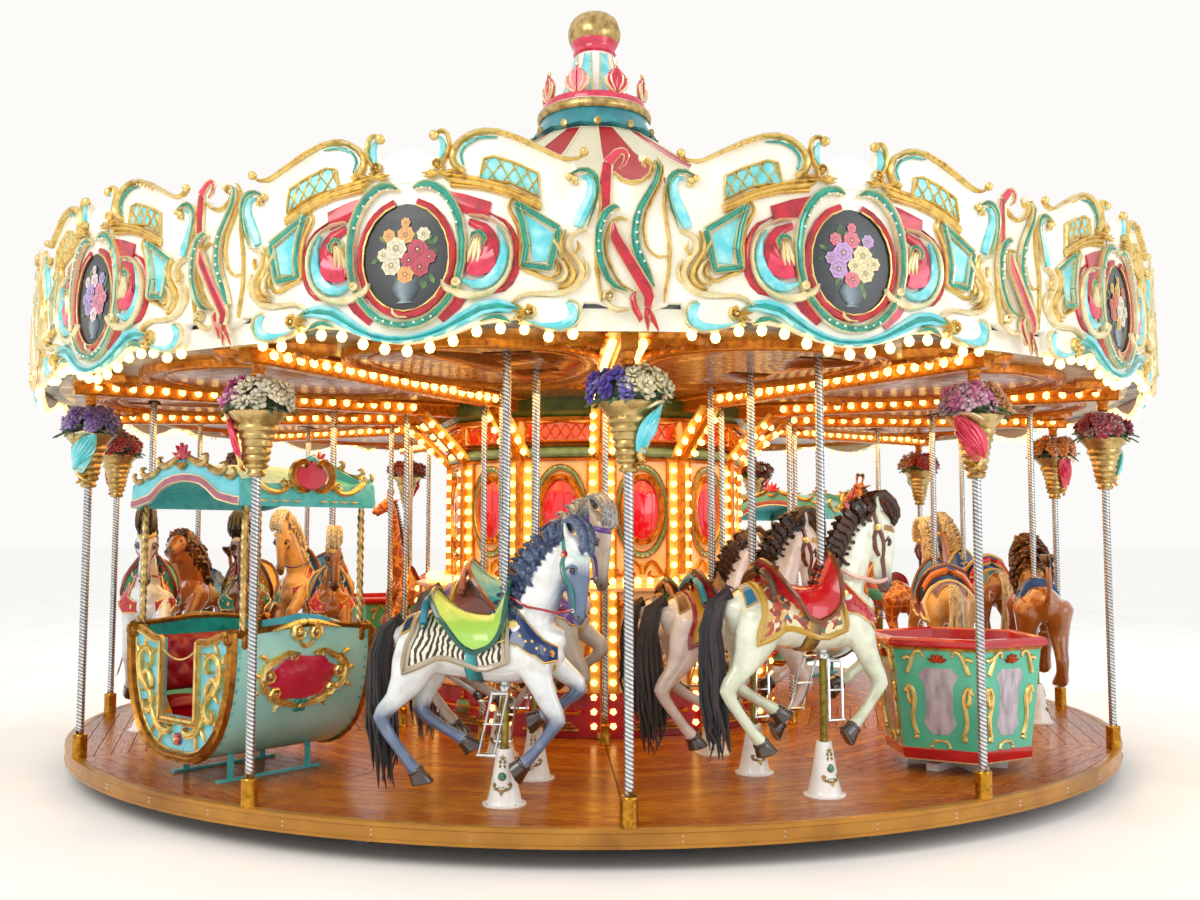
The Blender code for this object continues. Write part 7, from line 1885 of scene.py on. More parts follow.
def horse_tack(groom, coat):
    """Saddle, cloth, girth, breast collar, bridle and reins."""
    cloth = {"zebra": zebra_cloth, "tapestry": tapestry_cloth}.get(coat.get("pattern"), tack_enamel)
    groom.drape(((0, 60, 100, 130), (-0.51, -0.53, -0.575, -0.59)), ((0, 60, 130), (0.03, 0.045, 0.06)), ((0, 0.35, 0.75, 1), (122, 101, 124, 108)), 0.011, cloth,
                colour=None if coat.get("pattern") else coat["cloth"], edge=coat["fringe"], rim=0.017, steps=(24, 10))
    # Seat with a high cantle and pommel, its flap rounded below
    edge = coat["edge"]

    def seat(s, turn):
        slope = max(0.0, math.cos(math.radians(turn * 1.05)))
        return slope * (0.022 + 0.105 * max(0, 1 - s / 0.42) ** 1.8 + 0.085 * max(0, (s - 0.68) / 0.32) ** 1.8)
    groom.drape(((0, 28, 45, 58, 70, 80, 87, 91), (-0.44, -0.43, -0.375, -0.315, -0.270, -0.235, -0.200, -0.165)),
                ((0, 30, 50, 63, 74, 83, 88, 91), (0.035, 0.035, 0.025, 0.008, -0.022, -0.060, -0.095, -0.135)), ((0, 1), (91, 91)), 0.020,
                tack_enamel, colour=coat["saddle"], edge=edge, rim=0.017, swell=seat, steps=(28, 10))
    # Cantle roll behind the seat
    path = []
    for turn in np.linspace(-52, 52, 9):
        t = math.radians(turn)
        way = Vector((0, math.sin(t), math.cos(t)))
        p = groom.hit(Vector((-0.455, 0, 0.02)), way) + way * (0.012 + 0.085 * max(0, math.cos(t * 1.2)))
        path.append((p.x - 0.012 * math.cos(t), p.y, p.z, 0.026 * (0.6 + 0.4 * math.cos(t))))
    groom.ink(coat.get("roll", edge))
    groom.lock(path, tack_enamel, 1.0, 8, 1)
    groom.ink(edge)
    groom.lock([(x, y * 1.01, z - 0.028, r * 0.8) for x, y, z, r in path], tack_enamel, 1.0, 6, 1)
    # Crupper on the rump, gilt at its edges
    groom.drape(((0, 60), (-0.60, -0.62)), ((0, 60), (-0.545, -0.555)), ((0, 1), (58, 52)), 0.010, tack_enamel, colour=coat["strap"], edge="c8a040", rim=0.006, steps=(12, 2))
    # Girth round the belly
    groom.wrap((-0.165, 0, 0.02), (1, 0, 0), (0, 0, 1), 0.105, 84, 276, 0.013, [coat["girth_edge"], coat["girth"], coat["girth"], coat["girth"], coat["girth"], coat["girth_edge"]], 18)
    for side in (-1, 1):
        groom.flank([(0.045, 0.315), (0.11, 0.245), (0.19, 0.16), (0.27, 0.085), (0.34, 0.045)],
                    [(-0.005, 0.075), (0.045, 0.095), (0.085, 0.055), (0.135, 0.065), (0.175, 0.01), (0.22, 0.015), (0.265, -0.045), (0.34, -0.04)], side, 0.013, coat["collar"], coat["collar_edge"])
        for x, z in ((0.13, 0.115), (0.165, 0.085), (0.205, 0.085), (0.235, 0.045), (0.275, 0.035)):
            groom.boss(x, z, side, 0.011, jewel if coat.get("jewels") else gold, 0.014)
        groom.boss(0.075, 0.175, side, 0.034, gold, 0.012, 0.4)
        groom.boss(0.305, 0.005, side, 0.026, gold, 0.010)
        groom.boss(0.305, 0.005, side, 0.012, jewel, 0.026)
        for x in (0.29, 0.315):
            groom.ink(coat["collar_edge"])
            groom.lock([(x, side * 0.055, -0.03, 0.010), (x + 0.004, side * 0.062, -0.07, 0.016), (x, side * 0.055, -0.105, 0.004)], tack_enamel, 0.7, 5, 1)
    # Bridle
    groom.wrap((0.452, 0, 0.595), (0.22, 0, 1), (1, 0, -0.22), 0.036, -98, 98, 0.010, [coat["brow"]] * 2, 14, 0.2, 0.06)
    for side in (-1, 1):
        groom.strip([(0.372, 0.71, 0.012), (0.385, 0.65, 0.014), (0.398, 0.595, 0.015), (0.418, 0.50, 0.014), (0.438, 0.40, 0.013), (0.452, 0.31, 0.012), (0.455, 0.262, 0.010)], side, 0.009, coat["bridle"])
        groom.strip([(0.392, 0.595, 0.011), (0.366, 0.53, 0.011), (0.378, 0.455, 0.010), (0.408, 0.41, 0.008)], side, 0.008, coat["bridle"])
        groom.boss(0.396, 0.595, side, 0.030, jewel if coat.get("red_boss") else gold, 0.006)
        groom.boss(0.396, 0.595, side, 0.014, gold, 0.022)
        groom.boss(0.452, 0.258, side, 0.016, chrome, 0.006)
        groom.ink(coat["rein"])
        groom.tube([(0.452, side * 0.055, 0.262), (0.40, side * 0.082, 0.25), (0.33, side * 0.10, 0.25), (0.25, side * 0.115, 0.268), (0.16, side * 0.125, 0.285), (0.09, side * 0.11, 0.32),
                    (0.03, side * 0.06, 0.345)], coat.get("rein_size", 0.009), tack_enamel, 5, 2)
    footrests(groom, 0.135)


def head_trim(groom, eye, nostril, lid):
    for side in (-1, 1):
        groom.ink(lid)
        groom.boss(eye[0] - 0.003, eye[1], side, eye[2] * 1.25, coat_enamel, -0.006)
        groom.boss(eye[0], eye[1], side, eye[2], eye_glass, 0.002, 0.8)
        groom.strip([(eye[0] - 0.038, eye[1] + 0.004, 0.004), (eye[0] - 0.005, eye[1] + 0.030, 0.010), (eye[0] + 0.025, eye[1] + 0.012, 0.004)], side, 0.011, lid, finish_=coat_enamel)
        groom.boss(nostril[0], nostril[1], side, nostril[2], eye_glass, -0.002)
        # Open lips and the bit between them
        groom.strip([(nostril[0] - 0.075, nostril[1] + 0.020, 0.003), (nostril[0] - 0.04, nostril[1] - 0.010, 0.006), (nostril[0] - 0.018, nostril[1] - 0.028, 0.003)], side, 0.004, "4a1418", finish_=coat_enamel)


def brushed(skin, base, shade, low, points):
    """Coat colours for each skin vertex: the base tone, shaded below, and brushed darker round the given points."""
    co = np.array([v.co for v in skin.vertices])
    base, shade, low = (np.array(linear(c)) for c in (base, shade, low))
    under = np.clip((-co[:, 2] - 0.02) / 0.35, 0, 1)[:, None] * 0.7
    tone = base * (1 - under) + shade * under
    for x, y, z, size in points:
        near = np.clip((size - np.linalg.norm(co - (x, y, z), axis=1)) / (size * 0.45), 0, 1)[:, None]
        tone = tone * (1 - near) + low * near
    tone[:, 3] = 1
    return tone


def look_round(mesh, degrees):
    """Turns the head about the upright through the poll, easing off down the neck."""
    co = np.empty(len(mesh.vertices) * 3)
    mesh.vertices.foreach_get("co", co)
    co = co.reshape(-1, 3)
    share = np.clip((co[:, 0] - 0.24) / 0.20, 0, 1) * np.clip((co[:, 2] - 0.10) / 0.08, 0, 1)
    share *= share * (3 - 2 * share)
    t = np.radians(degrees) * share
    x, y = co[:, 0] - 0.38, co[:, 1].copy()
    co[:, 0] = 0.38 + x * np.cos(t) - y * np.sin(t)
    co[:, 1] = x * np.sin(t) + y * np.cos(t)
    mesh.vertices.foreach_set("co", co.ravel())


def pole_mesh(foot=-0.846, head=2.05):
    art = Carving()
    lathe_part(art, [(0.0, foot), (0.020, foot), (0.0235, foot + 0.004), (0.0235, -0.03), (0.0, -0.03)], 10, rod_brass)
    lathe_part(art, [(0.020, -0.235), (0.036, -0.235), (0.040, -0.228), (0.040, -0.205), (0.032, -0.195), (0.030, -0.15), (0.020, -0.15)], 12, chrome)
    tube = twisted(head - 0.155, 0.030, 0.0026, silver_tube, sides=6, per_rib=2)
    return merged("pole", [(art.mesh("rod", 35), Matrix()), (tube, Matrix.Translation((0, 0, 0.155)))])


WHITE = ("f3f4f0", "d8dcd8")
COATS = {
    "horse_01": dict(base="eef2f2", shade="c4ced4", low="5a6f92", socks=1, mane=("44587c", "5a6e92", "6c80a0", "3a4c70"), tail=("141218", "241e22", "362a26"), bridle="2f8f84", brow="d6efea",
                     red_boss=1, saddle="aad860", edge="14564e", roll="2a86a8", cloth="efe8d4", pattern="zebra", fringe="b0a48c", girth="2fb0bc", girth_edge="125a60",
                     strap="1c2f5c", collar="1c3a6c", collar_edge="c8a040", rein="a8202c"),
    "horse_02": dict(base="cfc6ba", shade="a89c90", low="7c6e68", mane=("b8bec2", "ccd0d2", "9aa0a6"), tail=("5a4a40", "6a5848"), bridle="6444a0", brow="6444a0", saddle="2aa6b0",
                     edge="a05a40", roll="c87868", cloth="8a4a3c", fringe="c8a040", girth="a05a40", girth_edge="5a2a1c", strap="6444a0", collar="6444a0",
                     collar_edge="c8a040", rein="6444a0"),
    "horse_03": dict(base="e0e2e2", shade="b8bec4", low="8a9098", mane=("5a4034", "6a4c3c"), tail=("241814", "30201a"), bridle="8a3a20", brow="c8a040", saddle="2aa8a8", edge="5a2c1c", roll="7a3c68", cloth="6a3a5a", fringe="c8a040", girth="7a3c68", girth_edge="3a1c34", strap="8a3a20", collar="2a8a8a", collar_edge="c8a040", rein="8a3a20"),
    "horse_04": dict(base="ebf0dc", shade="c8d2b4", low="5a3a28", mane=("4c2a18", "5e3822", "3a2012"), tail=("101018", "1c1c28", "34262a"), bridle="6a3820", brow="a87838", saddle="cc1626",
                     edge="7a3c18", roll="5a4030", cloth="2f7f8a", pattern="tapestry", fringe="c8a040", tassel="d8b050", girth="a8823a", girth_edge="5a3a18", strap="2a7aa8",
                     collar="b81c28", collar_edge="d8b050", jewels=1, rein="e0b8a8", rein_size=0.016),
    "horse_05": dict(base="f0e2da", shade="d4bcb0", low="4a3024", mane=("38231a", "482e20"), tail=("2a1c16", "36241c"), bridle="6a2818", brow="c8a040", saddle="c41c2a", edge="5a2c14", roll="2f8fa0", cloth="e0a838", fringe="a02838", girth="c41c2a", girth_edge="5a1018", strap="6a2818", collar="c41c2a", collar_edge="d8b050", rein="6a2818"),
    "horse_06": dict(base="e8e4ee", shade="c4bcd0", low="7a7088", mane=("4a342a", "5a4032"), tail=("2c1c16", "38241a"), bridle="4a3a80", brow="c8a040", saddle="7a4424", edge="3a1c10", roll="a86838", cloth="3a8a5a", fringe="c8a040", girth="7a4424", girth_edge="3a1c10", strap="4a3a80", collar="3a8a5a", collar_edge="c8a040", rein="4a3a80"),
    "chestnut": dict(base="a8642c", shade="7a4018", low="3a1c0c", mane=("e8dcc0", "d8c8a4", "f0e8d0"), tail=("ece2ca", "d8caa8"), bridle="2a6a8a", brow="d8b050", saddle="2a5aa0", edge="d8b050", roll="c8202c", cloth="c8202c", fringe="d8b050", girth="2a6a8a", girth_edge="123a50", strap="2a6a8a", collar="c8202c", collar_edge="d8b050", rein="2a6a8a"),
    "bay": dict(base="7a4424", shade="52280f", low="241008", mane=("241610", "30201a"), tail=("1c120e", "261a14"), bridle="a8202c", brow="e8dcc0", saddle="e0a030", edge="5a2c14", roll="a8202c", cloth="2f8f84", fringe="e8dcc0", girth="a8202c", girth_edge="5a1018", strap="a8202c", collar="2f8f84", collar_edge="d8b050", rein="a8202c"),
    "palomino": dict(base="dcb070", shade="b08448", low="7a5428", mane=("f4ecd4", "e6dabc"), tail=("f0e8d0", "dccfae"), bridle="5a3a8a", brow="d8b050", saddle="2a78b8", edge="8a4a1c", roll="e07828", cloth="b8385a", fringe="f0dca0", girth="5a3a8a", girth_edge="2c1c4a", strap="5a3a8a", collar="b8385a", collar_edge="d8b050", rein="5a3a8a"),
    "grey": dict(base="dfe2e4", shade="b0b6bc", low="5c6068", mane=("3a2a24", "4a362c"), tail=("2a201c", "3a2c26"), bridle="b81c2c", brow="d8b050", saddle="2f9f6a", edge="8a3018", roll="e0b040", cloth="3a58a0", fringe="d8b050", girth="b81c2c", girth_edge="5a1018", strap="b81c2c", collar="b81c2c", collar_edge="d8b050", rein="b81c2c")}
OTHER_COATS = {"horse_07": "chestnut", "horse_08": "palomino", "horse_09": "grey", "horse_10": "bay", "horse_11": "palomino", "horse_12": "chestnut", "horse_13": "palomino",
               "horse_14": "bay", "horse_15": "grey", "horse_16": "chestnut"}


LOOKS = {"horse_01": -26, "horse_02": -30, "horse_03": -8, "horse_04": -4, "horse_05": 6}


def dress_horse(skin, coat, pick):
    groom, locks = Groom(skin), Groom(skin)
    hooves(groom, HORSE_HOOVES, "3a2c24")
    horse_locks(locks, coat, pick)
    horse_tack(groom, coat)
    head_trim(locks, (0.470, 0.500, 0.023), (0.497, 0.222, 0.012), coat["low"])
    dark = [(x, y, z, 0.075) for top, (x, y, z) in HORSE_HOOVES] + [(0.47, 0, 0.20, 0.12)]
    if coat.get("socks"):
        dark = [(0.49, 0, 0.27, 0.25), (0.50, 0, 0.42, 0.17), (0.43, 0, 0.40, 0.12), (0.30, -0.12, -0.46, 0.14), (0.20, -0.12, -0.60, 0.12), (0.41, 0.12, -0.28, 0.12), (0.28, 0.12, -0.36, 0.13), (-0.72, -0.12, -0.42, 0.12),
                (-0.64, -0.12, -0.56, 0.13), (-0.56, -0.12, -0.68, 0.11), (-0.55, 0.12, -0.39, 0.10), (-0.46, 0.12, -0.46, 0.12), (-0.34, 0.12, -0.53, 0.12)]
    dress = merged("dress", [(thinned(groom.art.mesh("tack"), 0.66), Matrix()), (locks.art.mesh("locks", 50), Matrix())])
    return dress, brushed(skin, coat["base"], coat["shade"], coat["low"], dark)


def dress_lion(skin, pick):
    """Curled mane round the head, tail tuft, saddle cloth and collar."""
    groom = Groom(skin)
    browns = ("5a2e14", "6e3a1a", "7c4822", "4a240e")
    rings = ((0.41, 0.50, 0.125, 18), (0.365, 0.48, 0.155, 22), (0.315, 0.44, 0.180, 24), (0.26, 0.39, 0.195, 26), (0.20, 0.33, 0.205, 26), (0.15, 0.27, 0.200, 24), (0.11, 0.21, 0.185, 20))
    for ring, (x, z, reach, count) in enumerate(rings):
        for k in range(count):
            t = 2 * math.pi * (k + 0.5 * (ring % 2)) / count
            s, c = math.sin(t), math.cos(t)
            groom.ink(pick.choice(browns))
            r, wave = reach * pick.uniform(0.94, 1.08), pick.choice((-1, 1)) * pick.uniform(0.014, 0.024)
            base = Vector((x - 0.175 * r * c, s * r * 0.74, z + c * r * 0.9))
            path = [(x, s * r * 0.35, z + c * r * 0.5, 0.026), (*base, 0.032)]
            for f, sway, thick in ((0.35, 1.0, 0.029), (0.7, -0.8, 0.024), (1.0, 0.9, 0.015), (0.88, 2.0, 0.005)):
                path.append((base.x - 0.085 * f, base.y * (1 + 0.16 * f) + c * wave * sway, base.z - 0.055 * f + 0.03 * f * c - s * wave * sway, thick))
            groom.lock(path, lock_enamel, 0.9, 5, 1)
    for k in range(12):
        a = k * 2.39996
        groom.ink(pick.choice(browns))
        dx, dy = 0.036 * math.cos(a), 0.036 * math.sin(a)
        groom.lock([(-0.765, 0, 0.34, 0.014), (-0.75 + dx, dy, 0.40, 0.026), (-0.71 + dx * 1.4, dy * 1.4, 0.44, 0.018), (-0.66 + dx, dy, 0.45, 0.004)], lock_enamel)
    trim, field = "d8b050", "2fa0a8"
    groom.wrap((-0.17, 0, 0.0), (1, 0, 0), (0, 0, 1), 0.34, -105, 105, 0.014, [trim] + [field] * 6 + [trim], 18)
    groom.wrap((-0.17, 0, 0.0), (1, 0, 0), (0, 0, 1), 0.26, -66, 66, 0.012, ["1c4a8a"] + ["2a62b0"] * 4 + ["1c4a8a"], 16,
               swell=lambda s, t: max(0.0, math.cos(t * 1.15)) * (0.03 + 0.05 * abs(s) ** 2.4))
    groom.wrap((0.03, 0, 0.0), (1, 0, 0), (0, 0, 1), 0.05, 0, 360, 0.012, [trim, "a8202c", trim], 24)
    for side in (-1, 1):
        groom.ink("5a2e14")
        groom.boss(0.475, 0.515, side, 0.020, coat_enamel, -0.008)
        groom.boss(0.482, 0.512, side, 0.013, eye_glass, 0.0, 0.8)
        for x, z in ((0.565, 0.395), (0.548, 0.385)):
            groom.boss(x, z, side, 0.005, eye_glass, 0.0)
        groom.strip([(0.585, 0.405, 0.004), (0.60, 0.42, 0.012), (0.57, 0.435, 0.004)], side, 0.006, "2a1008", finish_=coat_enamel)
    footrests(groom, 0.125)
    dark = [(0.60, 0, 0.42, 0.06), (0.41, -0.12, -0.59, 0.07), (0.61, 0.12, -0.38, 0.07)]
    return thinned(groom.art.mesh("dress"), 0.72), brushed(skin, "a8602a", "7c431a", "4a230e", dark)


def dress_giraffe(skin, pick):
    groom = Groom(skin)
    hooves(groom, GIRAFFE_HOOVES, "3a2416")
    for k in range(26):
        t = k / 25
        x, z = np.interp(t, (0, 0.5, 1), (-0.01, 0.125, 0.27)), np.interp(t, (0, 0.5, 1), (0.30, 0.70, 1.14))
        groom.ink(pick.choice(("5a2c10", "6e3a18", "4a2008")))
        for side in (-1, 1):
            groom.lock([(x + 0.03, side * 0.006, z - 0.02, 0.018), (x - 0.008, side * 0.010, z + 0.012, 0.020), (x - 0.045, side * 0.010, z + 0.004, 0.005)], lock_enamel, 0.6, 5)
    for k in range(10):
        a = k * 2.39996
        dx, dy = 0.022 * math.cos(a), 0.022 * math.sin(a)
        groom.ink(pick.choice(("2a140a", "3a1c0e")))
        groom.lock([(-0.60, 0, -0.19, 0.012), (-0.605 + dx, dy, -0.26, 0.014), (-0.60 + dx * 1.5, dy * 1.5, -0.36, 0.010), (-0.60 + dx, dy, -0.44, 0.003)], tail_hair, 0.8, 5)
    for side in (-1, 1):
        groom.ink("3a1c0e")
        groom.boss(0.337, 1.285, side, 0.026, coat_enamel, -0.022, 0.9)
        groom.boss(0.43, 1.135, side, 0.014, eye_glass, 0.0, 0.8)
        groom.boss(0.615, 1.03, side, 0.007, eye_glass, -0.003)
        groom.strip([(0.35, 1.19, 0.009), (0.40, 1.10, 0.010), (0.47, 1.035, 0.008)], side, 0.008, "b81c2c")
        groom.strip([(0.06, 0.05, 0.02), (0.13, 0.08, 0.024), (0.20, 0.12, 0.018)], side, 0.012, "b81c2c", "d8b050")
    groom.wrap((0.50, 0, 1.06), (1, 0, -0.5), (0.5, 0, 1), 0.024, 0, 360, 0.007, ["b81c2c"] * 2, 16, 0.2, 0.04)
    groom.wrap((-0.15, 0, 0.02), (1, 0, 0), (0, 0, 1), 0.36, -108, 108, 0.014, ["d8b050"] + ["2f8f84"] * 6 + ["d8b050"], 20)
    groom.wrap((-0.15, 0, 0.02), (1, 0, 0), (0, 0, 1), 0.27, -66, 66, 0.012, ["8a1420"] + ["c8202c"] * 4 + ["8a1420"], 16,
               swell=lambda s, t: max(0.0, math.cos(t * 1.15)) * (0.03 + 0.06 * abs(s) ** 2.4))
    groom.wrap((0.04, 0, 0.04), (1, 0, 0), (0, 0, 1), 0.05, 0, 360, 0.012, ["d8b050", "b81c2c", "d8b050"], 24)
    footrests(groom, 0.125)
    return groom.art.mesh("dress", 35), None


def animals():
    skins = {"horse": carved_body(HORSE, 0.0135, 5200), "lion": carved_body(LION, 0.015, 4600), "giraffe": carved_body(GIRAFFE, 0.014, 5000)}
    pole = pole_mesh()
    for number, (name, row, angle, lift) in enumerate(RIDERS):
        kind = name.split("_")[0]
        pick = random.Random(100 + number)
        if kind == "horse":
            dress, tones = dress_horse(skins[kind], COATS[OTHER_COATS.get(name, name)], pick)
        else:
            dress, tones = (dress_lion if kind == "lion" else dress_giraffe)(skins[kind], pick)
        skin = skins[kind].copy()
        skin.materials.clear()
        skin.materials.append(coat_enamel if tones is not None else patched_hide)
        layer = skin.color_attributes.new("paint", "FLOAT_COLOR", "POINT")
        layer.data.foreach_set("color", (tones if tones is not None else np.ones((len(skin.vertices), 4))).astype(np.float32).ravel())
        if kind == "horse":
            for mesh in (skin, dress):
                look_round(mesh, LOOKS.get(name, pick.uniform(-14, 14)))
        size = Matrix.Scale(0.86 if row == "inner" else 1.0, 4)
        show("dressed_" + name, merged("dressed_" + name, [(skin, size), (dress, size), (pole, Matrix())]), body=name + "_body",
             where=spot(ROWS[row], angle, BODY_HEIGHT + lift), replaces=(name,))


animals()


# Gondolas: hull of glass fibre with gilt mouldings, tufted pads and a canopy on four twisted posts

GONDOLAS = (("a", -43.0), ("b", 137.0))
IN_R, OUT_R, HALF, KEEL = 3.22, 4.27, 0.66, 0.14
MID_R = (IN_R + OUT_R) / 2

# Gelcoat of the hull, sprayed from pale blue to turquoise
hull_blue = surface("gondola_blue_gelcoat", "a2dcd8", "86cec9", (0.14, 0.26), grain=420, coat=0.6)
panel_blue = surface("bright_aqua_gelcoat", "62c3d2", "48aabb", (0.14, 0.26), grain=200, coat=0.6)
runner_blue = surface("turquoise_steel_enamel", "5ccacc", "44b4ba", (0.25, 0.4), grain=60, coat=0.2)
mauve = surface("mauve_enamel", "a4566a", "8a4254", (0.2, 0.34), grain=90, coat=0.4)
cartouche_red = surface("rose_red_lacquer", "d42a50", "b01838", (0.1, 0.2), grain=300, coat=0.8)
# Dark bronze-gold of the thick edge mouldings
edge_bronze = surface("bronzed_edge_gilding", "b67c2e", "7a4a14", (0.22, 0.4), metallic=0.75, grain=60, relief=0.4)
# Buttoned leathercloth, deep red with a soft grain
red_hide = surface("red_buttoned_leathercloth", "b00c18", "8a0610", (0.28, 0.45), grain=12, coat=0.2, relief=0.25)
tub_green = surface("sea_green_gelcoat", "4fbf9c", "3fa98a", (0.14, 0.24), grain=500, coat=0.6)
tub_red = surface("scarlet_gelcoat", "c40a18", "a00814", (0.12, 0.24), grain=300, coat=0.7)
marbled_panel = surface("marbled_lilac_laminate", "bdb3bc", "8d8492", (0.2, 0.34), grain=110, stretch=(2.4, 2.4, 0.7), coat=0.25)
shell_gilt = surface("red_gold_shell_gilding", "c4501e", "8a1c10", (0.2, 0.36), metallic=0.5, grain=16)


def hull_side(steps=6):
    """The U of the hull from keel to rim on the right: travel, height and outward direction."""
    line = spline([(0.0, KEEL), (HALF * 0.24, KEEL + 0.006), (HALF * 0.52, KEEL + 0.06), (HALF * 0.78, 0.345), (HALF * 0.93, 0.56), (HALF * 0.99, 0.78), (HALF, 0.97)], steps)
    ahead = np.gradient(line, axis=0)
    out = np.stack([ahead[:, 1], -ahead[:, 0]], 1)
    return line, out / np.linalg.norm(out, axis=1)[:, None]


U_LINE, U_OUT = hull_side()
U_ARC = np.concatenate([[0], np.cumsum(np.linalg.norm(np.diff(U_LINE, axis=0), axis=1))])


def hull_skin(side):
    """Lays (from the middle along the radius outwards, up the side, proud) on one flank of the hull."""
    def lay(p):
        x, z = (np.interp(p[:, 1], U_ARC, U_LINE[:, k]) for k in range(2))
        ox, oz = (np.interp(p[:, 1], U_ARC, U_OUT[:, k]) for k in range(2))
        over = np.maximum(p[:, 1] - U_ARC[-1], 0)
        return np.stack([side * (x + ox * p[:, 2]), -(MID_R + p[:, 0]), z + oz * p[:, 2] + over], 1)
    return lay


def hull_end(way):
    """Lays (across, height, proud) on the outer end (way 1) or the inner end (way -1)."""
    face = OUT_R if way > 0 else IN_R
    return lambda p: np.stack([p[:, 0] * way, -(face + way * p[:, 2]), p[:, 1]], 1)


def rim_rise(t):
    """How far the rim stands above its ends, t from -1 to 1 along the side."""
    return 0.062 * math.cos(t * math.pi / 2) ** 0.8 + 0.02 * abs(t) ** 3 if abs(t) < 1 else 0.02


def loop_of(outline, inset, top):
    return [(s * (x - inset), z + inset) if z < top else (s * (x - inset), top) for s, x, z in outline]


def hull_shell(art):
    """Walls of the hull with their arched rims, and the two end plates with the entrance."""
    length = OUT_R - IN_R
    for side in (-1, 1):
        art.lay = hull_skin(side)
        rows = []
        for t in np.linspace(-1, 1, 15):
            u, arc = t * (length / 2 - 0.004), U_ARC[-1] + rim_rise(t) - 0.01
            heights = np.linspace(0, arc, 20)
            rows.append([(u, h, 0) for h in heights] + [(u, h, -0.035) for h in heights[::-1]])
        art.rails(rows, [hull_blue] * 19 + [teal] * 21)
        for face in range(2):
            d = 0.012 if face == 0 else -0.047
            art.bead([(t * length / 2, U_ARC[-1] + rim_rise(t), 0.024) for t in np.linspace(-1, 1, 11)], -0.016, edge_bronze, 2)
        # Broad bronze bands down both ends of the flank
        for end in (-1, 1):
            u = end * (length / 2 - 0.034)
            art.scroll([(u, h, 0.036) for h in np.linspace(0.0, U_ARC[-1] + 0.02, 14)], -0.002, 0.020, edge_bronze, steps=1)
        # Long cartouche of rose red between gilt scrolls
        mid = 0.93
        field = [(-0.235, mid), (-0.25, mid + 0.07), (-0.19, mid + 0.10), (-0.15, mid + 0.145), (-0.05, mid + 0.15), (0.06, mid + 0.165), (0.17, mid + 0.14), (0.22, mid + 0.10),
                 (0.28, mid + 0.06), (0.27, mid - 0.02), (0.21, mid - 0.06), (0.16, mid - 0.12), (0.05, mid - 0.125), (0.0, mid - 0.16), (-0.06, mid - 0.125), (-0.16, mid - 0.11), (-0.21, mid - 0.05)]
        art.plate(field, 0.0, 0.014, cartouche_red, 0.010, 2)
        for s in (-1, 1):
            art.scroll([(s * 0.01, mid - 0.175, 0.010), (s * 0.10, mid - 0.155, 0.020), (s * 0.19, mid - 0.125, 0.024), (s * 0.245, mid - 0.075, 0.026), (s * 0.30, mid - 0.045, 0.022),
                        (s * 0.335, mid + 0.03, 0.020), (s * 0.315, mid + 0.10, 0.022), (s * 0.26, mid + 0.135, 0.024), (s * 0.21, mid + 0.155, 0.020), (s * 0.14, mid + 0.19, 0.014),
                        (s * 0.05, mid + 0.175, 0.006)], 0.0, 0.030, gold, gold, 0.005, 2)
            art.volute(s * 0.275, mid + 0.045, 0.062, 90, 1.2, 0.004, gold, 0.34, 0.034, -s)
            art.volute(s * 0.215, mid - 0.075, 0.050, -60, 1.1, 0.004, gold, 0.34, 0.030, s)
            art.volute(s * 0.10, mid + 0.165, 0.034, 200, 0.9, 0.004, gold, 0.34, 0.024, s)
            for du, dv, tu, tv in ((0.34, -0.06, 0.40, -0.085), (0.30, 0.15, 0.365, 0.175), (0.17, -0.16, 0.20, -0.205), (0.355, 0.045, 0.405, 0.05)):
                art.scroll([(s * du, mid + dv, 0.016), (s * (du + tu) / 2, mid + (dv + tv) / 2 + 0.012, 0.016), (s * tu, mid + tv, 0.003)], 0.0, 0.022, gold, steps=2)
            # Double C on the arched rim
            art.lay = hull_skin(side)
            art.volute(s * 0.062, U_ARC[-1] + 0.015, 0.058, 90, 1.35, 0.006, gold, 0.36, 0.034, -s)
            art.scroll([(s * 0.01, U_ARC[-1] + 0.085, 0.018), (s * 0.10, U_ARC[-1] + 0.072, 0.020), (s * 0.19, U_ARC[-1] + 0.052, 0.016), (s * 0.27, U_ARC[-1] + 0.036, 0.006)], 0.0, 0.028, gold, steps=2)
            art.scroll([(s * 0.05, U_ARC[-1] - 0.05, 0.014), (s * 0.02, U_ARC[-1] - 0.075, 0.016), (0.0, U_ARC[-1] - 0.085, 0.008)], 0.0, 0.024, gold, steps=2)
        for k in range(4):
            a = math.radians(45 + 90 * k)
            art.ball(0.03 * math.cos(a), mid - 0.175 + 0.035 * math.sin(a), 0.012, 0.026, teal, 4, 8, 0.7)
        art.ball(0.0, mid - 0.175, 0.022, 0.020, gold, 4, 8, 0.8)
    for way in (1, -1):
        art.lay = hull_end(way)
        right = [(x, z) for x, z in U_LINE[::2]]
        top = 0.93
        left = [(-x, z) for x, z in right[1:]][::-1]
        if way > 0:
            shoulder = [(HALF * 0.99, 0.975), (0.50, 0.955), (0.40, 0.905), (0.235, top), (0.235, 0.42)]
            outline = left + right[:-1] + shoulder + [(-x, z) for x, z in shoulder[::-1]]
        else:
            outline = left + right + [(0.5, 0.99), (0.3, 1.02), (0.12, 1.05), (-0.12, 1.05), (-0.3, 1.02), (-0.5, 0.99)]
        art.plate(outline, -0.034, 0.034, panel_blue, 0.002)
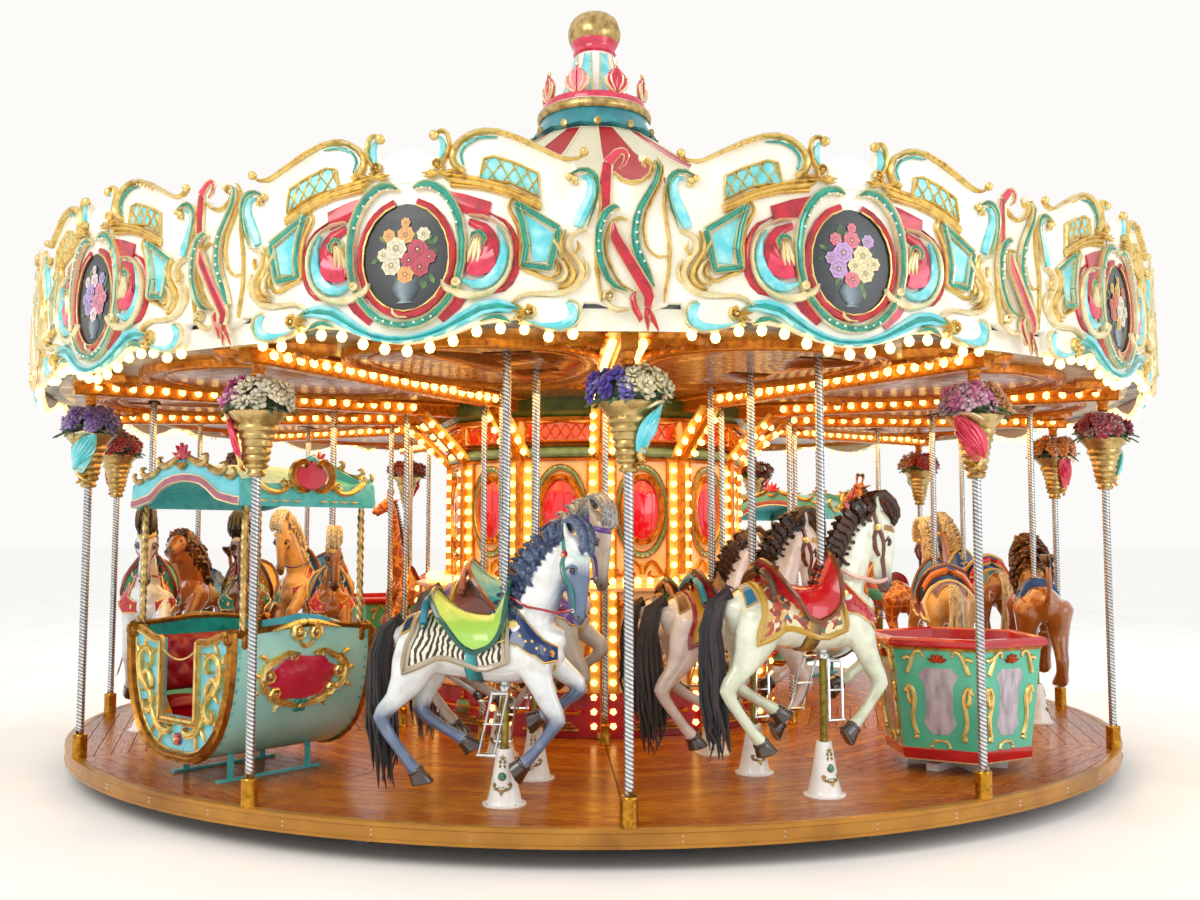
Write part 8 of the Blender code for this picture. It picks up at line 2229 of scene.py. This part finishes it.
        # Thick moulding round the U
        for s in (-1, 1):
            art.scroll([(s * (x - 0.028), z + 0.006 + 0.018 * max(0, 1 - x / 0.3), 0.036) for x, z in U_LINE[::3]], -0.004, 0.042, edge_bronze, edge_bronze, 0.012, 1)
            art.bead([(s * (x - 0.072), z + 0.02 + 0.04 * max(0, 1 - x / 0.5), 0.0085) for x, z in U_LINE[2:-2:2]], 0.004, gold, 2)
            art.volute(s * (HALF - 0.055), 0.965, 0.052, 90, 1.3, 0.0, edge_bronze, 0.42, 0.050, -s)
            if way > 0:
                # Entrance moulding with its gilt rope, then the acanthus on each lobe
                art.scroll([(s * 0.022, 0.392, 0.026), (s * 0.215, 0.392, 0.026), (s * 0.228, 0.41, 0.026), (s * 0.228, 0.66, 0.026), (s * 0.228, 0.885, 0.026), (s * 0.245, 0.925, 0.026),
                            (s * 0.34, 0.925, 0.026), (s * 0.43, 0.955, 0.026), (s * 0.54, 0.985, 0.026)], 0.0, 0.030, edge_bronze, gold, 0.008, 2)
                for k in range(9):
                    art.ball(s * (0.012 + 0.022 * k), 0.402, 0.026, 0.012, gold, 4, 6)
                art.scroll([(s * 0.36, 0.56, 0.014), (s * 0.44, 0.62, 0.026), (s * 0.50, 0.70, 0.030), (s * 0.505, 0.79, 0.026), (s * 0.45, 0.85, 0.022), (s * 0.375, 0.84, 0.018), (s * 0.34, 0.78, 0.015),
                            (s * 0.37, 0.735, 0.012), (s * 0.41, 0.75, 0.006)], 0.0, 0.034, gold, gold, 0.005, 2)
                art.scroll([(s * 0.48, 0.66, 0.018), (s * 0.42, 0.70, 0.020), (s * 0.36, 0.66, 0.018), (s * 0.34, 0.60, 0.010), (s * 0.375, 0.575, 0.005)], 0.004, 0.030, gold, steps=2)
                art.scroll([(s * 0.36, 0.57, 0.016), (s * 0.33, 0.49, 0.026), (s * 0.375, 0.43, 0.026), (s * 0.43, 0.44, 0.018), (s * 0.43, 0.49, 0.012), (s * 0.395, 0.50, 0.006)], 0.0, 0.032, gold, gold, 0.005, 2)
                art.scroll([(s * 0.335, 0.47, 0.016), (s * 0.27, 0.37, 0.024), (s * 0.19, 0.32, 0.026), (s * 0.11, 0.315, 0.022), (s * 0.09, 0.345, 0.012), (s * 0.12, 0.36, 0.005)], 0.0, 0.032, gold, gold, 0.005, 2)
                for u, v, a in ((0.535, 0.74, 10), (0.53, 0.83, 60), (0.45, 0.885, 110), (0.33, 0.84, 160), (0.45, 0.58, -40), (0.46, 0.41, -30), (0.31, 0.33, -60), (0.22, 0.27, -80), (0.31, 0.52, 170)):
                    a = math.radians(a)
                    cu, cv = math.cos(a) * 0.045, math.sin(a) * 0.045
                    art.scroll([(s * (u - cu), v - cv, 0.006), (s * u, v, 0.014), (s * (u + cu), v + cv, 0.003)], 0.0, 0.024, gold, steps=2)
            else:
                art.scroll([(s * 0.10, 0.50, 0.014), (s * 0.24, 0.44, 0.026), (s * 0.38, 0.52, 0.030), (s * 0.44, 0.68, 0.026), (s * 0.36, 0.80, 0.020), (s * 0.26, 0.76, 0.016), (s * 0.28, 0.68, 0.008)],
                           0.0, 0.032, gold, gold, 0.005, 2)
        for k in range(6):
            a = k * math.pi / 3
            art.ball(0.026 * math.cos(a), 0.275 + 0.026 * math.sin(a), 0.014, 0.020, jewel, 4, 8, 0.8)
        art.ball(0.0, 0.275, 0.024, 0.018, gold, 4, 8)
    art.lay = lambda p: p


def gondola_inside(art):
    """Bench boxes, floor, runners with their feet, the canopy posts' sockets and the guard chain."""
    for s in (-1, 1):
        art.rails([[(s * x, -r, z) for x, z in ((0.285, 0.21), (0.34, 0.225), (0.50, 0.36), (0.565, 0.455), (0.285, 0.455))] for r in (IN_R + 0.045, OUT_R - 0.045)], tub_red)
        slab_box(art, s, (RUNNER - 0.02, IN_R + 0.12, 0.0), (RUNNER + 0.02, OUT_R - 0.12, 0.016), runner_blue)
        for r in (IN_R + 0.22, OUT_R - 0.22):
            slab_box(art, s, (RUNNER - 0.017, r - 0.006, 0.012), (RUNNER + 0.017, r + 0.006, 0.27), runner_blue)
            slab_box(art, s, (RUNNER - 0.004, r - 0.022, 0.012), (RUNNER + 0.004, r + 0.022, 0.27), runner_blue)
        slab_box(art, s, (RUNNER - 0.05, IN_R + 0.25, 0.196), (RUNNER + 0.06, OUT_R - 0.25, 0.232), runner_blue)
        for r in (IN_R + 0.06, OUT_R - 0.06):
            rows = turned_rows([(0.0, 0.90), (0.034, 0.90), (0.040, 0.92), (0.040, 0.985), (0.026, 1.0), (0.0, 1.0)], 10)
            art.rails([[(x + s * (HALF - 0.03), y - r, z) for x, y, z in row] for row in rows], edge_bronze, caps=False)
    slab_box(art, 1, (-0.30, IN_R + 0.045, 0.20), (0.30, OUT_R - 0.045, 0.235), tub_red)
    links = 24
    for k in range(links + 1):
        t = 2 * k / links - 1
        base = len(art.points)
        art.ball(0, 0, 0, 0.0075, gold, 3, 6)
        for p in art.points[base:]:
            p[0], p[1], p[2] = p[0] + 0.205 * t, p[1] - OUT_R - 0.02, p[2] + 0.80 + 0.065 * t * t


RUNNER = 0.275


def slab_box(art, side, lo, hi, mat):
    """A block from (across, radius, height) to (across, radius, height) on one side."""
    (x0, r0, z0), (x1, r1, z1) = lo, hi
    art.rails([[(side * x, -r, z) for x, z in ((x0, z0), (x1, z0), (x1, z1), (x0, z1))] for r in (r0, r1)], mat)


def tufted(centre, along, up, out, size, puff, cells, seat=False):
    """A stuffed pad with diamond buttoning: crowned front, sides pulled in between the corners, flat back."""
    nu, nv = cells[0] * 8, cells[1] * 8
    centre, along, up, out = (Vector(v) for v in (centre, along, up, out))
    rows = []
    for i in range(nu + 1):
        u = 2 * i / nu - 1
        front = []
        for j in range(nv + 1):
            v = 2 * j / nv - 1
            round_off = ((1 - abs(u) ** 8) * (1 - abs(v) ** 6)) ** 0.5
            a, b = (u * cells[0] + v * cells[1]) * math.pi / 2, (u * cells[0] - v * cells[1]) * math.pi / 2
            crown = 0.45 + 0.55 * (abs(math.sin(a) * math.sin(b)) ** 0.45 if not seat else abs(math.cos(u * cells[0] * math.pi / 2 * 1.0)) ** 0.3)
            pull_u, pull_v = 1 - 0.012 * (1 - v * v), 1 - 0.03 * (1 - u * u)
            front.append(centre + along * (u * size[0] * pull_u) + up * (v * size[1] * pull_v) + out * (puff * crown * round_off))
        back = [centre + along * (u * size[0] * 0.99) + up * (v * size[1] * 0.98) - out * 0.012 for v in np.linspace(1, -1, 5)]
        rows.append(front + back)
    return rows


def gondola_canopy(art):
    """A low arched roof sheet in glass fibre inside a carved valance, with gilt crests."""
    deep = OUT_R - IN_R + 0.04
    outer, low = HALF + 0.02, 1.82
    across = np.linspace(-1, 1, 17)

    def over(s, r):
        return 1.955 + 0.17 * math.cos(s * math.pi / 2) ** 1.3 * (1 - 0.35 * abs(2 * r - 1) ** 3)
    for base, way in ((0.0, 1),):
        rows = []
        for r in np.linspace(0, 1, 9):
            top = [(s * (outer - 0.02), -(IN_R - 0.02 + r * deep), over(s, r)) for s in across]
            rows.append(top + [(x, y, z - 0.022) for x, y, z in top[::-1]])
        art.rails(rows, runner_blue)
    for way in (1, -1):
        face = (OUT_R + 0.02) if way > 0 else (IN_R - 0.02)
        art.lay = lambda p, way=way, face=face: np.stack([p[:, 0] * way, -(face + way * p[:, 2]), p[:, 1]], 1)
        crown = [(-0.68, 1.97), (-0.62, 2.03), (-0.54, 2.01), (-0.44, 2.05), (-0.30, 2.10), (-0.16, 2.14), (0, 2.16), (0.16, 2.14), (0.30, 2.10), (0.44, 2.05), (0.54, 2.01), (0.62, 2.03), (0.68, 1.97)]
        arch = [(0.68, 1.82), (0.62, 1.825), (0.50, 1.845), (0.42, 1.865), (0.36, 1.90), (0.22, 1.965), (0.0, 1.99)]
        arch += [(-x, z) for x, z in arch[-2::-1]]
        ends = spline(crown, 3)
        foot = spline(arch[::-1], 3)
        art.between([tuple(p) for p in ends], [tuple(p) for p in foot], -0.024, 0.026, panel_blue, 3, 1)
        band = spline([(-x, z) for x, z in arch], 2)
        art.scroll([(x, z + 0.030, 0.030) for x, z in band], 0.0, 0.012, mauve, pale_gold, 0.006, 1)
        for s in (-1, 1):
            art.scroll([(s * 0.06, 2.17, 0.010), (s * 0.13, 2.13, 0.024), (s * 0.22, 2.105, 0.026), (s * 0.29, 2.12, 0.022), (s * 0.30, 2.16, 0.015), (s * 0.26, 2.165, 0.006)], 0.0, 0.030, antique_gold, steps=3)
            art.scroll([(s * 0.30, 2.095, 0.012), (s * 0.38, 2.055, 0.022), (s * 0.47, 2.04, 0.024), (s * 0.53, 2.065, 0.018), (s * 0.52, 2.10, 0.012), (s * 0.48, 2.095, 0.005)], 0.0, 0.030, antique_gold, steps=3)
            art.scroll([(s * 0.52, 2.02, 0.010), (s * 0.59, 2.00, 0.018), (s * 0.64, 2.03, 0.016), (s * 0.62, 2.065, 0.006)], 0.0, 0.026, antique_gold, steps=3)
        for k in range(5):
            a = math.radians(90 + (k - 2) * 32)
            cu, cv = math.cos(a), math.sin(a)
            art.scroll([(cu * 0.02, 2.14 + cv * 0.02, 0.012), (cu * 0.06, 2.14 + cv * 0.06, 0.022), (cu * 0.115, 2.14 + cv * 0.115, 0.004)], 0.006, 0.024, cartouche_red, steps=2)
        art.scroll([(-0.07, 2.12, 0.006), (0.0, 2.095, 0.026), (0.07, 2.12, 0.006)], 0.012, 0.030, antique_gold, steps=3)
    for side in (-1, 1):
        art.lay = lambda p, side=side: np.stack([side * (outer + p[:, 2]), -(MID_R + p[:, 0]), p[:, 1]], 1)
        half = deep / 2
        crown = [(-half, 1.985), (-0.45, 2.00), (-0.34, 1.97), (-0.22, 1.975), (0, 1.98), (0.22, 1.975), (0.34, 1.97), (0.45, 2.00), (half, 1.985)]
        art.between(crown, [(x, low) for x, z in crown], -0.024, 0.026, runner_blue, 3, 3)
        art.plate([(-0.11, 1.97), (-0.135, 2.03), (-0.10, 2.09), (-0.045, 2.10), (0.0, 2.135), (0.045, 2.10), (0.10, 2.09), (0.135, 2.03), (0.11, 1.97), (0.05, 1.935), (-0.05, 1.935)],
                  -0.02, 0.038, cartouche_red, 0.010, 2)
        for s in (-1, 1):
            art.scroll([(s * 0.02, 1.93, 0.010), (s * 0.085, 1.925, 0.018), (s * 0.14, 1.965, 0.020), (s * 0.165, 2.03, 0.022), (s * 0.135, 2.095, 0.022), (s * 0.07, 2.125, 0.020), (s * 0.045, 2.10, 0.012),
                        (s * 0.075, 2.08, 0.005)], 0.006, 0.032, edge_bronze, gold, 0.005, 2)
            art.scroll([(s * 0.15, 1.965, 0.012), (s * 0.24, 1.915, 0.018), (s * 0.33, 1.92, 0.020), (s * 0.40, 1.96, 0.020), (s * 0.45, 2.005, 0.016), (s * 0.435, 2.04, 0.010), (s * 0.40, 2.02, 0.005)],
                       0.004, 0.026, gold, steps=3)
            art.volute(s * 0.215, 1.965, 0.036, 200, 1.1, 0.004, gold, 0.34, 0.024, -s)
            for k in range(4):
                art.bead([(s * (0.08 + 0.085 * k), 1.858, 0.004), (s * (0.11 + 0.085 * k), 1.853, 0.007), (s * (0.14 + 0.085 * k), 1.86, 0.003)], 0.004, gold, 2, squash=0.6)
        art.scroll([(-0.045, 2.13, 0.008), (0.0, 2.15, 0.022), (0.045, 2.13, 0.008)], 0.008, 0.026, cyan, steps=3)
    art.lay = lambda p: p


def gondolas():
    hull, canopy = Carving(), Carving()
    hull_shell(hull)
    gondola_inside(hull)
    gondola_canopy(canopy)
    post = twisted(1.83 - 0.97, 0.026, 0.0045, antique_gold, pitch=0.062, sides=8, per_rib=6)
    posts = [(post, Matrix.Translation((s * (HALF - 0.03), -r, 0.96))) for s in (-1, 1) for r in (IN_R + 0.06, OUT_R - 0.06)]
    hull_mesh = merged("hull", [(thinned(hull.mesh("hull"), 0.85, 38), Matrix())] + posts)
    canopy_mesh = canopy.mesh("canopy", 38)
    for letter, angle in GONDOLAS:
        where = spot(0, angle)
        show("dressed_gondola_%s_hull" % letter, hull_mesh, where=where, replaces=("gondola_%s_hull" % letter,))
        show("dressed_gondola_%s_canopy" % letter, canopy_mesh, where=where, replaces=("gondola_%s_canopy" % letter,))
        for s, hand in ((-1, "left"), (1, "right")):
            back = Carving()
            back.rails(tufted((s * 0.585, -MID_R, 0.72), (0, -1, 0), (s * 0.12, 0, 1), (-s, 0, 0.12), (0.44, 0.20), 0.045, (5, 2)), red_hide)
            pad = show("back_pad_%s_%s" % (letter, hand), back.mesh("back_pad", 80), where=where)
            seat = Carving()
            seat.rails(tufted((s * 0.40, -MID_R, 0.455), (0, -1, 0), (s, 0, 0), (0, 0, 1), (0.45, 0.135), 0.055, (3, 1), True), red_hide)
            pad = show("seat_pad_%s_%s" % (letter, hand), seat.mesh("seat_pad", 80), where=where)


# Spinning tubs: six flared panels with marbled shields and gilt appliques

TUBS = (("a", 41.15), ("b", 221.15))
TUB_HALF_TURN = math.radians(30)


def tub_face(k):
    """Lays (across, height above the deck, proud) on one panel."""
    a = math.radians(60 * k + 30)

    def lay(p):
        r = (0.50 + 0.09 * (p[:, 1] - 0.10) / 0.77) * math.cos(TUB_HALF_TURN) + p[:, 2]
        return np.stack([r * math.sin(a) + p[:, 0] * math.cos(a), -r * math.cos(a) + p[:, 0] * math.sin(a), p[:, 1]], 1)
    return lay


def tub():
    art = Carving()
    sides = 6
    art.rails(turned_rows([(0.0, 0.0503), (0.10, 0.0503), (0.10, 0.10), (0.0, 0.10)], 16), chrome, caps=False)
    wall = [(0.40, 0.100), (0.495, 0.100), (0.502, 0.106), (0.590, 0.866), (0.585, 0.872), (0.566, 0.872), (0.48, 0.13), (0.40, 0.13)]
    art.rails(turned_rows(wall, sides), [tub_green] * sides, closed=True)
    art.rails(turned_rows([(0.0, 0.115), (0.45, 0.115), (0.45, 0.16), (0.0, 0.16)], sides), tub_red, caps=False)
    art.rails(turned_rows([(0.47, 0.098), (0.506, 0.098), (0.512, 0.112), (0.519, 0.168), (0.512, 0.175), (0.47, 0.175)], sides), tub_red, closed=True)
    art.rails(turned_rows([(0.49, 0.092), (0.507, 0.090), (0.510, 0.098), (0.49, 0.100)], sides), pale_gold, closed=True)
    art.rails(turned_rows([(0.58, 0.846), (0.598, 0.846), (0.601, 0.866), (0.58, 0.868)], sides), edge_bronze, closed=True)
    art.rails(turned_rows([(0.56, 0.864), (0.614, 0.864), (0.630, 0.872), (0.638, 0.890), (0.634, 0.912), (0.616, 0.928), (0.590, 0.930), (0.570, 0.918), (0.545, 0.80), (0.475, 0.50), (0.235, 0.485),
                           (0.235, 0.455), (0.47, 0.455)], sides), tub_red, closed=True)
    # Steering wheel on its column in the middle
    art.rails(turned_rows([(0.0, 0.15), (0.05, 0.15), (0.035, 0.20), (0.030, 0.62), (0.0, 0.64)], 12), chrome, caps=False)
    art.rails(turned_rows([(0.150 + 0.012 * math.cos(t), 0.64 + 0.012 * math.sin(t)) for t in np.arange(6) * math.pi / 3], 20), tub_red, closed=True)
    art.rails(turned_rows([(0.0, 0.625), (0.145, 0.632), (0.145, 0.640), (0.0, 0.650)], 20), chrome, caps=False)
    for k in range(sides):
        art.lay = tub_face(k)
        shield = [(-0.137, 0.675), (-0.085, 0.728), (0.0, 0.722), (0.085, 0.728), (0.137, 0.675), (0.095, 0.605), (0.090, 0.42), (0.110, 0.345), (0.055, 0.272), (-0.055, 0.272), (-0.110, 0.345),
                  (-0.090, 0.42), (-0.095, 0.605)]
        art.plate(shield, -0.002, 0.006, marbled_panel, 0.003)
        for s in (-1, 1):
            art.bead([(s * 0.215, 0.565, 0.0165), (s * 0.212, 0.592, 0.0155), (s * 0.190, 0.592, 0.0155), (s * 0.172, 0.555, 0.0165), (s * 0.165, 0.50, 0.0165), (s * 0.177, 0.44, 0.0155), (s * 0.183, 0.37, 0.0155),
                      (s * 0.172, 0.31, 0.0165), (s * 0.158, 0.275, 0.0175), (s * 0.165, 0.255, 0.0155)], 0.004, gold, 3)
            art.bead([(s * 0.205, 0.585, 0.008), (s * 0.208, 0.53, 0.0145), (s * 0.195, 0.485, 0.0165), (s * 0.18, 0.47, 0.005)], 0.003, gold, 3)
            art.bead([(s * 0.10, 0.815, 0.008), (s * 0.112, 0.838, 0.0145), (s * 0.145, 0.835, 0.0165), (s * 0.170, 0.795, 0.0155), (s * 0.186, 0.745, 0.0145), (s * 0.202, 0.705, 0.0165)], 0.004, gold, 3)
            art.bead([(s * 0.168, 0.775, 0.008), (s * 0.195, 0.795, 0.0145), (s * 0.222, 0.79, 0.0145)], 0.004, gold, 3)
            for u, v, r in ((0.222, 0.565, 0.018), (0.163, 0.248, 0.020), (0.205, 0.697, 0.018), (0.226, 0.786, 0.017), (0.187, 0.405, 0.012), (0.100, 0.808, 0.012)):
                art.ball(s * u, v, 0.006, r, gold, 4, 8, 0.8)
            art.bead([(s * 0.0, 0.232, 0.011), (s * 0.035, 0.228, 0.011), (s * 0.058, 0.205, 0.009), (s * 0.062, 0.19, 0.009)], 0.003, gold, 3)
            art.ball(s * 0.062, 0.188, 0.004, 0.013, gold, 4, 8, 0.8)
        for j in range(5):
            a = math.radians(-90 + (j - 2) * 34 + 180)
            cu, cv = math.cos(a), math.sin(a)
            art.scroll([(cu * 0.006, 0.765 + cv * 0.006, 0.008), (cu * 0.035, 0.765 + cv * 0.035, 0.016), (cu * 0.068, 0.765 + cv * 0.060, 0.005)], 0.0, 0.022, shell_gilt, steps=3)
    art.lay = lambda p: p
    mesh = art.mesh("tub", 30)
    for letter, angle in TUBS:
        show("dressed_tub_" + letter, mesh, body="tub_%s_body" % letter, where=spot(3.75, angle, 0, angle + 16), replaces=("tub_" + letter,))


gondolas()
tub()


# Floor and light

def studio():
    mat = surface("matt_white_floor", "fdfdfc", "f7f7f5", (0.7, 0.8), grain=900)
    mesh = bpy.data.meshes.new("floor")
    mesh.from_pydata([(-300, -300, 0), (300, -300, 0), (300, 300, 0), (-300, 300, 0)], [], [(0, 1, 2, 3)])
    mesh.materials.append(mat)
    floor = bpy.data.objects.new("floor", mesh)
    bpy.context.scene.collection.objects.link(floor)
    world = bpy.data.worlds.new("studio")
    bpy.context.scene.world = world
    bpy.context.scene.view_settings.view_transform = "Standard"
    world.use_nodes = True
    world.node_tree.nodes["Background"].inputs["Color"].default_value = (1, 0.99, 0.97, 1)
    world.node_tree.nodes["Background"].inputs["Strength"].default_value = 0.97
    lamps = (("key", (-7, -11, 9), 6, 520, (1, 0.97, 0.93)), ("fill", (9, -9, 5), 6, 240, (0.95, 0.97, 1)), ("back", (3, 10, 10), 6, 420, (1, 1, 1)))
    for name, where, size, power, tint in lamps:
        data = bpy.data.lights.new(name, "AREA")
        data.size, data.energy, data.color = size, power, tint
        lamp = bpy.data.objects.new(name, data)
        lamp.location = where
        lamp.rotation_euler = (Vector((0, 0, 2.5)) - Vector(where)).to_track_quat("-Z", "Y").to_euler()
        bpy.context.scene.collection.objects.link(lamp)
    glow = bpy.data.lights.new("warm_glow", "AREA")
    glow.shape, glow.size, glow.energy, glow.color = "DISK", 7.5, 320, (1.0, 0.62, 0.24)
    lamp = bpy.data.objects.new("warm_glow", glow)
    lamp.location = (0, 0, DECK + 2.60)
    bpy.context.scene.collection.objects.link(lamp)


studio()
